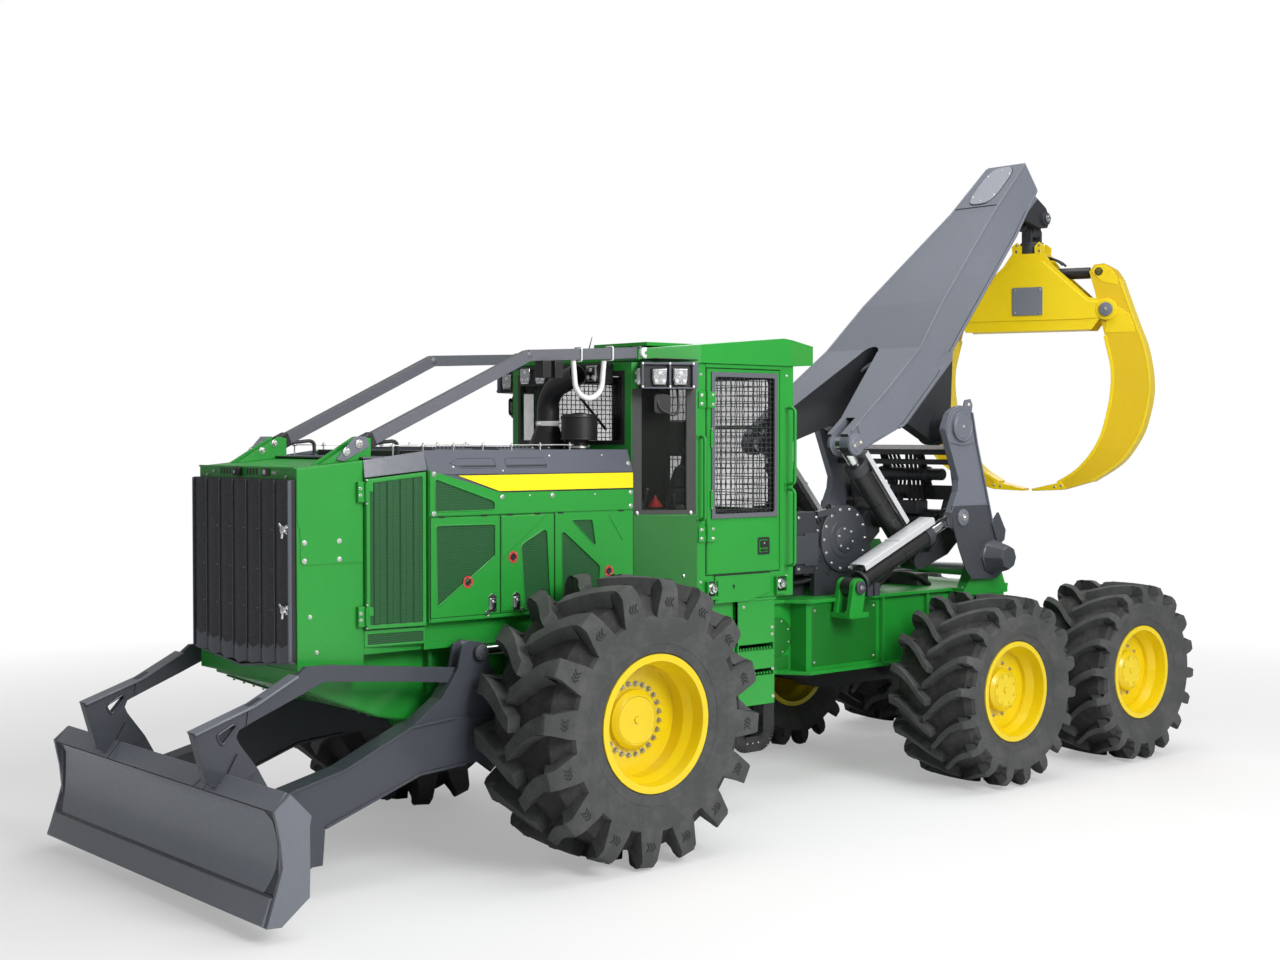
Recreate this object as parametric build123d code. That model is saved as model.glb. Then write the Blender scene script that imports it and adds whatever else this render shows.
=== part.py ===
from build123d import *

import math
import os

# A six-wheel articulated grapple skidder. Lengths are in mm. While it is drawn, x = 0 is
# the front axle, +X is forward, +Y is the machine's left and z = 0 is the ground; at the
# end everything is moved along X so that the origin is under the middle of the machine.

# ---- clearances -------------------------------------------------------------------
FIT = 0.3            # between curved faces that seat on each other
PIN_FIT = 0.05       # radial running clearance of a pin
SIDE_FIT = 0.5       # between an eye and the ears beside it
GAP = 6.0            # between a moving panel and its frame

# ---- wheels -----------------------------------------------------------------------
FRONT_TYRE_OD = 1830.0
FRONT_TYRE_WIDTH = 775.0
FRONT_WHEEL_Y = 1240.0
FRONT_RIM = dict(half=358.0, flange_r=438.0, seat_r=406.0, disc_in=85.0, disc_out=110.0,
                 hub_r=190.0, hub_out=165.0)
REAR_TYRE_OD = 1480.0
REAR_TYRE_WIDTH = 774.0
REAR_WHEEL_Y = 1182.0
REAR_RIM = dict(half=320.0, flange_r=387.5, seat_r=362.0, disc_in=115.0, disc_out=138.0,
                hub_r=165.0, hub_out=215.0)
BOGIE_X = -4657.0
BOGIE_SPACING = 1715.0
TREAD = 100.0        # tread rubber with its lugs
SIDEWALL = 42.0
FLANGE = 14.0        # rim plate thickness
FRONT_AXLE_Z = FRONT_TYRE_OD / 2
REAR_AXLE_Z = REAR_TYRE_OD / 2
AXLE_TUBE_R = 160.0
FRONT_HUB_R = 220.0
REAR_HUB_R = 200.0

# ---- front frame ------------------------------------------------------------------
RAIL_Y = 500.0       # outer face of the frame rails
RAIL = 40.0
BELLY = 20.0
RAIL_TOP = 1380.0
RAIL_BOTTOM = 840.0
NOSE_TOP = 1231.0
NOSE_X = 1930.0
RAIL_END_X = -1620.0
AXLE_ARCH_Z = FRONT_AXLE_Z + AXLE_TUBE_R + 40.0
AXLE_ARCH_X = 260.0
SHELF = 40.0         # thickness of the flange that carries the hood

# ---- articulation -----------------------------------------------------------------
HITCH_X = -2020.0
HITCH_R = 150.0
HITCH_PIN_R = 50.0
HITCH_PLATE = 40.0
STEER_Z = 1110.0
STEER_BASE = (-1270.0, 280.0)
STEER_EYE = (HITCH_X - 80.0, 280.0)
STEER_BARREL = 545.0     # from the base pin to the barrel's mouth
STEER_INNER = 325.0      # from the base pin to the rod's inner end

# ---- hood -------------------------------------------------------------------------
SHEET = 30.0         # hood panel with its folded flange
NOSE_Y = 610.0
NOSE_FRONT_X = 1980.0
NOSE_REAR_X = 1520.0
HOOD_STEP_X = 1100.0
HOOD_REAR_X = -573.0
HOOD_Y = 700.0
SILL_Y = 640.0
HOOD_TOP = 2620.0
HOOD_EDGE_Z = 2470.0     # where the top band starts to slope inward
HOOD_LEDGE_Z = 1550.0
PANEL_TOP_Z = 2210.0
PANEL_SEAMS = (1095.0, 555.0, 114.0)
SCREEN_Y_REAR = 655.0
SCREEN_HINGE = (NOSE_REAR_X - 2.0, NOSE_Y + 36.0)
SCREEN_HINGE_Z = (1615.0, 2375.0)
GRILLE_HINGE = (NOSE_FRONT_X + 3.0, -NOSE_Y - 18.0)
GRILLE_HINGE_Z = (1470.0, 2150.0)
SCREEN_Z = 1534.0                # lower edge of the radiator screens
SCREEN_TOP = (2450.0, 2494.0)    # their upper edge at the nose and at the engine bay
GRILLE_Z = (1356.0, 2455.0)
GRILLE_THICK = 38.0

# ---- cab --------------------------------------------------------------------------
CAB_Y = 900.0
CAB_FRONT_X = -580.0
CAB_FRONT_Y = 675.0
CAB_PILLAR_X = -990.0
CAB_REAR_X = -1936.0
CAB_FLOOR_Z = 1560.0
CAB_TOP_Z = 3220.0
CAB_WALL = 50.0
ROOF_FRONT_X = -610.0
CAB_SILL_Z = 2200.0      # lower edge of the front and quarter glass
DOOR_X = (-1800.0, -1070.0)
DOOR_Z = (1742.0, 3190.0)
DOOR_THICK = 46.0
DOOR_HINGE = (DOOR_X[1] - 3.0, CAB_Y + 18.0)
DOOR_HINGE_Z = (2035.0, 2967.0)
WINDOW_X = (-1755.0, -1130.0)
WINDOW_Z = (2150.0, 3150.0)
QUARTER_SPAN = (75.0, 400.0)     # quarter window, measured from the pillar along the wall

# ---- blade ------------------------------------------------------------------------
BLADE_HALF = 1468.0
BLADE_PIVOT = (450.0, 780.0)
PUSH_ARM_Y = (660.0, 800.0)
UPPER_ARM_Y = (715.0, 755.0)
LUG_PIN = (785.0, 1354.0)
BLADE_CYL_BASE = (-450.0, 1350.0)
BLADE_CYL_Y = 735.0
BLADE_CYL_R = 62.0
BLADE_EYE_HALF = 38.0

# ---- rear frame and bogie ---------------------------------------------------------
REAR_TOP = 1460.0
REAR_BOTTOM = 885.0
REAR_Y = 500.0
REAR_PLATE = 30.0
REAR_FRONT_X = -2200.0
REAR_WIDE_X = -2500.0
REAR_END_X = -4950.0
SADDLE_Z = 980.0         # seat of the bogie axle under the frame
TOW_EYE = (REAR_END_X - 85.0, 1150.0)     # (x, z) of the middle of the drawbar's upright bore
TOW_EYE_BORE = 26.0
TOW_EYE_R = 60.0
TOW_EYE_THICK = 45.0
STEER_EYE_R = 48.0
STEER_RELIEF = 70.0      # room for the steering eye's wander, beyond its own radius
TOWER_Y = 570.0          # inner face of the arch pivot tower
BEAM_Y = (540.0, 745.0)
BEAM_HALF_Z = 190.0
AXLE_CASE_R = 170.0

# ---- arch, boom and their cylinders -----------------------------------------------
ARCH_PIVOT = (-4495.0, 1712.0)
BOOM_PIVOT = (-4076.0, 2793.0)
ARCH_PLATE = 50.0
ARCH_CYL_Y = 620.0
ARCH_CYL_BASE = (-2873.0, 1545.0)
ARCH_CYL_EYE = (-4107.0, 2052.0)
BOOM_CYL_Y = 450.0
BOOM_CYL_BASE = (-3800.0, 1700.0)
BOOM_CYL_EYE = (-2958.0, 2652.0)
CYL_R = 78.0
EYE_HALF = 48.0          # half width of the arch and boom cylinder eyes
EYE_R = 75.0
EAR_R = 72.0             # rounded end of a cylinder ear
EAR = 40.0
STEER_EYE_HALF = 30.0
TONG_EYE_HALF = 30.0
TONG_BARREL = 680.0      # from the tong cylinder's barrel pin to its mouth
TONG_INNER = 648.0       # from the same pin to the rod's inner end
BARREL_START = 100.0     # from the base pin to the full barrel

# ---- grapple ----------------------------------------------------------------------
GRAPPLE_X = -6000.0
GRAPPLE_TURN = 22.0      # how far the grapple is turned about Z at rest
HEAD_PIN_Z = 4690.0
HEAD_PIN_R = 38.0
HEAD_EAR = (95.5, 140.0)     # y span of one ear of the boom's head fork
SWAY_PIN_Z = 4570.0
ROTATOR_Z = (4372.0, 4480.0)
BODY_HALF = 135.0        # half thickness of the grapple body
BODY_PLATE = 22.0
TONG_HALF = 105.0
TONG_PIVOT = (707.0, 3847.0)
TONG_LEVER = (631.0, 4187.0)

# ---- winch ------------------------------------------------------------------------
WINCH_X = -3090.0
WINCH_Z = 1900.0
WINCH_R = 270.0
WINCH_HALF = 350.0


ARCH_Y = (ARCH_CYL_Y + EYE_HALF + SIDE_FIT, ARCH_CYL_Y + EYE_HALF + SIDE_FIT + ARCH_PLATE)


# ---- shape helpers ----------------------------------------------------------------
def block(x, y, z):
    """A box from three (low, high) pairs."""
    low = (min(x), min(y), min(z))
    size = (abs(x[1] - x[0]), abs(y[1] - y[0]), abs(z[1] - z[0]))
    return Solid.make_box(*size, Plane(low))


def side_plate(outline, y):
    """A closed (x, z) outline extruded between two y planes."""
    corners = [Vector(px, y[0], pz) for px, pz in outline]
    face = Face(Wire.make_polygon(corners, close=True))
    return Solid.extrude(face, Vector(0, y[1] - y[0], 0))


def flat_plate(outline, z):
    """A closed (x, y) outline extruded between two z planes."""
    corners = [Vector(px, py, z[0]) for px, py in outline]
    face = Face(Wire.make_polygon(corners, close=True))
    return Solid.extrude(face, Vector(0, 0, z[1] - z[0]))


def rod(start, end, radius):
    """A round bar between two points."""
    start, end = Vector(start), Vector(end)
    axis = end - start
    return Solid.make_cylinder(radius, axis.length, Plane(start, z_dir=axis))


def cross_bar(at, y, radius):
    """A round bar along Y at an (x, z) place."""
    return rod((at[0], y[0], at[1]), (at[0], y[1], at[1]), radius)


def upright(at, z, radius):
    """A round bar along Z at an (x, y) place."""
    return rod((at[0], at[1], z[0]), (at[0], at[1], z[1]), radius)


def beam(start, end, width, height):
    """A rectangular bar between two points, its width level."""
    axis = Vector(*end) - Vector(*start)
    level = Vector(0, 0, 1).cross(axis)
    plane = Plane(Vector(*start), x_dir=level, z_dir=axis)
    return extrude(plane * Rectangle(width, height), axis.length)


def ear_sides(y, eye_half, thick):
    """The y spans of the two ears beside an eye."""
    inner, outer = eye_half + SIDE_FIT, eye_half + SIDE_FIT + thick
    return (y - outer, y - inner), (y + inner, y + outer)


def ear_plate(pin, foot, y, radius=EAR_R):
    """An ear with a round end about its (x, z) pin, widening to two foot points."""
    (ax, az), (bx, bz) = foot
    web = side_plate([(ax, az), (bx, bz), (pin[0] + radius, pin[1]), (pin[0] - radius, pin[1])], y)
    return fuse(web, cross_bar(pin, y, radius))


def fuse(*shapes):
    whole = shapes[0]
    for shape in shapes[1:]:
        whole = whole + shape
    return whole


def cut(shape, *tools):
    for tool in tools:
        shape = shape - tool
    return shape


def mirrored(shape):
    return mirror(shape, Plane.XZ)


def group(*shapes):
    """Solids that share a node without touching."""
    return Compound(children=[solid for shape in shapes for solid in shape.solids()])


def pair(shape):
    return group(shape, mirrored(shape))


def turned(outline, middle_y):
    """A closed (y, r) outline revolved about the wheel axis."""
    corners = [Vector(r, y + middle_y, 0) for y, r in outline]
    face = Face(Wire.make_polygon(corners, close=True))
    return revolve(face, Axis.Y)


def hinge(axis, level, fixed_leaf, moving_leaf, radius=15):
    """A lift-off hinge at an (x, y) axis: the fixed knuckle with its pin, and the moving one.

    The leaves are (x span, y span) plates that carry the knuckles."""
    length, gap, pin = 55.0, FIT / 2, radius * 0.55
    fixed = fuse(upright(axis, (level - length, level - gap), radius),
                 block(*fixed_leaf, (level - length, level - 2)),
                 upright(axis, (level - 5, level + length - 5), pin))
    moving = cut(fuse(upright(axis, (level + gap, level + length), radius),
                      block(*moving_leaf, (level + 2, level + length))),
                 upright(axis, (level - 1, level + length - 3), pin + FIT))
    return fixed, moving


# ---- wheels -----------------------------------------------------------------------
def tyre(outer_d, width, rim):
    """A tyre about the Y axis: a hollow section with rounded sidewalls and crown."""
    outer = outer_d / 2
    half = width / 2
    bead_y = rim["half"] - FLANGE - FIT
    bead_r = rim["seat_r"] + FIT
    shoulder = (half - 22, outer - 62)
    edge = (half - 75, outer - 10)
    inner_r = outer - TREAD
    lip_r = rim["flange_r"] + 4
    widest_r = lip_r + 0.5 * (outer - lip_r)
    skin = SIDEWALL

    def place(y, r):
        return Vector(r, y, 0)

    edges = []
    for side in (1, -1):
        edges += [
            Edge.make_line(place(side * bead_y, bead_r), place(side * bead_y, lip_r)),
            Edge.make_three_point_arc(place(side * bead_y, lip_r),
                                      place(side * half, widest_r),
                                      place(side * shoulder[0], shoulder[1])),
            Edge.make_line(place(side * shoulder[0], shoulder[1]), place(side * edge[0], edge[1])),
            Edge.make_line(place(side * bead_y, bead_r), place(side * (bead_y - skin), bead_r)),
            Edge.make_three_point_arc(place(side * (bead_y - skin), bead_r),
                                      place(side * (half - skin), widest_r),
                                      place(side * (half - skin - 70), inner_r)),
        ]
    edges.append(Edge.make_three_point_arc(place(edge[0], edge[1]), place(0, outer),
                                           place(-edge[0], edge[1])))
    edges.append(Edge.make_line(place(half - skin - 70, inner_r), place(-(half - skin - 70), inner_r)))
    section = Face(Wire(edges)).rotate(Axis.Y, 13)
    return revolve(section, Axis.Y)


def rim(size):
    """A wheel rim about the Y axis with its disc and hub drum, outer side at +Y."""
    half, top, seat = size["half"], size["flange_r"], size["seat_r"]
    skin = FLANGE
    ledge, slope = 90.0, 150.0
    well = seat - 36
    return turned([
        (half, top), (half - skin, top), (half - skin, seat), (half - ledge, seat - 6),
        (half - slope, well), (-half + slope, well), (-half + ledge, seat - 6),
        (-half + skin, seat), (-half + skin, top), (-half, top), (-half, seat - skin),
        (-half + ledge, seat - 6 - skin), (-half + slope, well - skin),
        (size["disc_in"], well - skin), (size["disc_in"], 0), (size["hub_out"], 0),
        (size["hub_out"], size["hub_r"] - 25), (size["hub_out"] - 25, size["hub_r"]),
        (size["disc_out"], size["hub_r"]), (size["disc_out"], well - skin),
        (half - slope, well - skin), (half - ledge, seat - 6 - skin), (half, seat - skin),
    ], 0)


def wheel_places():
    """Name, x, y, tyre diameter, tyre width and rim of each wheel."""
    rear_x = (BOGIE_X + BOGIE_SPACING / 2, BOGIE_X - BOGIE_SPACING / 2)
    rows = (("front", 0.0, FRONT_WHEEL_Y, FRONT_TYRE_OD, FRONT_TYRE_WIDTH, FRONT_RIM),
            ("mid", rear_x[0], REAR_WHEEL_Y, REAR_TYRE_OD, REAR_TYRE_WIDTH, REAR_RIM),
            ("back", rear_x[1], REAR_WHEEL_Y, REAR_TYRE_OD, REAR_TYRE_WIDTH, REAR_RIM))
    return [(row + side, *rest) for row, *rest in rows for side in ("_left", "_right")]


def wheels():
    nodes = {}
    for name, x, y, outer_d, width, size in wheel_places():
        place = Location((x, y, outer_d / 2))
        pieces = {"tyre_" + name: tyre(outer_d, width, size), "rim_" + name: rim(size)}
        for node, piece in pieces.items():
            piece = piece.moved(place)
            nodes[node] = mirrored(piece) if name.endswith("right") else piece
    return nodes


# ---- front chassis ----------------------------------------------------------------
def front_frame():
    """Belly channel with its rails, hood shelves, blade brackets and hitch plates."""
    below = [(RAIL_END_X, RAIL_BOTTOM), (-AXLE_ARCH_X - 60, RAIL_BOTTOM),
             (-AXLE_ARCH_X, RAIL_BOTTOM + 60), (-AXLE_ARCH_X, AXLE_ARCH_Z),
             (AXLE_ARCH_X, AXLE_ARCH_Z), (AXLE_ARCH_X, 920), (1093, 924), (1352, 977),
             (1860, 1176), (NOSE_X, 1200)]
    above = [(NOSE_X, NOSE_TOP), (NOSE_REAR_X, NOSE_TOP), (NOSE_REAR_X, RAIL_TOP),
             (RAIL_END_X, RAIL_TOP)]
    channel = side_plate(below + above, (-RAIL_Y, RAIL_Y))
    inside = [(x, z + BELLY) for x, z in below]
    inside[0] = (RAIL_END_X - 1, RAIL_BOTTOM + BELLY)
    inside[-1] = (NOSE_X - BELLY, 1200 + BELLY)
    inside += [(NOSE_X - BELLY, RAIL_TOP + 1), (RAIL_END_X - 1, RAIL_TOP + 1)]
    channel = cut(channel, side_plate(inside, (-RAIL_Y + RAIL, RAIL_Y - RAIL)),
                  block((-AXLE_ARCH_X - 90, AXLE_ARCH_X + 90), (-RAIL_Y + RAIL, RAIL_Y - RAIL),
                        (RAIL_BOTTOM - 1, RAIL_TOP + 1)))
    shelf_z = (RAIL_TOP, RAIL_TOP + SHELF)
    parts = [channel]
    for side in (1, -1):
        shelf = block((HOOD_REAR_X, HOOD_STEP_X), (side * (RAIL_Y - RAIL), side * SILL_Y), shelf_z)
        front_shelf = block((HOOD_STEP_X, NOSE_REAR_X), (side * (RAIL_Y - RAIL), side * NOSE_Y),
                            shelf_z)
        cab_shelf = block((RAIL_END_X, HOOD_REAR_X), (side * (RAIL_Y - RAIL), side * RAIL_Y),
                          shelf_z)
        outrigger = block((-1370, -1080), (side * (RAIL_Y - RAIL), side * 860),
                          (RAIL_TOP + SHELF, CAB_FLOOR_Z))
        parts += [shelf, front_shelf, cab_shelf, outrigger]
        # trunnion of the blade arm
        parts.append(side_plate([(BLADE_PIVOT[0] - 120, 935), (BLADE_PIVOT[0] + 150, 935),
                                 (BLADE_PIVOT[0] + 150, 1100), (BLADE_PIVOT[0] - 120, 1100)],
                                (side * RAIL_Y, side * 600)))
        parts.append(cross_bar(BLADE_PIVOT, (side * 560, side * (PUSH_ARM_Y[0] - SIDE_FIT)), 115))
        parts.append(side_plate([(BLADE_PIVOT[0] - 115, BLADE_PIVOT[1]),
                                 (BLADE_PIVOT[0] + 115, BLADE_PIVOT[1]),
                                 (BLADE_PIVOT[0] + 115, 1000), (BLADE_PIVOT[0] - 115, 1000)],
                                (side * 560, side * 600)))
        parts.append(cross_bar(BLADE_PIVOT, (side * 600, side * (PUSH_ARM_Y[1] + 20)), 45))
        # ears of the blade lift cylinder
        foot = ((BLADE_CYL_BASE[0] - 90, 1250), (BLADE_CYL_BASE[0] + 70, 1250))
        ears = ear_sides(BLADE_CYL_Y, BLADE_EYE_HALF, 22)
        for low, high in ears:
            parts.append(ear_plate(BLADE_CYL_BASE, foot, (side * low, side * high), 62))
        parts.append(block((foot[0][0], foot[1][0]), (side * RAIL_Y, side * ears[1][1]),
                           (1225, 1255)))
        parts.append(cross_bar(BLADE_CYL_BASE, (side * ears[0][0], side * (ears[1][1] + 8)), 32))
    # hitch plates and pins
    for z, pin in (((RAIL_TOP - HITCH_PLATE, RAIL_TOP), (RAIL_TOP - 150, RAIL_TOP + 20)),
                   ((RAIL_BOTTOM, RAIL_BOTTOM + HITCH_PLATE), (RAIL_BOTTOM - 20, RAIL_BOTTOM + 150))):
        parts.append(flat_plate([(-1150, -RAIL_Y + 20), (-1150, RAIL_Y - 20),
                                 (RAIL_END_X, RAIL_Y - 20), (HITCH_X + 40, HITCH_R - 5),
                                 (HITCH_X + 40, -HITCH_R + 5), (RAIL_END_X, -RAIL_Y + 20)], z))
        parts.append(upright((HITCH_X, 0), z, HITCH_R))
        parts.append(upright((HITCH_X, 0), pin, HITCH_PIN_R))
    # steering cylinder anchors
    for side in (1, -1):
        for low, high in ear_sides(STEER_Z, STEER_EYE_HALF, 25):
            parts.append(flat_plate([(STEER_BASE[0] - 60, side * (STEER_BASE[1] - 65)),
                                     (STEER_BASE[0] + 70, side * (STEER_BASE[1] - 65)),
                                     (STEER_BASE[0] + 120, side * (RAIL_Y - 20)),
                                     (STEER_BASE[0] - 60, side * (RAIL_Y - 20))],
                                    (low, high)))
        parts.append(upright((STEER_BASE[0], side * STEER_BASE[1]),
                             (STEER_Z - STEER_EYE_HALF - 40, STEER_Z + STEER_EYE_HALF + 40), 32))
    return fuse(*parts)


def front_axle():
    """Rigid axle with its centre housing, pads under the rails and wheel hubs."""
    centre = (0.0, FRONT_AXLE_Z)
    hub_face = FRONT_WHEEL_Y + FRONT_RIM["disc_in"] - SIDE_FIT
    parts = [cross_bar(centre, (-hub_face, hub_face), AXLE_TUBE_R),
             rod((0, 0, FRONT_AXLE_Z), (-330, 0, FRONT_AXLE_Z), 130),
             Solid.make_sphere(265, Plane((0, 0, FRONT_AXLE_Z)))]
    for side in (1, -1):
        parts.append(cross_bar(centre, (side * 870, side * hub_face), FRONT_HUB_R))
        parts.append(block((-150, 150), (side * (RAIL_Y - RAIL), side * RAIL_Y),
                           (FRONT_AXLE_Z + 60, AXLE_ARCH_Z)))
    return fuse(*parts)


def drive_line():
    """Engine, cooling pack and transmission, each one plain block where it stands."""
    engine = fuse(block((-250, 900), (-300, 300), (1300, 1950)),
                  block((-150, 800), (-200, 200), (1950, 2250)))
    feet = [block((x, x + 90), (side * 300, side * (RAIL_Y - RAIL)), (1300, 1360))
            for x in (0, 650) for side in (1, -1)]
    cooler = block((1130, 1500), (-560, 560), (RAIL_TOP + SHELF + 20, 2480))
    cooler_foot = block((1180, 1450), (-540, 540), (RAIL_TOP + SHELF, RAIL_TOP + SHELF + 20))
    gearbox = block((-1100, -400), (-280, 280), (1120, 1540))
    gear_feet = [block((-900, -760), (side * 280, side * (RAIL_Y - RAIL)), (1250, 1310))
                 for side in (1, -1)]
    shaft = rod((-400, 0, FRONT_AXLE_Z), (-330 - SIDE_FIT, 0, FRONT_AXLE_Z), 50)
    case = block((-640, -400), (-150, 150), (845 + BELLY, 1120))
    return group(fuse(engine, *feet), fuse(cooler, cooler_foot),
                 fuse(gearbox, *gear_feet, case, shaft))


# ---- hood -------------------------------------------------------------------------
def hood_section(top, edge_z, edge_y, bottom, inset=0.0):
    """Half-width section (y, z) mirrored to a closed outline, with the band sloped in."""
    crown = edge_y - 60
    half = [(edge_y - inset, bottom), (edge_y - inset, edge_z), (crown - inset, top - inset)]
    return half + [(-y, z) for y, z in reversed(half)]


def across(outline, x):
    """A closed (y, z) outline extruded between two x planes."""
    corners = [Vector(x[0], py, pz) for py, pz in outline]
    face = Face(Wire.make_polygon(corners, close=True))
    return Solid.extrude(face, Vector(x[1] - x[0], 0, 0))


def below_header(gap):
    """Everything over the radiator bay's width up to the screens' sloping top edge, or beyond
    it by a gap."""
    front, rear = SCREEN_TOP
    return side_plate([(NOSE_REAR_X + 1, SCREEN_Z - 1), (NOSE_REAR_X + 1, front + gap),
                       (HOOD_STEP_X - 1, rear + gap), (HOOD_STEP_X - 1, SCREEN_Z - 1)],
                      (-HOOD_Y, HOOD_Y))


def hood_shell():
    """Nose, radiator bay and engine bay in sheet, with the openings of the doors cut."""
    ledge = HOOD_LEDGE_Z
    engine_bay = cut(
        across(hood_section(HOOD_TOP, HOOD_EDGE_Z, HOOD_Y, ledge), (HOOD_REAR_X, HOOD_STEP_X)),
        across(hood_section(HOOD_TOP, HOOD_EDGE_Z, HOOD_Y, ledge - 1, SHEET),
               (HOOD_REAR_X - 1, HOOD_STEP_X - SHEET)),
        # the front bulkhead is open over the radiator bay
        block((HOOD_STEP_X - SHEET - 1, HOOD_STEP_X + 1), (-560, 560), (ledge - 1, 2480)))
    parts = [engine_bay]
    for side in (1, -1):
        parts.append(block((HOOD_REAR_X, HOOD_STEP_X), (side * (SILL_Y - 40), side * HOOD_Y),
                           (ledge, ledge + 25)))
        parts.append(block((HOOD_REAR_X, HOOD_STEP_X), (side * (SILL_Y - 40), side * SILL_Y),
                           (RAIL_TOP + SHELF, ledge)))
        # radiator bay corner posts, sill and header
        parts.append(block((NOSE_REAR_X - 45, NOSE_REAR_X - 5), (side * (NOSE_Y - 40), side * NOSE_Y),
                           (RAIL_TOP + SHELF, 2560)))
        parts.append(flat_plate([(NOSE_REAR_X, side * NOSE_Y), (NOSE_REAR_X, side * (NOSE_Y - 40)),
                                 (HOOD_STEP_X, side * (NOSE_Y - 40)),
                                 (HOOD_STEP_X, side * SCREEN_Y_REAR)],
                                (RAIL_TOP + SHELF, SCREEN_Z - GAP)))
        parts.append(cut(flat_plate([(NOSE_REAR_X, side * NOSE_Y), (NOSE_REAR_X, side * (NOSE_Y - 40)),
                                     (HOOD_STEP_X, side * (NOSE_Y - 40)),
                                     (HOOD_STEP_X, side * SCREEN_Y_REAR)],
                                    (SCREEN_Z, 2550)), below_header(GAP)))
        # nose cheeks
        parts.append(side_plate([(NOSE_FRONT_X, NOSE_TOP), (NOSE_FRONT_X, 2523),
                                 (NOSE_REAR_X, 2568), (NOSE_REAR_X, NOSE_TOP)],
                                (side * (NOSE_Y - SHEET), side * NOSE_Y)))
    roof = side_plate([(NOSE_FRONT_X, 2523), (NOSE_FRONT_X, 2523 - SHEET),
                       (NOSE_REAR_X, 2568 - SHEET), (HOOD_STEP_X - 1, 2580 - SHEET),
                       (HOOD_STEP_X - 1, 2580), (NOSE_REAR_X, 2568)],
                      (-NOSE_Y + 10, NOSE_Y - 10))
    floor = block((NOSE_REAR_X, NOSE_FRONT_X), (-NOSE_Y + 10, NOSE_Y - 10),
                  (NOSE_TOP, NOSE_TOP + 20))
    header = block((NOSE_FRONT_X - SHEET, NOSE_FRONT_X), (-NOSE_Y + 10, NOSE_Y - 10),
                   (GRILLE_Z[1] - 40, 2523))
    apron = block((NOSE_FRONT_X - SHEET, NOSE_FRONT_X), (-NOSE_Y + 10, NOSE_Y - 10),
                  (NOSE_TOP, GRILLE_Z[0] + 60))
    whole = fuse(*parts, roof, floor, header, apron)
    panel_hole = block((PANEL_SEAMS[2], PANEL_SEAMS[0]), (-HOOD_Y - 1, HOOD_Y + 1),
                       (ledge + 25, PANEL_TOP_Z))
    keep_inside = block((PANEL_SEAMS[2] - 1, PANEL_SEAMS[0] + 1), (-HOOD_Y + SHEET, HOOD_Y - SHEET),
                        (ledge, PANEL_TOP_Z + 1))
    knuckles = [shape for fixed, _ in screen_hinges() for shape in (fixed, mirrored(fixed))]
    return fuse(cut(whole, cut(panel_hole, keep_inside)), *knuckles,
                *[fixed for fixed, _ in grille_hinges()])


def engine_panels():
    """Two lift-off side panels on each side, hooked over the ledge and latched."""
    panels = []
    front, middle, rear = PANEL_SEAMS
    for x in ((middle + 3, front - 3), (rear + 3, middle - 3)):
        panels.append(block(x, (HOOD_Y - SHEET, HOOD_Y), (HOOD_LEDGE_Z + 25 + FIT, PANEL_TOP_Z - 3)))
    return group(*(pair(panel) for panel in panels))


def radiator_door():
    """Left side screen door of the radiator bay, hinged on its front edge."""
    x = (HOOD_STEP_X + GAP, NOSE_REAR_X - 6)
    slope = (SCREEN_Y_REAR - NOSE_Y) / (NOSE_REAR_X - HOOD_STEP_X)

    def outer(px):
        return NOSE_Y + slope * (NOSE_REAR_X - px) + 22

    plan = [(x[1], outer(x[1])), (x[0], outer(x[0])), (x[0], outer(x[0]) - 20),
            (x[1], outer(x[1]) - 20)]
    return fuse(flat_plate(plan, (SCREEN_Z, HOOD_TOP)) & below_header(0),
                *[knuckles[1] for knuckles in screen_hinges()])


def screen_hinges():
    x, y = SCREEN_HINGE
    fixed_leaf = (x, x + 50), (NOSE_Y - 1, y - 8)
    moving_leaf = (x - 50, x), (NOSE_Y + 15, y - 3)
    return [hinge(SCREEN_HINGE, z, fixed_leaf, moving_leaf, 12) for z in SCREEN_HINGE_Z]


def grille_hinges():
    x, y = GRILLE_HINGE
    fixed_leaf = (x - 70, x), (y + 6, -NOSE_Y + 1)
    moving_leaf = (x, x + 26), (y, -NOSE_Y + 1)
    return [hinge(GRILLE_HINGE, z, fixed_leaf, moving_leaf) for z in GRILLE_HINGE_Z]


def door_hinges():
    x, y = DOOR_HINGE
    fixed_leaf = (x, x + 60), (CAB_Y - 1, y - 6)
    moving_leaf = (x - 70, x), (CAB_Y - 1, y - 6)
    return [hinge(DOOR_HINGE, z, fixed_leaf, moving_leaf) for z in DOOR_HINGE_Z]


def grille():
    """Hinged front grille door with a shallow V foot."""
    front = NOSE_FRONT_X + GAP
    outline = [(-NOSE_Y, GRILLE_Z[0] + 20), (0, GRILLE_Z[0] - 30), (NOSE_Y, GRILLE_Z[0] + 20),
               (NOSE_Y, GRILLE_Z[1]), (-NOSE_Y, GRILLE_Z[1])]
    return fuse(across(outline, (front, front + GRILLE_THICK)),
                *[knuckles[1] for knuckles in grille_hinges()])


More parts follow.
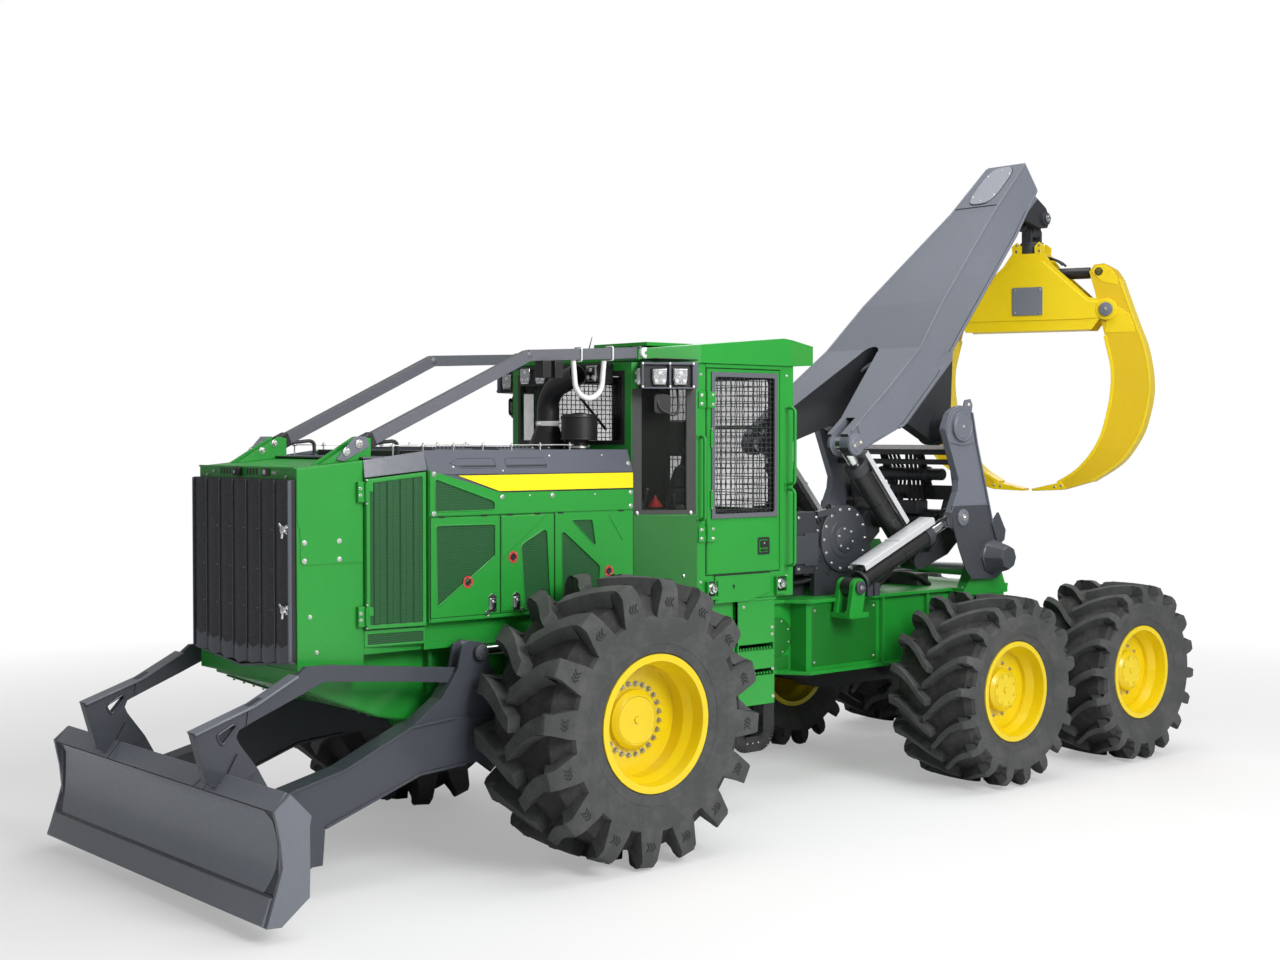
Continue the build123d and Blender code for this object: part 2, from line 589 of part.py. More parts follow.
def guard_bars():
    """Brush guard: two bars from the nose brackets over the hood to the cab roof."""
    side = []
    tip, clamp = (1793, 487, 2568), (1475, 518, 2663)
    bend, rear = (223, 558, 3245), (-640, 678, 3285)
    side.append(beam(clamp, bend, 60, 75))
    side.append(beam(bend, rear, 60, 75))
    side.append(Solid.make_sphere(38, Plane(bend)))
    side.append(side_plate([(tip[0], 2542), (1440, 2578), (1440, 2700), (1500, 2710)],
                           (455, 475)))
    side.append(side_plate([(tip[0], 2542), (1440, 2578), (1440, 2700), (1500, 2710)],
                           (553, 573)))
    side.append(cross_bar((1475, 2665), (455, 573), 22))
    bar = cut(fuse(*side), block((-700, ROOF_FRONT_X + FIT), (500, 800), (3100, 3400)))
    return pair(bar)


def exhaust_stack():
    """Cone, swept elbow turned to the left, and the air precleaner beside it."""
    foot = (-380.0, 0.0)
    cone = Solid.make_cone(150, 76, 170, Plane((foot[0], foot[1], HOOD_TOP)))
    stem = upright(foot, (HOOD_TOP + 165, HOOD_TOP + 270), 75)
    rise = 18.0
    turn = math.radians(90 - rise)
    bend_r = 200.0
    base = Vector(foot[0], foot[1], HOOD_TOP + 265)
    mid = base + Vector(0, bend_r * (1 - math.cos(turn / 2)), bend_r * math.sin(turn / 2))
    end = base + Vector(0, bend_r * (1 - math.cos(turn)), bend_r * math.sin(turn))
    away = Vector(0, math.sin(turn), math.cos(turn))
    path = Wire([Edge.make_three_point_arc(base, mid, end), Edge.make_line(end, end + away * 210)])
    ring = Plane(base, z_dir=(0, 0, 1)) * Circle(75)
    elbow = sweep(ring, path)
    bore = Solid.make_cylinder(69, 160, Plane(end + away * 60, z_dir=away))
    pot_at = (-400.0, 330.0)
    pot = fuse(upright(pot_at, (HOOD_TOP, HOOD_TOP + 90), 60),
               upright(pot_at, (HOOD_TOP + 80, HOOD_TOP + 235), 125))
    return group(cut(fuse(cone, stem, elbow), bore), pot)


# ---- cab --------------------------------------------------------------------------
def cab_plan(inset):
    """Plan of the cab: a narrow front face, angled quarters and straight sides."""
    slope = math.atan2(CAB_Y - CAB_FRONT_Y, CAB_FRONT_X - CAB_PILLAR_X)
    shift = inset * math.tan(slope / 2)
    front = CAB_FRONT_X - inset
    half = [(front, CAB_FRONT_Y - inset * math.tan((math.pi / 2 - slope) / 2)),
            (CAB_PILLAR_X - shift, CAB_Y - inset),
            (CAB_REAR_X + inset, CAB_Y - inset)]
    return half + [(x, -y) for x, y in reversed(half)]


def on_quarter(along, depth):
    """A plan point on the left quarter wall: distance from the pillar, depth into the wall."""
    dx, dy = CAB_FRONT_X - CAB_PILLAR_X, CAB_FRONT_Y - CAB_Y
    length = math.hypot(dx, dy)
    return (CAB_PILLAR_X + dx / length * along + dy / length * depth,
            CAB_Y + dy / length * along - dx / length * depth)


def quarter_piece(along, depth, z):
    """A piece parallel to the left quarter wall."""
    return flat_plate([on_quarter(along[0], depth[0]), on_quarter(along[1], depth[0]),
                       on_quarter(along[1], depth[1]), on_quarter(along[0], depth[1])], z)


def cab_shell():
    """Hollow cab: floor, walls and posts, with the door and window openings cut."""
    shell = cut(flat_plate(cab_plan(0), (CAB_FLOOR_Z, CAB_TOP_Z)),
                flat_plate(cab_plan(CAB_WALL), (CAB_FLOOR_Z + CAB_WALL, CAB_TOP_Z + 1)))
    front_window = block((CAB_FRONT_X - CAB_WALL - 1, CAB_FRONT_X + 1),
                         (-CAB_FRONT_Y + 70, CAB_FRONT_Y - 70), (HOOD_TOP + 40, CAB_TOP_Z - 60))
    rear_window = block((CAB_REAR_X - 1, CAB_REAR_X + CAB_WALL + 1), (-CAB_Y + 110, CAB_Y - 110),
                        (CAB_SILL_Z - 40, CAB_TOP_Z - 70))
    tools = [front_window, rear_window]
    for side in (1, -1):
        tools.append(block((DOOR_X[0], DOOR_X[1]), (side * (CAB_Y - CAB_WALL - 1), side * (CAB_Y + 1)),
                           DOOR_Z))
    quarter = quarter_piece(QUARTER_SPAN, (-40, CAB_WALL + 15), (CAB_SILL_Z, CAB_TOP_Z - 50))
    tools += [quarter, mirrored(quarter)]
    knuckles = [shape for fixed, _ in door_hinges() for shape in (fixed, mirrored(fixed))]
    return fuse(cut(shell, *tools), *knuckles)


def cab_door():
    """Left cab door with its window cut; the hinges are on its front edge."""
    leaf = block((DOOR_X[0] + GAP, DOOR_X[1] - GAP), (CAB_Y - DOOR_THICK, CAB_Y),
                 (DOOR_Z[0] + GAP, DOOR_Z[1] - GAP))
    window = block(WINDOW_X, (CAB_Y - DOOR_THICK - 1, CAB_Y + 1), WINDOW_Z)
    return fuse(cut(leaf, window), *[knuckles[1] for knuckles in door_hinges()])


def cab_glass():
    """Front, quarter and rear panes, set in the middle of the wall."""
    mid = CAB_WALL / 2
    thick = 8.0
    front = block((CAB_FRONT_X - mid, CAB_FRONT_X - mid + thick),
                  (-CAB_FRONT_Y + 70.5, CAB_FRONT_Y - 70.5), (HOOD_TOP + 40.5, CAB_TOP_Z - 60.5))
    rear = block((CAB_REAR_X + mid, CAB_REAR_X + mid + thick), (-CAB_Y + 110.5, CAB_Y - 110.5),
                 (CAB_SILL_Z - 39.5, CAB_TOP_Z - 70.5))
    quarter = quarter_piece((QUARTER_SPAN[0] + SIDE_FIT, QUARTER_SPAN[1] - SIDE_FIT),
                            (mid, mid + thick), (CAB_SILL_Z + SIDE_FIT, CAB_TOP_Z - 50 - SIDE_FIT))
    return group(front, rear, pair(quarter))


def cab_roof():
    """Roof cap, higher at the rear and overhanging the cab's back."""
    profile = [(ROOF_FRONT_X, CAB_TOP_Z + 15), (ROOF_FRONT_X, 3310), (-1818, 3417), (-2244, 3376),
               (-2244, 3236), (CAB_REAR_X, CAB_TOP_Z), (-640, CAB_TOP_Z)]
    half = [(ROOF_FRONT_X, 715), (-1000, 920), (-1900, 920), (-2244, 805)]
    plan = half + [(x, -y) for x, y in reversed(half)]
    return side_plate(profile, (-1000, 1000)) & flat_plate(plan, (3000, 3600))


def cab_furniture():
    """Seat pedestal, side consoles and front dash, standing on the cab floor."""
    floor = CAB_FLOOR_Z + CAB_WALL
    pedestal = block((-1640, -1240), (-190, 190), (floor, floor + 330))
    consoles = [block((-1600, -1150), (side * 300, side * 420), (floor, floor + 480))
                for side in (1, -1)]
    dash = fuse(block((-760, -640), (-330, 330), (floor, floor + 560)),
                block((-860, -640), (-420, 420), (floor + 560, floor + 640)))
    return group(pedestal, *consoles, dash)


def operator_seat():
    """Plain form of the seat: cushion, back and head rest."""
    low = CAB_FLOOR_Z + CAB_WALL + 330 + FIT
    cushion = block((-1690, -1200), (-250, 250), (low, low + 120))
    back = side_plate([(-1590, low + 120), (-1720, low + 120), (-1850, low + 740),
                       (-1750, low + 740)], (-230, 230))
    return fuse(cushion, back)


def work_lights():
    """Lamp boxes on both front corners under the roof and one bar over the windshield."""
    corner = quarter_piece((60, 420), (-120, 0), (3040, CAB_TOP_Z - 4))
    bar = block((CAB_FRONT_X, CAB_FRONT_X + 90), (-480, 480), (3080, CAB_TOP_Z - 4))
    return group(pair(corner), bar)


def cab_steps():
    """Boarding steps, side tanks and the battery box between the front wheels and hitch."""
    parts = []
    side = []
    x = (-1745.0, -1400.0)
    for z in (905, 1160, 1420):
        side.append(block(x, (RAIL_Y + 30, 880), (z, z + 30)))
    for px in ((x[0] - 12, x[0]), (x[1], x[1] + 12)):
        side.append(block(px, (RAIL_Y, 890), (900, CAB_FLOOR_Z)))
    side.append(block((x[0] - 12, x[1] + 12), (RAIL_Y, RAIL_Y + 30), (900, CAB_FLOOR_Z)))
    steps = fuse(*side)
    tank = block((-1380, -1060), (RAIL_Y, 860), (930, 1370))
    parts += [pair(steps), pair(tank)]
    return group(*parts)


# ---- blade ------------------------------------------------------------------------
def blade_side():
    """Left end plate, push arm, hooked upper arm and slotted cylinder lug."""
    end = side_plate([(2660, 89), (2571, 83), (2399, 216), (2395, 389), (2396, 606), (2385, 658),
                      (2513, 791), (2611, 711), (2575, 539), (2561, 403), (2592, 301)],
                     (BLADE_HALF - 25, BLADE_HALF))
    arm = side_plate([(2440, 520), (2142, 640), (1776, 726), (1300, 930), (900, 960),
                      (BLADE_PIVOT[0] - 40, 890), (BLADE_PIVOT[0] - 110, BLADE_PIVOT[1]),
                      (BLADE_PIVOT[0] - 40, 672), (1100, 660), (1242, 643), (1905, 412),
                      (1923, 187), (2440, 187)], PUSH_ARM_Y)
    upper = side_plate([(2720, 1042), (2350, 1165), (2065, 1310), (1999, 1360), (1831, 1358),
                        (1202, 1292), (900, 1262), (900, 1165), (1202, 1200), (1883, 1264),
                        (2083, 1181), (2373, 1067), (2437, 1040), (2455, 1000), (2437, 960),
                        (2320, 803), (2230, 640), (2440, 600), (2501, 698), (2639, 759),
                        (2675, 890)], UPPER_ARM_Y)
    window = side_plate([(2583, 1020), (2470, 1078), (2452, 1062), (2546, 959)],
                        (UPPER_ARM_Y[0] - 1, UPPER_ARM_Y[1] + 1))
    wide, slot = BLADE_EYE_HALF + SIDE_FIT + 20, BLADE_EYE_HALF + SIDE_FIT
    lug = side_plate([(848, 1430), (918, 1405), (950, 1259), (1005, 1180), (1074, 1085),
                      (1346, 900), (1200, 800), (620, 800), (611, 1032), (700, 1280), (740, 1410)],
                     (BLADE_CYL_Y - wide, BLADE_CYL_Y + wide))
    lug = cut(lug, side_plate([(590, 1470), (590, 965), (880, 965), (965, 1240), (965, 1470)],
                              (BLADE_CYL_Y - slot, BLADE_CYL_Y + slot)))
    caps = [cross_bar(LUG_PIN, (BLADE_CYL_Y + turn * (wide - 1), BLADE_CYL_Y + turn * (wide + 15)), 32)
            for turn in (1, -1)]
    whole = fuse(arm, upper, lug, *caps, end)
    return cut(whole, window,
               cross_bar(BLADE_PIVOT, (PUSH_ARM_Y[0] - 1, PUSH_ARM_Y[1] + 1), 45 + PIN_FIT))


def blade():
    """Moldboard with its end plates, push arms and hooked upper arms."""
    board = side_plate([(2660, 89), (2607, 244), (2560, 380), (2550, 520), (2562, 640),
                        (2596, 697), (2513, 791), (2430, 700), (2420, 520), (2420, 300),
                        (2571, 83)], (-BLADE_HALF + 20, BLADE_HALF - 20))
    side = blade_side()
    return fuse(board, side, mirrored(side))


# ---- hydraulic cylinders ----------------------------------------------------------
def cylinder(base, eye, y, radius, barrel_length, inner, rod_radius, pin_r, half):
    """Barrel and rod of one cylinder between two (x, z) pins in the plane at y.

    The rod's inner end stands that far from the base pin at rest."""
    start, end = Vector(base[0], y, base[1]), Vector(eye[0], y, eye[1])
    along = (end - start).normalized()
    mouth = start + along * barrel_length
    floor = start + along * (BARREL_START + 15)
    barrel = fuse(rod(start + along * BARREL_START, mouth, radius),
                  rod(start, start + along * (BARREL_START + 5), min(half - 2, radius - 4)),
                  cross_bar(base, (y - half, y + half), EYE_R))
    barrel = cut(barrel, cross_bar(base, (y - half - 60, y + half + 60), pin_r + PIN_FIT),
                 rod(floor, mouth + along, rod_radius + FIT))
    rod_piece = fuse(rod(start + along * inner, end, rod_radius),
                     cross_bar(eye, (y - half, y + half), EYE_R * 0.85))
    return barrel, rod_piece


def blade_cylinders():
    barrel, rod_piece = cylinder(BLADE_CYL_BASE, LUG_PIN, BLADE_CYL_Y, BLADE_CYL_R, 720, 400, 34, 32,
                                 BLADE_EYE_HALF)
    return {"blade_barrels": pair(barrel), "blade_rods": pair(rod_piece)}


def arch_cylinders():
    barrel, rod_piece = cylinder(ARCH_CYL_BASE, ARCH_CYL_EYE, ARCH_CYL_Y, CYL_R, 1000, 230, 45, 38,
                                 EYE_HALF)
    return {"arch_barrels": pair(barrel), "arch_rods": pair(rod_piece)}


def boom_cylinders():
    barrel, rod_piece = cylinder(BOOM_CYL_BASE, BOOM_CYL_EYE, BOOM_CYL_Y, CYL_R, 1060, 145, 45, 38,
                                 EYE_HALF)
    return {"boom_barrels": pair(barrel), "boom_rods": pair(rod_piece)}


def steer_cylinders():
    """Steering cylinders lie level, with upright pins."""
    nodes = {}
    z = STEER_Z
    half = STEER_EYE_HALF
    start, end = Vector(*STEER_BASE, z), Vector(*STEER_EYE, z)
    along = (end - start).normalized()
    mouth = start + along * STEER_BARREL
    barrel = cut(fuse(rod(start + along * BARREL_START, mouth, 55),
                      rod(start, start + along * (BARREL_START + 5), half - 2),
                      upright(STEER_BASE, (z - half, z + half), EYE_R)),
                 upright(STEER_BASE, (z - 100, z + 100), 32 + PIN_FIT),
                 rod(start + along * (BARREL_START + 15), mouth + along, 28 + FIT))
    rod_piece = fuse(rod(start + along * STEER_INNER, end, 28),
                     upright(STEER_EYE, (z - half, z + half), STEER_EYE_R))
    for name, shape in (("left", lambda s: s), ("right", mirrored)):
        nodes["steer_barrel_" + name] = shape(barrel)
        nodes["steer_rod_" + name] = shape(rod_piece)
    return nodes


# ---- rear chassis -----------------------------------------------------------------
def rear_frame():
    """Inverted channel with hitch column, steering wings, arch and cylinder brackets."""
    outer = fuse(block((REAR_END_X, REAR_WIDE_X), (-REAR_Y, REAR_Y), (REAR_BOTTOM, REAR_TOP)),
                 block((REAR_WIDE_X - 1, REAR_FRONT_X), (-330, 330), (REAR_BOTTOM, REAR_TOP)))
    hollow = block((REAR_END_X + REAR_PLATE, REAR_WIDE_X - REAR_PLATE),
                   (-REAR_Y + REAR_PLATE, REAR_Y - REAR_PLATE), (REAR_BOTTOM - 1, REAR_TOP - REAR_PLATE))
    column_z = (RAIL_BOTTOM + HITCH_PLATE + SIDE_FIT, RAIL_TOP - HITCH_PLATE - SIDE_FIT)
    column = fuse(upright((HITCH_X, 0), column_z, HITCH_R - 15),
                  flat_plate([(HITCH_X, -HITCH_R + 20), (HITCH_X, HITCH_R - 20),
                              (REAR_FRONT_X + 1, 300), (REAR_FRONT_X - 40, 300),
                              (REAR_FRONT_X - 40, -300), (REAR_FRONT_X + 1, -300)], column_z))
    bores = [upright((HITCH_X, 0), (RAIL_TOP - 160, RAIL_TOP + 30), HITCH_PIN_R + PIN_FIT),
             upright((HITCH_X, 0), (RAIL_BOTTOM - 30, RAIL_BOTTOM + 160), HITCH_PIN_R + PIN_FIT)]
    parts = [cut(outer, hollow), column]
    for side in (1, -1):
        for low, high in ear_sides(STEER_Z, STEER_EYE_HALF, 25):
            parts.append(flat_plate([(STEER_EYE[0] + 60, side * (STEER_EYE[1] - 50)),
                                     (STEER_EYE[0] + 60, side * (STEER_EYE[1] + 50)),
                                     (STEER_EYE[0] - 60, side * (STEER_EYE[1] + 70)),
                                     (REAR_FRONT_X - 60, side * 320),
                                     (REAR_FRONT_X - 60, side * 200), (HITCH_X - 100, side * 150)],
                                    (low, high)))
    parts.append(block((BOGIE_X - 260, BOGIE_X + 260), (-REAR_Y + REAR_PLATE - 1, REAR_Y - REAR_PLATE + 1),
                       (SADDLE_Z, REAR_TOP - REAR_PLATE)))
    # drawbar plate with an upright bore, in the middle of the rear end
    level = (TOW_EYE[1] - TOW_EYE_THICK / 2, TOW_EYE[1] + TOW_EYE_THICK / 2)
    parts.append(fuse(flat_plate([(REAR_END_X + 1, -130), (TOW_EYE[0], -TOW_EYE_R),
                                  (TOW_EYE[0], TOW_EYE_R), (REAR_END_X + 1, 130)], level),
                      upright((TOW_EYE[0], 0), level, TOW_EYE_R)))
    bores.append(upright((TOW_EYE[0], 0), (level[0] - 1, level[1] + 1), TOW_EYE_BORE))
    bores.append(cross_bar((BOGIE_X, REAR_AXLE_Z), (-REAR_Y - 5, REAR_Y + 5), AXLE_CASE_R + FIT))
    # the steering eyes wander a little about their pins as the machine turns
    slot = STEER_EYE_HALF + SIDE_FIT
    bores += [upright((STEER_EYE[0], side * STEER_EYE[1]), (STEER_Z - slot, STEER_Z + slot),
                      STEER_EYE_R + STEER_RELIEF) for side in (1, -1)]
    return cut(fuse(*parts), *bores)


def arch_mounts():
    """Bolted to each side of the rear frame: the arch's pivot tower, and the arch cylinder's
    ears on their outrigger."""
    ears = ear_sides(ARCH_CYL_Y, EYE_HALF, EAR)
    outer = ears[1][1]
    x, z = ARCH_CYL_BASE
    bracket = fuse(block((x - 110, x + 110), (REAR_Y, outer), (REAR_TOP - 150, REAR_TOP - 110)),
                   *[ear_plate(ARCH_CYL_BASE, ((x - 40, REAR_TOP - 110), (x + 110, REAR_TOP - 110)), y)
                     for y in ears],
                   cross_bar(ARCH_CYL_BASE, (ears[0][0], outer + 15), 38))
    px, pz = ARCH_PIVOT
    face = ARCH_Y[0] - SIDE_FIT
    tower = fuse(side_plate([(px - 285, REAR_TOP - 60), (px + 295, REAR_TOP - 60), (px + 135, pz),
                             (px + 75, pz + 90), (px - 75, pz + 90), (px - 145, pz)],
                            (TOWER_Y, face)),
                 block((px - 285, px + 295), (REAR_Y, face), (REAR_TOP - 60, REAR_TOP)),
                 cross_bar(ARCH_PIVOT, (TOWER_Y + 30, ARCH_Y[1] + 25), 55))
    return group(pair(bracket), pair(tower))


def rear_axle():
    """Bogie axle: centre case, trunnions and the two walking beams with wheel hubs."""
    centre = (BOGIE_X, REAR_AXLE_Z)
    parts = [cross_bar(centre, (-BEAM_Y[0] - 1, BEAM_Y[0] + 1), AXLE_CASE_R),
             Solid.make_sphere(230, Plane((BOGIE_X, 0, REAR_AXLE_Z))),
             block((BOGIE_X - 200, BOGIE_X + 200), (-440, 440), (REAR_AXLE_Z, SADDLE_Z))]
    hub_face = REAR_WHEEL_Y + REAR_RIM["disc_in"] - SIDE_FIT
    reach = BOGIE_SPACING / 2
    for side in (1, -1):
        y = (side * BEAM_Y[0], side * BEAM_Y[1])
        parts.append(block((BOGIE_X - reach, BOGIE_X + reach), y,
                           (REAR_AXLE_Z - BEAM_HALF_Z, REAR_AXLE_Z + BEAM_HALF_Z)))
        for x in (BOGIE_X - reach, BOGIE_X + reach):
            parts.append(cross_bar((x, REAR_AXLE_Z), y, BEAM_HALF_Z))
            parts.append(cross_bar((x, REAR_AXLE_Z), (side * BEAM_Y[1], side * hub_face), REAR_HUB_R - 40))
    return fuse(*parts)


def winch():
    """Winch housing on its stand, and the drum that turns in it."""
    plates = [cross_bar((WINCH_X, WINCH_Z), (side * WINCH_HALF, side * (WINCH_HALF - 70)), WINCH_R)
              for side in (1, -1)]
    stand = [block((WINCH_X - 330, WINCH_X + 330), (side * (WINCH_HALF - 10), side * (WINCH_HALF - 60)),
                   (REAR_TOP, WINCH_Z - 60)) for side in (1, -1)]
    motor = fuse(block((WINCH_X + 275, WINCH_X + 530), (-WINCH_HALF + 20, WINCH_HALF - 20),
                       (1640, 2120)),
                 block((WINCH_X + 200, WINCH_X + 530), (-WINCH_HALF + 20, -WINCH_HALF + 60),
                       (1640, 2120)),
                 block((WINCH_X + 200, WINCH_X + 530), (WINCH_HALF - 60, WINCH_HALF - 20),
                       (1640, 2120)),
                 block((WINCH_X + 300, WINCH_X + 500), (-200, 200), (REAR_TOP, 1650)))
    housing = fuse(*plates, *stand, motor)
    inner = WINCH_HALF - 70 - 5
    drum = fuse(cross_bar((WINCH_X, WINCH_Z), (-inner, inner), 120),
                *[cross_bar((WINCH_X, WINCH_Z), (side * inner, side * (inner - 20)), 230)
                  for side in (1, -1)],
                cross_bar((WINCH_X, WINCH_Z), (-inner - 40, inner + 40), 40))
    housing = cut(housing, cross_bar((WINCH_X, WINCH_Z), (-inner - 50, inner + 50), 40 + PIN_FIT))
    return {"winch_housing": housing, "winch_drum": drum}


# ---- arch and boom ----------------------------------------------------------------
def arch():
    """Two side plates, top and lower cross tubes and the cylinder lugs."""
    plate = [(-4000, 2940), (-4075, 2966), (-4150, 2950), (-4213, 2909), (-4276, 2657),
             (-4482, 2011), (-4518, 1920), (-4600, 1800), (-4660, 1700), (-4616, 1620),
             (-4500, 1570), (-4400, 1580), (-4300, 1640), (-4259, 1693), (-4119, 1905),
             (-3993, 1968), (-3958, 2086), (-4048, 2259), (-4059, 2361), (-3881, 2773),
             (-3940, 2907)]
    parts = []
    for side in (1, -1):
        parts.append(cut(side_plate(plate, (side * ARCH_Y[0], side * ARCH_Y[1])),
                         cross_bar(ARCH_PIVOT, (side * 640, side * 730), 55 + PIN_FIT)))
        parts.append(cross_bar(BOOM_PIVOT, (side * 500.5, side * (ARCH_Y[1] + 30)), 120))
        # inner ear of the arch cylinder, tied to the side plate behind the eye
        low, high = ear_sides(ARCH_CYL_Y, EYE_HALF, 32)[0]
        ear_foot = ((-4330, 1975), (-4330, 2150))
        parts.append(ear_plate(ARCH_CYL_EYE, ear_foot, (side * low, side * high)))
        parts.append(block((-4330, -4230), (side * low, side * (ARCH_Y[0] + 1)), (1975, 2150)))
        # lug of the boom cylinder
        for low, high in ear_sides(BOOM_CYL_Y, EYE_HALF, 38):
            y = (side * low, side * high)
            parts.append(fuse(side_plate([(BOOM_CYL_BASE[0] + 20, BOOM_CYL_BASE[1] + EAR_R - 5),
                                          (-3950, BOOM_CYL_BASE[1] + EAR_R - 5), (-4160, 2060),
                                          (-4330, 2060), (-4330, 1880), (-4150, 1740),
                                          (BOOM_CYL_BASE[0], BOOM_CYL_BASE[1] - EAR_R)], y),
                              cross_bar(BOOM_CYL_BASE, y, EAR_R)))
        parts.append(cross_bar(BOOM_CYL_BASE, (side * (BOOM_CYL_Y - EYE_HALF - 20),
                                               side * (BOOM_CYL_Y + EYE_HALF + 20)), 38))
    parts.append(cross_bar((-4300, 2010), (-ARCH_Y[1] + 20, ARCH_Y[1] - 20), 90))
    return fuse(*parts)


def boom():
    """A-shaped box boom: full-width head tapering out to two legs with clevis tips."""
    # front edge (x, z), rear edge (x, z), half width
    stations = (((-2880, 2730), (-2935, 2560), 580), ((-3384, 3112), (-3560, 2800), 560),
                ((-3815, 3440), (-4040, 3190), 510), ((-4194, 3837), (-4440, 3570), 430),
                ((-5137, 4693), (-5440, 4480), 240), ((-5617, 5150), (-5800, 4930), 205))
    spans = []
    for (front_a, rear_a, half_a), (front_b, rear_b, half_b) in zip(stations, stations[1:]):
        wires = []
        for front, rear, half in ((front_a, rear_a, half_a), (front_b, rear_b, half_b)):
            wires.append(Wire.make_polygon([Vector(front[0], half, front[1]),
                                            Vector(front[0], -half, front[1]),
                                            Vector(rear[0], -half, rear[1]),
                                            Vector(rear[0], half, rear[1])], close=True))
        spans.append(Solid.make_loft(wires, ruled=True))
    body = fuse(*spans)
    tip = Vector(-2900, 0, 2640)
    up = Vector(stations[2][0][0] - stations[0][0][0], 0, stations[2][0][1] - stations[0][0][1])
    plane = Plane(tip, x_dir=up, z_dir=up.cross(Vector(0, 1, 0)))
    reach = 1150.0
    apex = 90.0
    gap = [(-400, 372), (250, 350), (reach, apex)]
    outline = Wire([Edge.make_line((x0, y0, 0), (x1, y1, 0))
                    for (x0, y0), (x1, y1) in zip(gap, gap[1:])]
                   + [Edge.make_three_point_arc((reach, apex, 0), (reach + apex, 0, 0),
                                                (reach, -apex, 0))]
                   + [Edge.make_line((x0, -y0, 0), (x1, -y1, 0))
                      for (x0, y0), (x1, y1) in zip(gap, gap[1:])]
                   + [Edge.make_line((gap[0][0], -gap[0][1], 0), (gap[0][0], gap[0][1], 0))])
    tear = extrude(plane * Face(outline), 900, both=True)
    body = cut(body, tear)
    for side in (1, -1):
        body = fuse(body, cross_bar(BOOM_CYL_EYE, (side * 375, side * 590), 92))
    for side in (1, -1):
        slot = (side * (BOOM_CYL_Y - EYE_HALF - SIDE_FIT),
                side * (BOOM_CYL_Y + EYE_HALF + SIDE_FIT))
        body = cut(body, side_plate([(-2700, 2400), (-2700, 2900), (-2960, 2900), (-3180, 2800),
                                     (-3180, 2400)], slot))
        # pivot lug on the arch's cross tube
        lug = side_plate([(-4250, 3420), (-4215, 2700), (-4076, 2640), (-3930, 2700),
                          (-3520, 2890), (-3800, 3250)], (side * 380, side * 500))
        body = fuse(body, lug, cross_bar(BOOM_PIVOT, (side * 370, side * 500), 150))
    # head fork
    for side in (1, -1):
        ear = side_plate([(-5600, 4680), (-5780, 4930), (-6020, 4790), (GRAPPLE_X - 85, HEAD_PIN_Z),
                          (GRAPPLE_X - 40, 4610), (GRAPPLE_X + 60, 4600)],
                         (side * HEAD_EAR[0], side * HEAD_EAR[1]))
        body = fuse(body, ear)
    return cut(body, cross_bar((GRAPPLE_X, HEAD_PIN_Z), (-200, 200), HEAD_PIN_R + PIN_FIT))


def head_pin():
    """Floating pin through the boom's head fork, with a collar outside each ear."""
    pin = (GRAPPLE_X, HEAD_PIN_Z)
    collars = [cross_bar(pin, (side * (HEAD_EAR[1] + SIDE_FIT), side * (HEAD_EAR[1] + 25)), 58)
               for side in (1, -1)]
    return fuse(cross_bar(pin, (-HEAD_EAR[1] - 40, HEAD_EAR[1] + 40), HEAD_PIN_R), *collars)


# ---- grapple ----------------------------------------------------------------------
def in_grapple(shape):
    """Turns a shape drawn across Y at x = GRAPPLE_X to the grapple's stored angle."""
    return shape.rotate(Axis((GRAPPLE_X, 0, 0), (0, 0, 1)), GRAPPLE_TURN)


def grapple_plate(outline, depth):
    """A closed (s, z) outline across the machine, extruded along X about GRAPPLE_X."""
    corners = [Vector(GRAPPLE_X + depth[0], s, z) for s, z in outline]
    face = Face(Wire.make_polygon(corners, close=True))
    return Solid.extrude(face, Vector(depth[1] - depth[0], 0, 0))


def fore_bar(at, depth, radius):
    """A round bar along X at an (s, z) place of the grapple."""
    return rod((GRAPPLE_X + depth[0], at[0], at[1]), (GRAPPLE_X + depth[1], at[0], at[1]), radius)


def crosshead():
    """Block on the head pin, with the sway pin below it."""
    return cut(fuse(cross_bar((GRAPPLE_X, HEAD_PIN_Z), (-95, 95), 60),
                    block((GRAPPLE_X - 55, GRAPPLE_X + 55), (-60, 60), (SWAY_PIN_Z - 10, HEAD_PIN_Z)),
                    fore_bar((0, SWAY_PIN_Z), (-55, 55), 50),
                    fore_bar((0, SWAY_PIN_Z), (-90, 90), 28)),
               cross_bar((GRAPPLE_X, HEAD_PIN_Z), (-100, 100), HEAD_PIN_R + PIN_FIT))


def rotator():
    """Clevis on the sway pin and the rotator drum under it."""
    ears = [fuse(block((GRAPPLE_X + side * 55.5, GRAPPLE_X + side * 85), (-50, 50),
                       (ROTATOR_Z[1] - 1, SWAY_PIN_Z)),
                 fore_bar((0, SWAY_PIN_Z), (side * 55.5, side * 85), 50)) for side in (1, -1)]
    drum = upright((GRAPPLE_X, 0), ROTATOR_Z, 100)
    return cut(fuse(drum, *ears), fore_bar((0, SWAY_PIN_Z), (-100, 100), 28 + PIN_FIT))


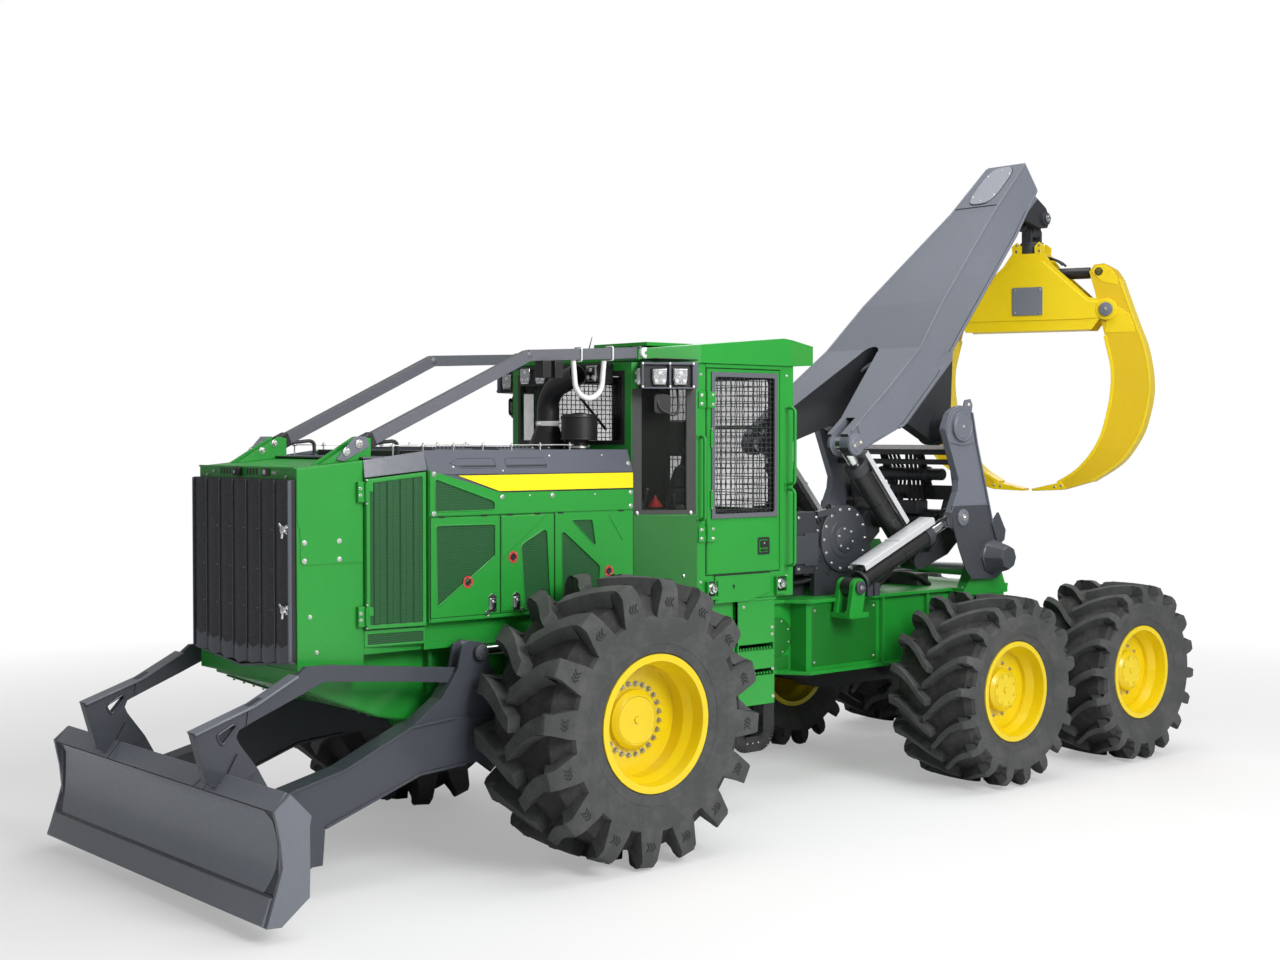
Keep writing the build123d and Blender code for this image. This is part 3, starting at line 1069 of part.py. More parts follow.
def grapple_body():
    """Two cheek plates joined by a box bottom, a top seat for the rotator and tong pins."""
    half = [(575, 3670), (640, 3760), (TONG_PIVOT[0] + 30, 3770), (TONG_PIVOT[0] + 80, 3847),
            (TONG_PIVOT[0] + 30, 3925), (549, 3960), (226, 4262), (150, 4372)]
    outline = half + [(-s, z) for s, z in reversed(half)]
    inner = BODY_HALF - BODY_PLATE
    parts = [grapple_plate(outline, (side * inner, side * BODY_HALF)) for side in (1, -1)]
    parts.append(grapple_plate([(-540, 3670), (540, 3670), (480, 3700), (-480, 3700)],
                               (-inner - 1, inner + 1)))
    parts.append(grapple_plate([(-150, 4330), (150, 4330), (150, ROTATOR_Z[0] - SIDE_FIT),
                                (-150, ROTATOR_Z[0] - SIDE_FIT)], (-inner - 1, inner + 1)))
    ears = [(60, 4330), (140, 4330), (150, 4440), (100, 4478), (60, 4440)]
    for side in (1, -1):
        for flip in (1, -1):
            parts.append(grapple_plate([(flip * s, z) for s, z in ears],
                                       (side * (inner + 4), side * BODY_HALF)))
        parts.append(fore_bar((side * TONG_PIVOT[0], TONG_PIVOT[1]), (-BODY_HALF - 25, BODY_HALF + 25), 45))
    return in_grapple(fuse(*parts))


def tong(side):
    """One curved tong with its pivot tube and lever."""
    outer = [(40, 2215), (311, 2227), (575, 2306), (780, 2440), (889, 2552), (1000, 2740),
             (1055, 2925), (1085, 3110), (1075, 3300), (1030, 3520), (960, 3710), (870, 3960),
             (807, 4142), (760, 4210), (677, 4260), (590, 4250), (547, 4190)]
    inner = [(600, 4000), (630, 3860), (655, 3740), (681, 3641), (718, 3490), (750, 3350),
             (757, 3209), (745, 3060), (721, 2928), (665, 2720), (574, 2551), (440, 2400),
             (270, 2290), (40, 2235)]
    outline = [(side * s, z) for s, z in outer + inner]
    blade_part = grapple_plate(outline, (-TONG_HALF, TONG_HALF))
    hub = fore_bar((side * TONG_PIVOT[0], TONG_PIVOT[1]), (-TONG_HALF, TONG_HALF), 88)
    slot_half = TONG_EYE_HALF + SIDE_FIT
    slot = block((GRAPPLE_X - slot_half, GRAPPLE_X + slot_half), (side * 480, side * 900),
                 (4080, 4300))
    return in_grapple(cut(fuse(blade_part, hub), slot,
                          fore_bar((side * TONG_PIVOT[0], TONG_PIVOT[1]), (-200, 200), 45 + PIN_FIT)))


def tong_cylinder():
    """Cylinder across the grapple body from lever to lever."""
    s, z = TONG_LEVER
    half = TONG_EYE_HALF
    mouth = s - TONG_BARREL
    barrel = fuse(rod((GRAPPLE_X, s - BARREL_START, z), (GRAPPLE_X, mouth, z), 52),
                  rod((GRAPPLE_X, s, z), (GRAPPLE_X, s - BARREL_START - 5, z), half - 2),
                  fore_bar((s, z), (-half, half), 52))
    barrel = cut(barrel, rod((GRAPPLE_X, s - BARREL_START - 15, z), (GRAPPLE_X, mouth - 1, z), 28 + FIT))
    rod_piece = fuse(rod((GRAPPLE_X, s - TONG_INNER, z), (GRAPPLE_X, -s, z), 28),
                     fore_bar((-s, z), (-half, half), 50))
    return {"tong_barrel": in_grapple(barrel), "tong_rod": in_grapple(rod_piece)}


# ---- the whole machine ------------------------------------------------------------
def nodes():
    whole = {
        "front_frame": front_frame(), "front_axle": front_axle(), "drive_line": drive_line(),
        "hood_shell": hood_shell(), "engine_panels": engine_panels(), "grille": grille(),
        "guard_bars": guard_bars(), "exhaust_stack": exhaust_stack(), "cab_shell": cab_shell(),
        "cab_glass": cab_glass(), "cab_roof": cab_roof(), "cab_furniture": cab_furniture(),
        "operator_seat": operator_seat(), "work_lights": work_lights(), "cab_steps": cab_steps(),
        "blade": blade(), "rear_frame": rear_frame(), "arch_mounts": arch_mounts(),
        "rear_axle": rear_axle(), "arch": arch(), "boom": boom(), "head_pin": head_pin(),
        "crosshead": crosshead(), "rotator": rotator(),
        "grapple_body": grapple_body(), "tong_left": tong(1), "tong_right": tong(-1),
    }
    for name, piece in (("cab_door", cab_door()), ("radiator_door", radiator_door())):
        whole[name + "_left"] = piece
        whole[name + "_right"] = mirrored(piece)
    for made in (wheels(), blade_cylinders(), arch_cylinders(), boom_cylinders(),
                 steer_cylinders(), winch(), tong_cylinder()):
        whole.update(made)
    return whole


def origin_shift(whole):
    """How far everything moves along X to put the origin under the box's middle."""
    boxes = [shape.bounding_box() for shape in whole.values()]
    return -(min(box.min.X for box in boxes) + max(box.max.X for box in boxes)) / 2


def main():
    os.makedirs("parts", exist_ok=True)
    whole = nodes()
    shift = origin_shift(whole)
    for name, shape in whole.items():
        placed = Compound(children=[solid.moved(Location((shift, 0, 0)))
                                    for solid in shape.solids()])
        export_step(placed, "parts/" + name + ".step")
    print("nodes", len(whole), "shift", round(shift, 3))


if __name__ == "__main__":
    main()
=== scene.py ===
import bmesh
import bpy
import math
from mathutils import Matrix, Vector
from mathutils.geometry import tessellate_polygon


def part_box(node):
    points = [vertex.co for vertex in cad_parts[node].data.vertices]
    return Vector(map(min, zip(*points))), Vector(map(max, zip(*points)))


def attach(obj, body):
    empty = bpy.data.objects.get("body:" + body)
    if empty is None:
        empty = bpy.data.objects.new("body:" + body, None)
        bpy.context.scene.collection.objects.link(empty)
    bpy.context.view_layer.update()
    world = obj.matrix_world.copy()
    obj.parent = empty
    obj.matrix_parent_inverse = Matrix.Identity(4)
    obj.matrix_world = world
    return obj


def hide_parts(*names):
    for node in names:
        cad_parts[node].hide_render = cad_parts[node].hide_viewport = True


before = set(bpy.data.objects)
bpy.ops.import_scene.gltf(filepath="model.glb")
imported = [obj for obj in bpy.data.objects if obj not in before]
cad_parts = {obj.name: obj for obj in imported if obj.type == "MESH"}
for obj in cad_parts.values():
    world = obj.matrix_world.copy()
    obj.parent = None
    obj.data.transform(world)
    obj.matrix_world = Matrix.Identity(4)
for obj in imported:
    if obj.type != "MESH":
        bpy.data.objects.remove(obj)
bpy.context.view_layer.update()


# Lengths are in metres. Shapes are drawn with x = 0 at the front axle, and every finished
# mesh is moved by FRONT_AXLE_X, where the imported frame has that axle.
def middle(node):
    low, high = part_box(node)
    return (low + high) / 2


FRONT_AXLE_X = middle("tyre_front_left").x
FORWARD, OUTWARD, UP = (1, 0, 0), (0, 1, 0), (0, 0, 1)    # outward on the left side
GRAPPLE_X, GRAPPLE_TURN = -6.000, math.radians(22)
QUARTER_OUT = (0.4811, 0.8767, 0)    # outward from the cab's slanted quarter wall


# ---- materials --------------------------------------------------------------------
class Nodes:
    """Short hand for building one material's node tree."""

    def __init__(self, name):
        self.material = bpy.data.materials.new(name)
        self.material.use_nodes = True
        self.tree = self.material.node_tree
        self.shader = self.tree.nodes["Principled BSDF"]
        self.place = self.add("ShaderNodeTexCoord").outputs["Object"]

    def add(self, kind, **settings):
        node = self.tree.nodes.new(kind)
        for key, value in settings.items():
            setattr(node, key, value)
        return node

    def feed(self, socket, value):
        if isinstance(value, bpy.types.NodeSocket):
            self.tree.links.new(value, socket)
        else:
            socket.default_value = value

    def set(self, **numbers):
        """Plain numbers for the shader's inputs, with _ for the spaces in their names."""
        for key, number in numbers.items():
            self.shader.inputs[key.replace("_", " ")].default_value = number

    def math(self, operation, a, b=0.0):
        node = self.add("ShaderNodeMath", operation=operation)
        for socket, value in zip(node.inputs, (a, b, 0.0)):
            self.feed(socket, value)
        return node.outputs[0]

    def length(self, a, b):
        return self.math("SQRT", self.math("ADD", self.math("MULTIPLY", a, a), self.math("MULTIPLY", b, b)))

    def every(self, first, *others):
        """1 where all the tests are 1."""
        for other in others:
            first = self.math("MULTIPLY", first, other)
        return first

    def noise(self, scale, detail=3.0, rough=0.5):
        node = self.add("ShaderNodeTexNoise")
        self.feed(node.inputs["Vector"], self.place)
        for key, number in (("Scale", scale), ("Detail", detail), ("Roughness", rough)):
            node.inputs[key].default_value = number
        return node.outputs["Fac"]

    def spread(self, value, low, high, to_low=0.0, to_high=1.0):
        node = self.add("ShaderNodeMapRange")
        for key, number in zip(("Value", "From Min", "From Max", "To Min", "To Max"),
                               (value, low, high, to_low, to_high)):
            self.feed(node.inputs[key], number)
        return node.outputs[0]

    def mix(self, fac, a, b):
        node = self.add("ShaderNodeMix", data_type="RGBA")
        self.feed(node.inputs["Factor"], fac)
        for socket, value in ((node.inputs[6], a), (node.inputs[7], b)):
            self.feed(socket, (*value, 1.0) if isinstance(value, tuple) else value)
        return node.outputs[2]

    def axes(self, vector=None):
        """The X, Y and Z of a vector, or of the place on the piece."""
        node = self.add("ShaderNodeSeparateXYZ")
        self.feed(node.inputs[0], vector or self.place)
        return node.outputs

    def bump(self, height, distance, strength=1.0, normal=None):
        node = self.add("ShaderNodeBump")
        node.inputs["Distance"].default_value = distance
        node.inputs["Strength"].default_value = strength
        self.feed(node.inputs["Height"], height)
        if normal is not None:
            self.feed(node.inputs["Normal"], normal)
        return node.outputs[0]

    def soft_edges(self, radius=0.006, normal=None):
        """Normals that look rounded along the edges."""
        bevel = self.add("ShaderNodeBevel", samples=4)
        bevel.inputs["Radius"].default_value = radius
        if normal is not None:
            self.feed(bevel.inputs["Normal"], normal)
        return bevel.outputs[0]

    def finished(self, colour, normal):
        self.feed(self.shader.inputs["Base Color"], colour)
        self.feed(self.shader.inputs["Normal"], normal)
        return self.material


def shade(colour, factor):
    return tuple(min(1.0, part * factor) for part in colour)


def coloured(name, colour, rough, metal=0.0, coat=0.0, vary=0.08):
    """Nodes with a colour in broad and fine variation, fine specks and a varied gloss."""
    nodes = Nodes(name)
    broad = nodes.spread(nodes.noise(0.9, 4.0), 0.3, 0.7)
    nodes.fine = nodes.spread(nodes.noise(35.0, 5.0, rough=0.65), 0.3, 0.7)
    tinted = nodes.mix(broad, shade(colour, 0.93), shade(colour, 1.06))
    nodes.colour = nodes.mix(nodes.math("MULTIPLY", nodes.fine, 0.25), tinted, shade(colour, 0.86))
    nodes.feed(nodes.shader.inputs["Roughness"],
               nodes.spread(nodes.fine, 0.0, 1.0, max(0.02, rough - vary), rough + vary))
    nodes.set(Metallic=metal, Coat_Weight=coat, Coat_Roughness=0.12)
    return nodes


def paint(name, colour, rough=0.42, edge=0.006, chip=(0.30, 0.30, 0.29)):
    """Sprayed enamel on steel: slight orange peel, softened edges, a little wear on them."""
    nodes = coloured(name, colour, rough, coat=0.25)
    peel = nodes.bump(nodes.noise(220.0, 2.0), 0.0006, 0.35)
    if not edge:
        return nodes.finished(nodes.colour, peel)
    soft = nodes.soft_edges(edge, peel)
    dot = nodes.add("ShaderNodeVectorMath", operation="DOT_PRODUCT")
    nodes.feed(dot.inputs[0], soft)
    nodes.feed(dot.inputs[1], nodes.add("ShaderNodeNewGeometry").outputs["Normal"])
    away = nodes.spread(dot.outputs["Value"], 0.93, 0.70)
    spots = nodes.spread(nodes.noise(14.0, 6.0, rough=0.7), 0.52, 0.66)
    worn = nodes.math("MULTIPLY", nodes.math("MULTIPLY", away, spots), 0.5)
    return nodes.finished(nodes.mix(worn, nodes.colour, chip), soft)


def metal(name, colour, rough, metallic=1.0, brushed=90.0):
    """Bare or plated metal with fine drawn lines or cast grain."""
    nodes = coloured(name, colour, rough, metallic, vary=0.05)
    return nodes.finished(nodes.colour, nodes.bump(nodes.noise(brushed, 5.0), 0.0008, 0.4))


def plastic(name, colour, rough=0.6, grain=300.0):
    """A moulding, hose or coating with a fine even grain."""
    nodes = coloured(name, colour, rough)
    return nodes.finished(nodes.colour, nodes.bump(nodes.noise(grain, 3.0), 0.0006, 0.5))


def rubber(name, colour):
    """Tyre rubber: matt, dusty in patches, with a grain and broad unevenness."""
    nodes = coloured(name, colour, 0.78)
    dust = nodes.math("MULTIPLY", nodes.spread(nodes.noise(5.0, 6.0, rough=0.7), 0.45, 0.75), 0.35)
    grain = nodes.bump(nodes.noise(120.0, 5.0, rough=0.7), 0.0012, 0.6)
    return nodes.finished(nodes.mix(dust, nodes.colour, (0.16, 0.155, 0.145)),
                          nodes.bump(nodes.noise(9.0, 4.0), 0.006, 0.3, grain))


def perforated(name, colour, hole, pitch, across):
    """Punched sheet: staggered round holes in the plane across one axis."""
    nodes = coloured(name, colour, 0.5)
    axes = nodes.axes()
    u = nodes.math("MULTIPLY", axes["Y" if across == "x" else "X"], 1 / pitch)
    v = nodes.math("MULTIPLY", axes["Z"], 1 / (pitch * 0.87))
    row = nodes.math("FLOOR", v)
    u = nodes.math("ADD", u, nodes.math("MULTIPLY", nodes.math("MODULO", row, 2.0), 0.5))
    away = nodes.length(*(nodes.math("SUBTRACT", nodes.math("FRACT", at), 0.5) for at in (u, v)))
    open_part = nodes.spread(away, 0.36, 0.30)
    return nodes.finished(nodes.mix(open_part, nodes.colour, hole),
                          nodes.bump(nodes.math("SUBTRACT", 1.0, open_part), 0.003, 0.7))


def glass(name, colour, alpha):
    """Thin tinted pane, with a faint film of dust that catches the light."""
    nodes = Nodes(name)
    film = nodes.spread(nodes.noise(2.2, 5.0, rough=0.6), 0.35, 0.75, alpha - 0.08, alpha + 0.08)
    nodes.feed(nodes.shader.inputs["Base Color"],
               nodes.mix(nodes.noise(1.3, 2.0), shade(colour, 0.8), shade(colour, 1.2)))
    nodes.feed(nodes.shader.inputs["Alpha"], film)
    nodes.set(Roughness=0.05, IOR=1.45)
    nodes.material.surface_render_method = "BLENDED"
    return nodes.material


def cloth(name, colour):
    """Woven seat fabric: crossing threads with a soft sheen."""
    nodes = coloured(name, colour, 0.85)
    weave = []
    for axis in ("X", "Z"):
        wave = nodes.add("ShaderNodeTexWave", bands_direction=axis)
        nodes.feed(wave.inputs["Vector"], nodes.place)
        wave.inputs["Scale"].default_value = 160.0
        weave.append(wave.outputs["Fac"])
    threads = nodes.math("MAXIMUM", *weave)
    nodes.set(Sheen_Weight=0.3)
    return nodes.finished(nodes.mix(threads, shade(colour, 0.6), nodes.colour),
                          nodes.bump(threads, 0.0015, 0.6))


def zoned(name, colour, other, test, rough=0.42, coat=0.2, vary=(0.94, 1.04)):
    """Paint with a second colour where the test of (nodes, x, y, z) from the front axle is 1."""
    nodes = coloured(name, colour, rough, coat=coat)
    second = nodes.mix(nodes.fine, *(shade(other, factor) for factor in vary))
    axes = nodes.axes()
    inside = test(nodes, nodes.math("SUBTRACT", axes["X"], FRONT_AXLE_X), axes["Y"], axes["Z"])
    return nodes.finished(nodes.mix(inside, nodes.colour, second), nodes.soft_edges())


def beyond_y(distance, way="GREATER_THAN"):
    """A test that is 1 further out, or less far out, than a distance from the middle plane."""
    return lambda nodes, x, y, z: nodes.math(way, nodes.math("ABSOLUTE", y), distance)


def boom_shade(nodes, x, y, z):
    """1 where painted shade goes: behind the boom's rear edge, on the inner walls of its opening and on
    faces turned down at its lower end.
    """
    behind = nodes.math("LESS_THAN", nodes.math("ADD", nodes.math("MULTIPLY", x, 0.9214), z), -0.5675)
    normal = nodes.axes(nodes.add("ShaderNodeTexCoord").outputs["Normal"])
    inward = nodes.math("LESS_THAN", nodes.math("MULTIPLY", nodes.math("SIGN", y), normal["Y"]), -0.25)
    # faces turned down at the boom's lower end: painted shade under it
    tip = nodes.every(nodes.math("LESS_THAN", normal["Z"], -0.30), nodes.math("GREATER_THAN", x, -4.000))
    return nodes.math("MAXIMUM", behind, nodes.math("MAXIMUM", inward, tip))


def inside_cab(nodes, x, y, z):
    """1 on every face between the cab's walls, above its floor."""
    y = nodes.math("ABSOLUTE", y)
    slant = nodes.math("ADD", nodes.math("MULTIPLY", x, QUARTER_OUT[0]),
                       nodes.math("MULTIPLY", y, QUARTER_OUT[1]))
    return nodes.every(nodes.math("LESS_THAN", y, 0.857), nodes.math("LESS_THAN", x, -0.625),
                       nodes.math("GREATER_THAN", x, -1.890), nodes.math("LESS_THAN", slant, 0.266),
                       nodes.math("GREATER_THAN", z, 1.605))


GREEN = (0.013, 0.300, 0.030)
STEEL_GREY = (0.150, 0.162, 0.195)
BOOM_GREY = (0.165, 0.178, 0.214)
OPENING_SHADE = (0.022, 0.024, 0.028)

LOOKS = {
    "green": paint("green_enamel", GREEN),
    # green darkened as painted shade, for strips and covers under and beside the frames and the cab's lower
    # quarter panel
    "shade_painted_green": paint("shaded_green_enamel", (0.010, 0.170, 0.018)),
    "band": paint("band_grey_enamel", (0.090, 0.098, 0.124)),
    "grey": paint("grey_enamel", STEEL_GREY),
    "boom": paint("boom_grey_enamel", BOOM_GREY, edge=0.010),
    # boom enamel with OPENING_SHADE as painted shade in and behind the opening and under the lower end
    "boom_shell": zoned("boom_enamel_and_painted_shade", BOOM_GREY, OPENING_SHADE, boom_shade),
    # arch enamel with OPENING_SHADE as painted shade on the faces between its legs
    "arch_shell": zoned("arch_enamel_and_painted_shade", STEEL_GREY, OPENING_SHADE, beyond_y(0.6675, "LESS_THAN")),
    "dark": paint("dark_grey_enamel", (0.030, 0.033, 0.040), rough=0.5),
    "blade": zoned("blade_grey_enamel", (0.046, 0.052, 0.066), (0.150, 0.163, 0.190), beyond_y(1.440),
                   rough=0.5),
    "blade_face": paint("worn_wear_plate", (0.170, 0.190, 0.222)),
    "blade_edge": paint("cutting_edge_grey", (0.170, 0.185, 0.212), rough=0.45),
    "winch": paint("winch_grey_enamel", (0.045, 0.050, 0.060), rough=0.5),
    "black": paint("black_enamel", (0.012, 0.012, 0.013), rough=0.45, chip=(0.08, 0.08, 0.08)),
    "rim": paint("rim_yellow_enamel", (0.790, 0.590, 0.001), rough=0.38),
    "grapple": paint("grapple_yellow_enamel", (0.830, 0.610, 0.001), rough=0.45, edge=0.003,
                     chip=(0.62, 0.45, 0.01)),
    # a darker copy of the grapple yellow: painted shade on the tongs
    "tong": paint("tong_yellow_painted_shade", (0.700, 0.470, 0.001), rough=0.5, edge=0),
    "stripe": paint("stripe_yellow_enamel", (0.95, 0.78, 0.000), edge=0.002),
    "guard": zoned("guard_bar_enamel", (0.120, 0.127, 0.145), GREEN,
                   lambda nodes, x, y, z: nodes.math("GREATER_THAN", x, 1.430)),
    "guard_sheet": paint("silver_guard_sheet", (0.62, 0.63, 0.65), rough=0.3, edge=0),
    "pale": paint("pale_grey_cover", (0.300, 0.318, 0.360)),
    "chrome": metal("chrome_plate", (0.78, 0.79, 0.80), 0.14, brushed=400.0),
    "zinc": metal("zinc_plated_steel", (0.80, 0.80, 0.78), 0.32),
    "cast": metal("cast_iron", (0.055, 0.058, 0.065), 0.6, metallic=0.25, brushed=60.0),
    "bright": metal("bare_worn_steel", (0.48, 0.49, 0.50), 0.36, brushed=30.0),
    "silver": metal("lamp_silver", (0.62, 0.63, 0.64), 0.25),
    "hose": plastic("black_hose_rubber", (0.014, 0.014, 0.015), 0.5, grain=260.0),
    "plastic": plastic("cab_plastic", (0.050, 0.052, 0.050), 0.65),
    "white": plastic("white_coating", (0.85, 0.85, 0.84), 0.4, grain=90.0),
    "red": plastic("red_moulding", (0.62, 0.035, 0.03), 0.45),
    "lens": plastic("lamp_lens", (0.72, 0.74, 0.76), 0.15, grain=60.0),
    "tyre": rubber("tyre_rubber", (0.050, 0.053, 0.054)),
    # darker rubber for the tread between the lugs: painted shade in the grooves
    "tyre_groove": rubber("tyre_rubber_painted_groove_shade", (0.020, 0.020, 0.020)),
    "green_mesh": perforated("green_punched_sheet", (0.010, 0.125, 0.028), (0.003, 0.016, 0.005),
                             0.013, "y"),
    "black_mesh": perforated("black_punched_sheet", (0.042, 0.044, 0.050), (0.006, 0.006, 0.007),
                             0.016, "x"),
    "grey_mesh": perforated("grey_punched_sheet", (0.036, 0.039, 0.048), (0.008, 0.009, 0.012),
                            0.012, "y"),
    "glass": glass("tinted_glass", (0.030, 0.034, 0.030), 0.26),
    "pane": glass("door_pane", (0.20, 0.22, 0.21), 0.06),
    "guard_plain": paint("frame_grey_enamel", (0.115, 0.120, 0.140)),
    "cab_green": zoned("cab_green_and_lining", GREEN, (0.085, 0.085, 0.080), inside_cab, coat=0.25,
                       vary=(0.8, 1.2)),
    "fabric": cloth("seat_fabric", (0.045, 0.047, 0.050)),
}


# ---- building small shapes --------------------------------------------------------
LEAST_RADIUS = 0.0004    # a turned shape never closes to a point


def basis(axis, up=UP):
    """Two directions at right angles to an axis, the second one near up."""
    axis = Vector(axis).normalized()
    up = Vector(up)
    if abs(axis.dot(up.normalized())) > 0.97:
        up = Vector(FORWARD)
    side = up.cross(axis).normalized()
    return side, axis.cross(side).normalized()


def spokes(side, top, radius, count):
    """Steps from the middle of a circle to its points, in the plane of two directions."""
    return [(side * math.cos(t) + top * math.sin(t)) * radius
            for t in (2 * math.pi * k / count for k in range(count))]


def circle(radius, at=(0, 0), count=20, start=0.0):
    """The points of a flat circle, the first at an angle in degrees."""
    return [(at[0] + radius * math.cos(t), at[1] + radius * math.sin(t))
            for t in (math.radians(start) + 2 * math.pi * k / count for k in range(count))]


def bend(before, corner, after, radius, share, steps):
    """Points of the curve that takes off one corner."""
    back, on = before - corner, after - corner
    reach = min(radius, back.length * share, on.length * share)
    a, b = corner + back.normalized() * reach, corner + on.normalized() * reach
    return [a * (1 - t) ** 2 + corner * (2 * t * (1 - t)) + b * t * t
            for t in (k / steps for k in range(steps + 1))]


def rounded(points, radius, steps=5):
    """A path with its corners rounded to about the radius."""
    points = [Vector(p) for p in points]
    path = [points[0]]
    for corner in zip(points, points[1:], points[2:]):
        path += bend(*corner, radius, 0.48, steps)
    return path + [points[-1]]


def eased(outline, radius=0.014, steps=3):
    """A closed outline with its corners rounded."""
    points = [Vector(p) for p in outline]
    corners = zip(points[-1:] + points, points, points[1:] + points[:1])
    return [tuple(p) for corner in corners for p in bend(*corner, radius, 0.45, steps)]


def rectangle(u, v, radius=0.0):
    """A rectangle's corners, eased to a radius if one is given."""
    corners = [(u[0], v[0]), (u[1], v[0]), (u[1], v[1]), (u[0], v[1])]
    return eased(corners, radius) if radius else corners


def at_side(points, y):
    """A line or outline of (x, z) points, set at one y."""
    return [(x, y, z) for x, z in points]


class Bits:
    """Collects shapes, drawn from the front axle, into one mesh."""

    def __init__(self):
        self.bm = bmesh.new()

    def skin(self, rings, caps=True):
        """Joins rings that have the same number of points, and closes the ends."""
        rows = [[self.bm.verts.new(p) for p in ring] for ring in rings]
        count = len(rows[0])
        for a, b in zip(rows, rows[1:]):
            for i in range(count):
                self.bm.faces.new((a[i], a[(i + 1) % count], b[(i + 1) % count], b[i]))
        if caps:
            self.bm.faces.new(rows[0][::-1])
            self.bm.faces.new(rows[-1])
        return self

    def box(self, x, y, z):
        return self.skin([[(a, b, c) for a, b in rectangle(x, y)] for c in z])

    def plate(self, outline, span, across="y", holes=()):
        """A plate with holes. The outline is (x, z) across y, (y, z) across x, (x, y) across z,
        or goes through a function of (u, v, depth)."""
        loops = [[Vector((u, v, 0)) for u, v in loop] for loop in (outline, *holes)]

        def put(p, depth):
            if callable(across):
                return across(p.x, p.y, depth)
            return {"x": (depth, p.x, p.y), "y": (p.x, depth, p.y), "z": (p.x, p.y, depth)}[across]
        triangles = tessellate_polygon(loops)
        flat = [p for loop in loops for p in loop]
        layers = [[self.bm.verts.new(put(p, depth)) for p in flat] for depth in span]
        for layer in layers:
            for triangle in triangles:
                self.bm.faces.new([layer[i] for i in triangle])
        start = 0
        for loop in loops:
            for i in range(len(loop)):
                a, b = start + i, start + (i + 1) % len(loop)
                self.bm.faces.new((layers[0][a], layers[0][b], layers[1][b], layers[1][a]))
            start += len(loop)
        return self

    def bar(self, start, end, width, height, up=UP):
        """A square bar from point to point."""
        start, end = Vector(start), Vector(end)
        side, top = basis(end - start, up)
        corners = [side * (a * width / 2) + top * (b * height / 2)
                   for a, b in ((-1, -1), (1, -1), (1, 1), (-1, 1))]
        return self.skin([[start + c for c in corners], [end + c for c in corners]])

    def bars(self, points, width, height, up=UP):
        """A bar along each step of a line."""
        for a, b in zip(points, points[1:]):
            self.bar(a, b, width, height, up)
        return self

    def tube(self, path, radius, sides=10):
        """A round bar along a path of points; the radius may change along it."""
        path = [Vector(p) for p in path]
        rings, side = [], None
        for i, point in enumerate(path):
            last = path[max(i - 1, 0)]
            after = path[min(i + 1, len(path) - 1)]
            axis = (after - last).normalized()
            if side is None:
                side = basis(axis)[0]
            side = (side - axis * side.dot(axis)).normalized()
            size = radius(i / (len(path) - 1)) if callable(radius) else radius
            rings.append([point + spoke for spoke in spokes(side, axis.cross(side), size, sides)])
        return self.skin(rings)

    def turned(self, at, axis, outline, sides=24, ring=False):
        """Revolves (distance, radius) points about an axis; a ring closes on its first point."""
        at, axis = Vector(at), Vector(axis).normalized()
        side, top = basis(axis)
        if ring:
            outline = list(outline) + [outline[0]]
        self.skin([[at + axis * d + spoke for spoke in spokes(side, top, max(r, LEAST_RADIUS), sides)]
                   for d, r in outline], caps=not ring)
        if ring:
            verts = list(self.bm.verts)
            bmesh.ops.remove_doubles(self.bm, verts=verts[-sides * len(outline):], dist=1e-6)
        return self

    def disc(self, at, axis, radius, depth, sides=24):
        chamfer = min(radius, depth) * 0.2
        return self.turned(at, axis, [(0, radius), (depth - chamfer, radius), (depth, radius - chamfer)],
                           sides)

    def bolt(self, at, axis=OUTWARD, size=0.016, head=None):
        """A washer with a hexagon head, standing on a surface."""
        thick = head or size * 0.75
        axis = Vector(axis).normalized()
        self.disc(at, axis, size, size * 0.18, 16)
        return self.turned(Vector(at) + axis * size * 0.18, axis,
                           [(0, size * 0.74), (thick * 0.8, size * 0.74), (thick, size * 0.60)], 6)

    def bolts(self, places, y, size=0.016, head=None):
        """Bolts at (x, z) places on a side face at one y."""
        for x, z in places:
            self.bolt((x, y, z), size=size, head=head)
        return self

    def button(self, at, axis=OUTWARD, size=0.012):
        """A round-headed screw."""
        return self.turned(at, axis, [(0, size), (size * 0.35, size * 0.94), (size * 0.62, size * 0.62),
                                      (size * 0.72, 0)], 12)

    def hoop(self, at, normal, radius, thick, steps=24):
        """A round bar bent to a circle about a point."""
        side, top = basis(normal)
        angles = [math.radians(360 * i / steps) for i in range(steps + 1)]
        return self.tube([Vector(at) + (side * math.cos(a) + top * math.sin(a)) * radius for a in angles],
                         thick, 8)

    def turn_grapple(self):
        """Turns everything drawn so far as the grapple hangs."""
        bmesh.ops.rotate(self.bm, verts=self.bm.verts, cent=(GRAPPLE_X, 0, 0),
                         matrix=Matrix.Rotation(GRAPPLE_TURN, 3, "Z"))
        return self

    def mirror(self):
        """Adds the same shapes on the other side of the machine."""
        made = bmesh.ops.duplicate(self.bm, geom=self.bm.verts[:] + self.bm.edges[:] + self.bm.faces[:])
        for item in made["geom"]:
            if isinstance(item, bmesh.types.BMVert):
                item.co.y = -item.co.y
        return self

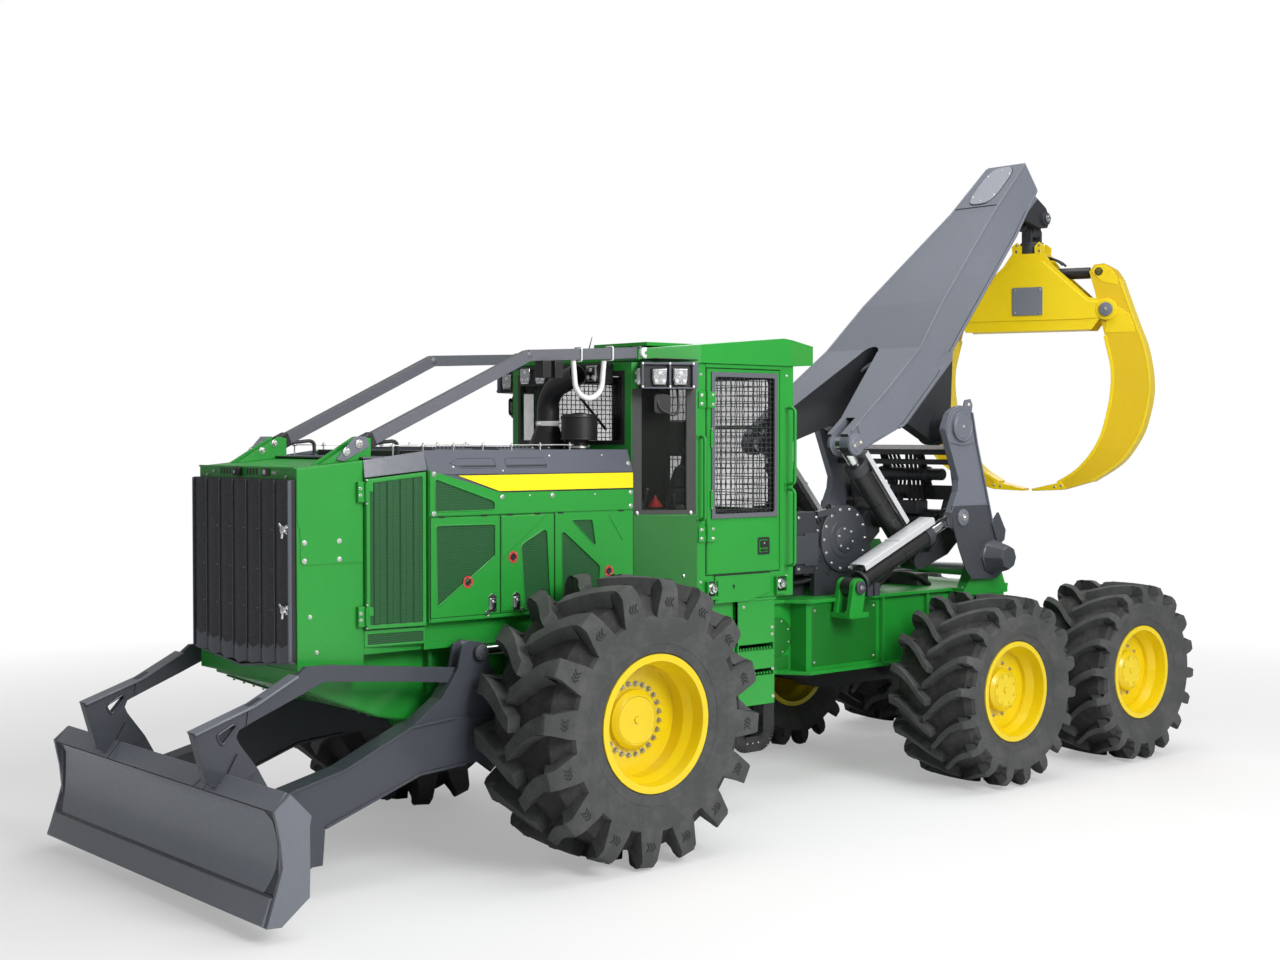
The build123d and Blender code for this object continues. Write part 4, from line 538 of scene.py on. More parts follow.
    def done(self, name, body, material, bevel=0.0, smooth=35, both=False):
        """Makes the piece, or the left and right pieces where the body has both."""
        if both:
            flipped = Bits()
            flipped.bm = self.bm.copy()
            bmesh.ops.scale(flipped.bm, vec=(1, -1, 1), verts=flipped.bm.verts)
            for bits, end in ((self, "_left"), (flipped, "_right")):
                bits.done(name + end, body + end, material, bevel, smooth)
            return None
        bmesh.ops.recalc_face_normals(self.bm, faces=self.bm.faces)
        bmesh.ops.translate(self.bm, vec=(FRONT_AXLE_X, 0, 0), verts=self.bm.verts)
        mesh = bpy.data.meshes.new(name)
        self.bm.to_mesh(mesh)
        self.bm.free()
        mesh.shade_smooth()
        mesh.set_sharp_from_angle(angle=math.radians(smooth))
        mesh.materials.append(LOOKS[material])
        piece = bpy.data.objects.new(name, mesh)
        bpy.context.scene.collection.objects.link(piece)
        if bevel:
            modifier = piece.modifiers.new("edges", "BEVEL")
            modifier.width, modifier.segments = bevel, 2
            modifier.limit_method, modifier.angle_limit = "ANGLE", math.radians(40)
        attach(piece, body)
        return piece


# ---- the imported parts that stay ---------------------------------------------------
CAD_FINISH = {
    "green": "front_frame hood_shell engine_panels cab_roof cab_steps rear_frame arch_mounts "
             "radiator_door_left radiator_door_right",
    "cab_green": "cab_shell cab_door_left cab_door_right",
    "cast": "front_axle rear_axle drive_line crosshead rotator head_pin",
    "dark": "winch_housing", "bright": "winch_drum", "guard": "guard_bars", "glass": "cab_glass",
    "plastic": "cab_furniture", "blade": "blade", "arch_shell": "arch", "boom_shell": "boom",
    "grapple": "grapple_body", "tong": "tong_left tong_right",
    "black": "grille exhaust_stack work_lights tong_barrel blade_barrels arch_barrels boom_barrels "
             "steer_barrel_left steer_barrel_right",
    "chrome": "blade_rods arch_rods boom_rods tong_rod steer_rod_left steer_rod_right",
    "rim": " ".join(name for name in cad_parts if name.startswith("rim_")),
}
for finish, members in CAD_FINISH.items():
    for member in members.split():
        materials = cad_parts[member].data.materials
        materials.clear()
        materials.append(LOOKS[finish])


# ---- wheels -----------------------------------------------------------------------
FRONT_TYRE = dict(lug=0.095, count=16, sweep=14.0, curve=1.7, width=0.104, foot=0.172, pocket=0.672,
                  chevrons=True)
REAR_TYRE = dict(lug=0.070, count=18, sweep=19.0, curve=1.7, width=0.052, foot=0.088, pocket=0.590,
                 chevrons=False)
RIDGE_AT = 0.225    # the share of the sidewall's height where its ridge runs


def wheel_point(centre, y, r, angle):
    return Vector((centre.x + r * math.cos(angle), centre.y + y, centre.z + r * math.sin(angle)))


def tyre_section(half, lip_y, lip_r, pocket, base):
    """Half a tyre's section, from the bead out to the middle of the tread, and its wall's end."""
    section = [(lip_y - 0.02, lip_r - 0.026), (lip_y, lip_r - 0.020), (lip_y + 0.004, lip_r + 0.004),
               (lip_y + 0.014, lip_r + 0.010), (lip_y + 0.016, lip_r + 0.024)]
    start_r = lip_r + 0.024
    for t in (0.10, 0.20, RIDGE_AT, 0.25, 0.40, 0.55, 0.70, 0.85, 1.0):
        bulge = (half - 0.004 - lip_y - 0.016) * (1 - (1 - t) ** 2)
        ridge = 0.005 if t == RIDGE_AT else 0.0
        section.append((lip_y + 0.016 + bulge + ridge, start_r + (pocket - start_r) * t))
    tread = [(half - 0.032, pocket + 0.010), (half - 0.070, pocket + 0.050), (half - 0.115, base - 0.024),
             (half * 0.55, base - 0.010), (half * 0.3, base - 0.003), (0.0, base)]
    return section + tread, len(section)


def lug_stations(half, outer, style):
    """Stations along a lug from the middle plane to its foot: y, outer radius, width."""
    width, foot, pocket = style["width"], style["foot"], style["pocket"]
    rows = [(share * half, outer - drop, width * wide)
            for share, drop, wide in ((-0.05, 0.002, 0.92), (0.10, 0.0, 0.96), (0.26, 0.001, 0.98),
                                      (0.42, 0.002, 1.0), (0.58, 0.004, 1.03), (0.74, 0.007, 1.07),
                                      (0.86, 0.010, 1.12))]
    return rows + [(half - 0.032, outer - 0.016, width * 1.16), (half - 0.002, outer - 0.060, width * 1.22),
                   (half - 0.001, pocket + 0.050, foot), (half - 0.004, pocket - 0.012, foot * 1.05)]


def chevrons(marks, centre, y, start):
    """Three raised chevrons on the sidewall at the foot of a lug."""
    radius = 0.765
    for step in (-1, 0, 1):
        for end in (-1, 1):
            marks.bar(*(wheel_point(centre, y, radius + shift, start + (step * 0.024 + back) / radius)
                        for shift, back in ((0, -0.010), (end * 0.028, 0.012))), 0.010, 0.003, OUTWARD)


def tyre(name, style):
    """Carcass turned from a section, with swept lugs that run down onto the sidewalls."""
    low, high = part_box("tyre_" + name)
    rim_low, rim_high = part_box("rim_" + name)
    centre = (low + high) / 2
    centre.x -= FRONT_AXLE_X
    outer, half = (high.z - low.z) / 2, (high.y - low.y) / 2
    lip_r, lip_y = (rim_high.z - rim_low.z) / 2, (rim_high.y - rim_low.y) / 2 - 0.016
    base = outer - style["lug"]
    side = 1 if name.endswith("left") else -1
    section, wall = tyre_section(half, lip_y, lip_r, style["pocket"], base)
    profile = section + [(-y, r) for y, r in section[-2::-1]]
    body, marks, turns = Bits(), Bits(), 96
    rows = [[body.bm.verts.new(wheel_point(centre, y, r, 2 * math.pi * k / turns)) for y, r in profile]
            for k in range(turns)]
    for a, b in zip(rows, rows[1:] + rows[:1]):
        for i in range(len(profile) - 1):
            body.bm.faces.new((a[i], a[i + 1], b[i + 1], b[i]))

    def sunk(y, r):
        if y < half * 0.80:
            return y, base - 0.02
        return y - 0.115, r - 0.100 if r > base else r - 0.02
    for inner in (1, -1):
        for k in range(style["count"]):
            start = 2 * math.pi * (k + 0.25 * inner) / style["count"]
            rings = []
            for y, r, width in lug_stations(half, outer, style):
                share = min(1.0, max(0.0, 1 - y / (half * 0.92)))
                angle = start - math.radians(style["sweep"]) * share ** style["curve"]
                spread = width / 2 / r
                flare = spread * (1.24 if y < half * 0.80 else 1.10)
                deep = sunk(y, r)
                section = ((*deep, -flare), (y, r, -spread), (y, r, spread), (*deep, flare))
                rings.append([wheel_point(centre, inner * at_y, at_r, angle + turn)
                              for at_y, at_r, turn in section])
            body.skin(rings)
            if style["chevrons"] and inner == side:
                chevrons(marks, centre, side * (half - 0.0005), start)
    if style["chevrons"]:
        marks.done("tyre_marks_" + name, "wheel_" + name, "hose")
    piece = body.done("tyre_tread_" + name, "wheel_" + name, "tyre", bevel=0.005, smooth=34)
    # the tread between the lugs gets the darker rubber: painted shade in the grooves
    piece.data.materials.append(LOOKS["tyre_groove"])
    across = len(profile) - 1
    for face in piece.data.polygons[:turns * across]:
        if wall <= face.index % across < across - wall:
            face.material_index = 1
    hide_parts("tyre_" + name)


def wheel_trim(name, plugs, circle_radius, face, hub_radius, hub_face, count, size, valve_radius):
    """Bolt circle, hub cap groove with its plugs, and a valve on one rim."""
    centre = middle("rim_" + name)
    side = 1 if name.endswith("left") else -1
    x, z = centre.x - FRONT_AXLE_X, centre.z
    out = (0, side, 0)
    body = "wheel_" + name
    bolts, trim, valve = Bits(), Bits(), Bits()
    for at_x, at_z in circle(circle_radius, (x, z), count, 180 / count):
        bolts.bolt((at_x, centre.y + side * face, at_z), out, size, head=size * 1.1)
    bolts.done("wheel_bolts_" + name, body, "bright", bevel=0.0012)
    hub_y = centre.y + side * hub_face
    trim.turned((x, hub_y, z), out, [(0, hub_radius - 0.028), (0.004, hub_radius - 0.030),
                                     (0.005, hub_radius - 0.036), (0.001, hub_radius - 0.040)], 48)
    trim.disc((x, hub_y, z), out, 0.022, 0.010)
    for at_x, at_z in circle(0.11, (x, z), plugs, math.degrees(0.4)):
        trim.disc((at_x, hub_y, at_z), out, 0.009, 0.007, 12)
    trim.done("hub_trim_" + name, body, "rim", bevel=0.001)
    valve.tube([(x, centre.y + side * 0.10, z + valve_radius),
                (x, centre.y + side * 0.17, z + valve_radius - 0.01)], 0.007)
    valve.done("valve_" + name, body, "hose")


for end in ("_left", "_right"):
    tyre("front" + end, FRONT_TYRE)
    wheel_trim("front" + end, 0, 0.228, 0.110, 0.190, 0.165, 24, 0.019, 0.335)
    for row in ("mid", "back"):
        tyre(row + end, REAR_TYRE)
        wheel_trim(row + end, 8, 0.205, 0.138, 0.165, 0.215, 12, 0.015, 0.300)


# ---- hood -------------------------------------------------------------------------
SIDE_WINDOWS = {
    "upper": [(1.056, 2.448), (0.620, 2.305), (0.599, 2.290), (0.599, 2.250), (0.610, 2.243),
              (1.057, 2.243)],
    "front": [(1.050, 2.156), (0.610, 2.150), (0.597, 2.140), (0.597, 1.950), (1.042, 1.648)],
    "middle": [(0.200, 2.105), (0.175, 2.090), (0.147, 1.600), (0.156, 1.577), (0.356, 1.588),
               (0.388, 2.001), (0.370, 2.020)],
    "rear": [(0.054, 2.083), (0.030, 2.080), (-0.265, 1.850), (-0.275, 1.830), (-0.260, 1.600),
             (0.050, 1.600)],
    "small": [(-0.028, 2.159), (-0.208, 2.157), (-0.238, 1.990), (-0.225, 1.985)],
}
HOOD_SIDE = 0.700    # outer face of the hood's frame, under the sheets


def hood_sides():
    """Pressed sheets over the frame, with punched sheet showing through their windows."""
    y = HOOD_SIDE
    sheets = (([(1.095, 2.215), (-0.570, 2.215), (-0.570, 2.352), (0.548, 2.352), (1.095, 2.500)],
               ("upper",)), (rectangle((0.560, 1.091), (1.580, 2.205)), ("front",)),
              (rectangle((0.119, 0.551), (1.580, 2.205)), ("middle",)),
              (rectangle((-0.567, 0.109), (1.580, 2.205)), ("rear", "small")),
              (rectangle((-0.567, 1.093), (1.552, 1.573)), ()))
    skin, mesh, shade_line = Bits(), Bits(), Bits()
    for outline, names in sheets:
        skin.plate(outline, (y - 0.002, y + 0.007), holes=[eased(SIDE_WINDOWS[name]) for name in names])
        for name in names:
            mesh.plate(SIDE_WINDOWS[name], (y - 0.002, y + 0.001))
            loop = eased(SIDE_WINDOWS[name], 0.016)
            skin.tube(at_side(loop + loop[:1], y + 0.0065), 0.0035, 6)
    # raised facet of the middle panel and a pressed rib of the rear one
    skin.plate([(0.545, 1.925), (0.545, 2.200), (0.180, 2.200)], (y + 0.002, y + 0.0105))
    skin.plate([(0.545, 1.590), (0.545, 1.700), (0.430, 1.590)], (y + 0.002, y + 0.0095))
    skin.tube([(-0.355, y + 0.005, 2.182), (-0.472, y + 0.005, 2.012)], 0.007, 8)
    skin.mirror().done("hood_sheets", "front", "green", bevel=0.0018)
    mesh.mirror().done("hood_mesh", "front", "green_mesh")
    # black dashes under the upper sheet's edge and thin black bands round the stripe are painted shade
    # lines; the upright strips are dark joints between the sheets
    for x in (1.008, 0.679, 0.477, 0.250, 0.058, -0.463):
        shade_line.box((x - 0.021, x + 0.021), (y + 0.001, y + 0.0085), (2.203, 2.215))
    shade_line.plate([(0.905, 2.4715), (0.555, 2.3515), (-0.572, 2.3515), (-0.572, 2.4715)],
                     (y - 0.001, y + 0.003))
    for x in (1.0925, 0.5555, 0.114, -0.5725):
        shade_line.box((x - 0.0045, x + 0.0045), (y - 0.002, y + 0.0008), (1.575, 2.214))
    shade_line.mirror().done("hood_seams_and_shade_lines", "front", "black")
    Bits().plate([(0.883, 2.466), (0.558, 2.362), (-0.570, 2.362), (-0.570, 2.466)],
                 (y, y + 0.0045)).mirror().done("hood_stripe", "front", "stripe")


BAND_OUT = (0, 0.928, 0.371)    # outward from the hood's sloping shoulder


def on_band(x, z, out=0.0):
    """A point on the hood's shoulder, a distance out from it."""
    return Vector((x, 0.704 - 0.4 * (z - 2.470), z)) + Vector(BAND_OUT) * out


def hood_band():
    """Grey cap over the shoulder and top, with its two vents and the wedge over the screens."""
    outer = [(0.704, 2.471), (0.644, 2.624), (-0.644, 2.624), (-0.704, 2.471)]
    inner = [(-0.698, 2.471), (-0.638, 2.618), (0.638, 2.618), (0.698, 2.471)]
    cap = Bits().plate(outer + inner, (-0.571, 1.098), "x")
    for span in ((0.699, 0.7025), (-0.7025, -0.699)):
        cap.plate([(1.096, 2.495), (0.560, 2.356), (0.560, 2.474), (1.096, 2.474)], span)
    for side in (1, -1):
        cap.skin([[Vector((x, side * (y + out), z))
                   for y, z, out in ((a[0], a[1], 0.0), (b[0], b[1], 0.0),
                                     (b[0] - 0.004, b[1] - 0.02, -0.004), (a[0] - 0.004, a[1], -0.004))]
                  for x, a, b in ((1.523, (0.634, 2.4600), (0.616, 2.570)),
                                  (1.100, (0.682, 2.5020), (0.650, 2.6235)))])
    cap.plate([(1.523, -0.612), (1.523, 0.612), (1.100, 0.646), (1.100, -0.646)], (2.5765, 2.5865), "z")
    cap.done("hood_cap", "front", "band", bevel=0.002)
    vents, dark, screws = Bits(), Bits(), Bits()
    for outline in ([(0.932, 2.546), (0.862, 2.574), (0.575, 2.574), (0.572, 2.512), (0.831, 2.512)],
                    [(0.491, 2.574), (0.158, 2.573), (0.158, 2.512), (0.491, 2.512)]):
        edge = eased(outline, 0.012)
        dark.plate(edge, (-0.001, 0.0008), on_band)
        vents.tube([on_band(x, z, 0.001) for x, z in edge + edge[:1]], 0.0035, 6)
    dark.mirror().done("hood_vents", "front", "grey_mesh")
    vents.mirror().done("hood_vent_rims", "front", "band")
    for x, z in ((0.905, 2.520), (0.526, 2.492), (0.120, 2.585), (-0.330, 2.585)):
        screws.button(on_band(x, z), BAND_OUT, 0.007)
    for x, z in ((0.318, 2.330), (-0.230, 2.326)):
        screws.button((x, 0.707, z), size=0.006)
    screws.bolts(((1.065, 2.478), (1.066, 2.230), (0.540, 2.324), (0.131, 2.325), (-0.546, 2.330),
                  (-0.546, 2.239)), 0.706, 0.0165, 0.008)
    screws.bolt(on_band(-0.547, 2.529), BAND_OUT, 0.0165, 0.008)
    screws.bolts(((0.650, 1.566), (0.250, 1.566), (-0.300, 1.566)), 0.706, 0.010)
    screws.mirror().done("hood_screws", "front", "zinc", bevel=0.0008)


def hood_fittings():
    """Quick-release latches, fire-hose ports, top handles and the rail along the hood top."""
    red, hole, latch, rail = Bits(), Bits(), Bits(), Bits()
    for x, z in ((0.811, 1.792), (0.454, 1.934), (-0.350, 1.803)):
        red.plate(circle(0.038, (x, z), 28), (0.706, 0.7095), holes=[circle(0.022, (x, z), 28)])
        hole.disc((x, 0.705, z), OUTWARD, 0.0225, 0.003, 24)
        hole.hoop((x, 0.7085, z), OUTWARD, 0.0225, 0.002)
        for u, v in circle(0.030, (x, z), 4, 45):
            latch.box((u - 0.005, u + 0.005), (0.7085, 0.7102), (v - 0.004, v + 0.004))
    for x in (0.621, 0.430):
        latch.plate([(x - 0.030, 1.592), (x + 0.030, 1.592), (x + 0.030, 1.690), (x, 1.709),
                     (x - 0.030, 1.690)], (0.706, 0.713))
        latch.plate(rectangle((x - 0.020, x + 0.020), (1.602, 1.676), 0.008), (0.713, 0.722))
        latch.disc((x, 0.720, 1.655), OUTWARD, 0.010, 0.007, 16)
        latch.bar((x, 0.724, 1.612), (x, 0.734, 1.655), 0.026, 0.005, up=OUTWARD)
        away = 0.045 if x > 0.5 else -0.045
        latch.box((x + away - 0.015, x + away + 0.015), (0.706, 0.714), (1.583, 1.597))
        latch.box((x + away - 0.005, x + away + 0.005), (0.706, 0.718), (1.575, 1.607))
    red.mirror().done("port_rings", "front", "red")
    hole.mirror().done("port_holes", "front", "black")
    latch.mirror().done("hood_latches", "front", "silver", bevel=0.001)
    handles = Bits()
    for y in (0.505, -0.505):
        handles.tube(rounded(at_side([(1.520, 2.570), (1.495, 2.600), (1.400, 2.668), (1.235, 2.684),
                                      (1.205, 2.670), (1.200, 2.584)], y), 0.03), 0.0125)
        for x, z in ((1.520, 2.566), (1.200, 2.582)):
            handles.disc((x, y, z), UP, 0.024, 0.012, 16)
    handles.done("hood_handles", "front", "dark")
    for y in (0.600, -0.600):
        rail.tube([(1.320, y, 2.656), (-0.130, y, 2.656)], 0.004, 6)
        for x in (1.298, 1.076, 0.844, 0.616, 0.384, 0.150, -0.100):
            foot = 2.578 if x > 1.1 else 2.620
            rail.tube([(x, y, foot), (x, y, 2.672)], 0.005, 8)
            rail.disc((x, y, 2.648), UP, 0.015, 0.012, 12)
    rail.done("hood_top_rail", "front", "zinc")
    louvres = Bits()
    for x in (0.720, 0.200):
        louvres.box((x - 0.15, x + 0.15), (-0.42, 0.42), (2.620, 2.632))
        for k in range(9):
            at = x - 0.12 + k * 0.03
            louvres.bar((at, -0.36, 2.636), (at, 0.36, 2.636), 0.012, 0.016)
    louvres.done("hood_louvres", "front", "band", bevel=0.002)
    seam = Bits().box((1.0975, 1.1005), (-0.62, 0.62), (2.583, 2.622))
    seam.done("hood_cross_seam", "front", "black")


NOSE_SIDE = 0.610    # outer face of the nose's cheek plates


def sill_point(x, z, out=0.0):
    """A point on the slanted sill under the left radiator screen, which leans in to the nose."""
    return Vector((x, NOSE_SIDE + 0.1071 * (1.520 - x) + out, z))


def screen_point(x, z, out=0.0):
    """A point on the outer face of the left radiator screen."""
    return sill_point(x, z, 0.022 + out)


def radiator_screens():
    """Frames and ribbed punched sheet of the two screens, and the smaller mesh in their sill."""
    def top(x, inset):
        return 2.450 + 0.105 * (1.520 - x) - inset

    def sheet(x0, x1, low, inset):
        return [(x0, low), (x1, low), (x1, top(x1, inset)), (x0, top(x0, inset))]
    window = sheet(1.132, 1.490, 1.560, 0.026)
    Bits().plate(sheet(1.108, 1.512, 1.536, 0.004), (-0.001, 0.006), screen_point,
                 holes=[eased(window, 0.006)]).done("screen_frame", "radiator_door", "green", bevel=0.0015,
                                                    both=True)
    mesh = Bits().plate(window, (-0.001, 0.0012), screen_point)
    for k in range(4):
        x = 1.176 + 0.0895 * k
        mesh.skin([[screen_point(x - 0.024, z, 0.001), screen_point(x - 0.016, z, 0.0085),
                    screen_point(x + 0.016, z, 0.0085), screen_point(x + 0.024, z, 0.001)]
                   for z in (1.562, top(x, 0.030))])
    mesh.done("screen_mesh", "radiator_door", "green_mesh", both=True)
    lower = Bits().plate(rectangle((1.108, 1.500), (1.432, 1.506)), (-0.001, 0.0015), sill_point)
    lower.mirror().done("sill_mesh", "front", "green_mesh")
    surround = Bits().plate(rectangle((1.102, 1.516), (1.424, 1.524)), (-0.001, 0.005), sill_point,
                            holes=[rectangle((1.116, 1.494), (1.438, 1.502), 0.006)])
    surround.mirror().done("sill_frame", "front", "green", bevel=0.001)


def nose():
    """Cheek sheets with their bolts, the slotted brow and its camera."""
    skin, bolts, dark = Bits(), Bits(), Bits()
    upper = [(1.5225, 1.948), (1.930, 1.944), (1.955, 1.965), (1.957, 2.165), (1.976, 2.183),
             (1.978, 2.518), (1.5225, 2.562)]
    skin.plate(upper, (NOSE_SIDE - 0.001, NOSE_SIDE + 0.0035))
    skin.plate([(1.5225, 1.236), (1.978, 1.236), (1.978, 2.172), (1.966, 2.160), (1.966, 1.958),
                (1.934, 1.935), (1.5225, 1.938)], (NOSE_SIDE - 0.001, NOSE_SIDE + 0.0018))
    bolts.bolts(((1.927, 2.078), (1.689, 2.082), (1.928, 1.970), (1.689, 1.972)), 0.613, 0.0165, 0.009)
    bolts.bolts(((1.891, 1.635), (1.847, 1.420)), 0.611, 0.013, 0.008)
    for z in (2.375, 1.615):
        skin.plate(rectangle((1.523, 1.572), (z - 0.062, z + 0.062)), (0.612, 0.640))
        bolts.bolts(((1.556, z - 0.020), (1.556, z + 0.020)), 0.639, 0.011, 0.010)
        for dz in (-0.066, 0.066):
            bolts.disc((1.516, 0.646, z + dz), (0, 0, 1 if dz > 0 else -1), 0.009, 0.010, 12)
    skin.mirror().done("nose_sheets", "front", "green", bevel=0.0015)
    bolts.mirror()
    for y, z in ((-0.413, 2.494), (0.346, 2.494), (0.372, 2.494), (-0.500, 2.470), (0.500, 2.470)):
        bolts.bolt((1.981, y, z), FORWARD, 0.011)
    bolts.done("nose_bolts", "front", "zinc", bevel=0.0008)
    for start in (-0.330, 0.010):
        for k in range(4):
            y = start + 0.038 * k
            dark.plate(rectangle((y, y + 0.020), (2.478, 2.516), 0.004), (1.980, 1.9825), "x")
    dark.plate(rectangle((0.205, 0.300), (2.474, 2.518)), (1.980, 1.984), "x")
    dark.box((1.980, 2.012), (-0.118, -0.052), (2.470, 2.520))
    dark.turned((2.010, -0.085, 2.494), FORWARD,
                [(0, 0.020), (0.010, 0.020), (0.012, 0.014), (0.006, 0.012), (0.006, 0)], 20)
    dark.done("brow_slots", "front", "black", bevel=0.001)
    brow = Bits().box((1.975, 1.990), (-0.605, 0.605), (2.518, 2.530))
    brow.plate(rectangle((-0.605, 0.605), (1.236, 1.322)), (1.979, 1.983), "x")
    brow.done("brow_edge", "front", "green", bevel=0.003)
    lens = Bits().disc((1.984, 0.240, 2.496), FORWARD, 0.016, 0.006)
    lens.disc((2.016, -0.085, 2.494), FORWARD, 0.0105, 0.002)
    lens.done("brow_lens", "front", "lens")


def grille_front():
    """Seven punched columns between bright ridges, with a smooth V foot under each."""
    front, low, high, half, columns = 2.0240, 1.330, 2.452, 0.606, 7
    edges = [half * (2 * k / columns - 1) for k in range(columns + 1)]

    def foot(y):
        return low + 0.046 * abs(y) / half
    mesh, ridges, caps, lip, knobs, hinge_bolts = (Bits() for _ in range(6))
    for a, b in zip(edges, edges[1:]):
        mid = (a + b) / 2
        mesh.skin([[(front - 0.002, a + 0.002, z0), (front + 0.010, mid, z1),
                    (front - 0.002, b - 0.002, z2)]
                   for z0, z1, z2 in ((foot(a) + 0.10, foot(mid) + 0.07, foot(b) + 0.10), [high] * 3)])
        caps.skin([[(front - 0.002, a, foot(a)), (front + 0.016, mid, foot(mid) - 0.012),
                    (front - 0.002, b, foot(b))],
                   [(front - 0.002, a, foot(a) + 0.115), (front + 0.0125, mid, foot(mid) + 0.075),
                    (front - 0.002, b, foot(b) + 0.115)]])
    for y in edges[1:-1]:
        ridges.bar((front + 0.001, y, foot(y) + 0.08), (front + 0.001, y, high), 0.006, 0.012, up=FORWARD)
        for z in (2.155, 1.912, 1.674):
            ridges.box((front, front + 0.011), (y - 0.034, y - 0.003), (z - 0.004, z + 0.004))
    for y in (half, -half):
        ridges.bar((front, y, foot(half)), (front, y, high), 0.010, 0.024, up=FORWARD)
    mesh.done("grille_mesh", "grille", "black_mesh")
    ridges.done("grille_ridges", "grille", "band", bevel=0.001)
    caps.done("grille_feet", "grille", "band", bevel=0.001)
    for y in (half, -half):
        lip.bar((2.006, y, foot(half) - 0.006), (2.006, 0, low - 0.026), 0.040, 0.012)
    lip.done("grille_lip", "grille", "band", bevel=0.002)
    for z in (2.161, 1.684):
        knobs.turned((front, 0.580, z), FORWARD,
                     [(0, 0.030), (0.006, 0.030), (0.008, 0.012), (0.020, 0.012), (0.024, 0.026),
                      (0.036, 0.026), (0.040, 0.018)], 20)
        for end in circle(0.052, (0.580, z), 3, 20):
            knobs.tube([(front + 0.030, 0.580, z), (front + 0.030, *end)], 0.009, 8)
    knobs.done("grille_knobs", "grille", "chrome", bevel=0.001)
    for z in (1.470, 2.150):
        for dz in (-0.035, 0.035):
            hinge_bolts.bolt((1.955, -0.624, z + dz), (0, -1, 0), 0.010)
    hinge_bolts.done("grille_hinge_bolts", "front", "zinc")


hood_sides()
hood_band()
hood_fittings()
radiator_screens()
nose()
grille_front()


# ---- cab --------------------------------------------------------------------------
CAB_SIDE = 0.900    # outer face of the cab's side walls
PILLAR_X = -0.990    # where the slanted quarter wall starts


def quarter_point(along, z, out=0.0):
    """A point on the cab's left quarter wall: distance from the pillar, height, distance out."""
    out_x, out_y = QUARTER_OUT[:2]
    return Vector((PILLAR_X + out_y * along + out_x * out, CAB_SIDE - out_x * along + out_y * out, z))


def woven(bits, x, z, step, at, radius=0.0035):
    """Crimped wire mesh in a rectangle; `at` turns (u, v, out) into a point."""
    across = round((x[1] - x[0]) / step[0])
    up = round((z[1] - z[0]) / step[1])
    us = [x[0] + (x[1] - x[0]) * k / across for k in range(across + 1)]
    vs = [z[0] + (z[1] - z[0]) * k / up for k in range(up + 1)]
    for i, u in enumerate(us):
        bits.tube([at(u, v, radius * (1 if (i + k) % 2 else -1)) for k, v in enumerate(vs)], radius, 6)
    for k, v in enumerate(vs):
        bits.tube([at(u, v, radius * (-1 if (i + k) % 2 else 1)) for i, u in enumerate(us)], radius, 6)


def cab_door():
    """Window frame, wire mesh, glass and gaskets, latch, hinges and inner trim of each door."""
    y = CAB_SIDE
    door = Bits().plate(rectangle((-1.768, -1.117), (2.138, 3.162)), (y - 0.002, y + 0.012),
                        holes=[rectangle((-1.736, -1.149), (2.170, 3.128), 0.020)])
    door.done("door_window_frame", "cab_door", "guard_plain", bevel=0.002, both=True)
    wires = Bits()
    woven(wires, (-1.748, -1.138), (2.160, 3.140), (0.0445, 0.0365),
          lambda u, v, out: Vector((u, y - 0.006 + out, v)), 0.0036)
    wires.done("door_window_mesh", "cab_door", "dark", both=True)
    gasket = Bits()
    for span in ((y - 0.032, y - 0.024), (y - 0.048, y - 0.046)):
        gasket.plate(rectangle((-1.757, -1.128), (2.148, 3.152)), span,
                     holes=[rectangle((-1.725, -1.160), (2.182, 3.118), 0.03)])
    gasket.done("door_gasket", "cab_door", "black", both=True)
    glass = Bits().plate(rectangle((-1.755, -1.130), (2.150, 3.150)), (y - 0.042, y - 0.036))
    glass.done("door_glass", "cab_door", "pane", both=True)
    latch = Bits().plate(rectangle((-1.692, -1.573), (1.868, 1.992), 0.014), (y, y + 0.006),
                         holes=[rectangle((-1.676, -1.589), (1.884, 1.976), 0.010)])
    latch.plate(rectangle((-1.680, -1.585), (1.880, 1.980)), (y - 0.001, y + 0.001))
    latch.plate(rectangle((-1.668, -1.600), (1.918, 1.968), 0.006), (y, y + 0.010))
    latch.bar((-1.662, y + 0.010, 1.900), (-1.604, y + 0.010, 1.900), 0.012, 0.014)
    latch.done("door_latch", "cab_door", "black", bevel=0.001, both=True)
    lock = Bits().disc((-1.634, y + 0.009, 1.950), OUTWARD, 0.007, 0.004, 16)
    lock.bolts([(-1.127, z + dz) for z in (2.035, 2.967) for dz in (-0.033, 0.033)], y + 0.013, 0.012,
               0.009)
    for z in (2.270, 2.700):
        for dz in (-0.060, 0.060):
            lock.disc((-1.118, y + 0.008, z + dz), UP, 0.008, 0.010, 12)
    lock.done("door_bolts", "cab_door", "zinc", bevel=0.0008, both=True)
    leaf = Bits()
    for z in (2.035, 2.967):
        leaf.plate(rectangle((-1.148, -1.088), (z - 0.057, z + 0.057), 0.006), (y, y + 0.013))
    for z in (2.270, 2.700):
        leaf.box((-1.126, -1.104), (y, y + 0.016), (z - 0.055, z + 0.055))
    leaf.plate(rectangle((-1.788, -1.082), (1.753, 3.178)), (y - 0.001, y + 0.002),
               holes=[rectangle((-1.760, -1.110), (2.120, 3.160))])
    leaf.done("door_skin", "cab_door", "green", bevel=0.0015, both=True)
    inside = Bits().plate(rectangle((-1.780, -1.090), (1.760, 2.140)), (y - 0.060, y - 0.046))
    inside.box((-1.700, -1.200), (y - 0.085, y - 0.058), (1.980, 2.060))
    inside.done("door_trim", "cab_door", "plastic", bevel=0.004, both=True)


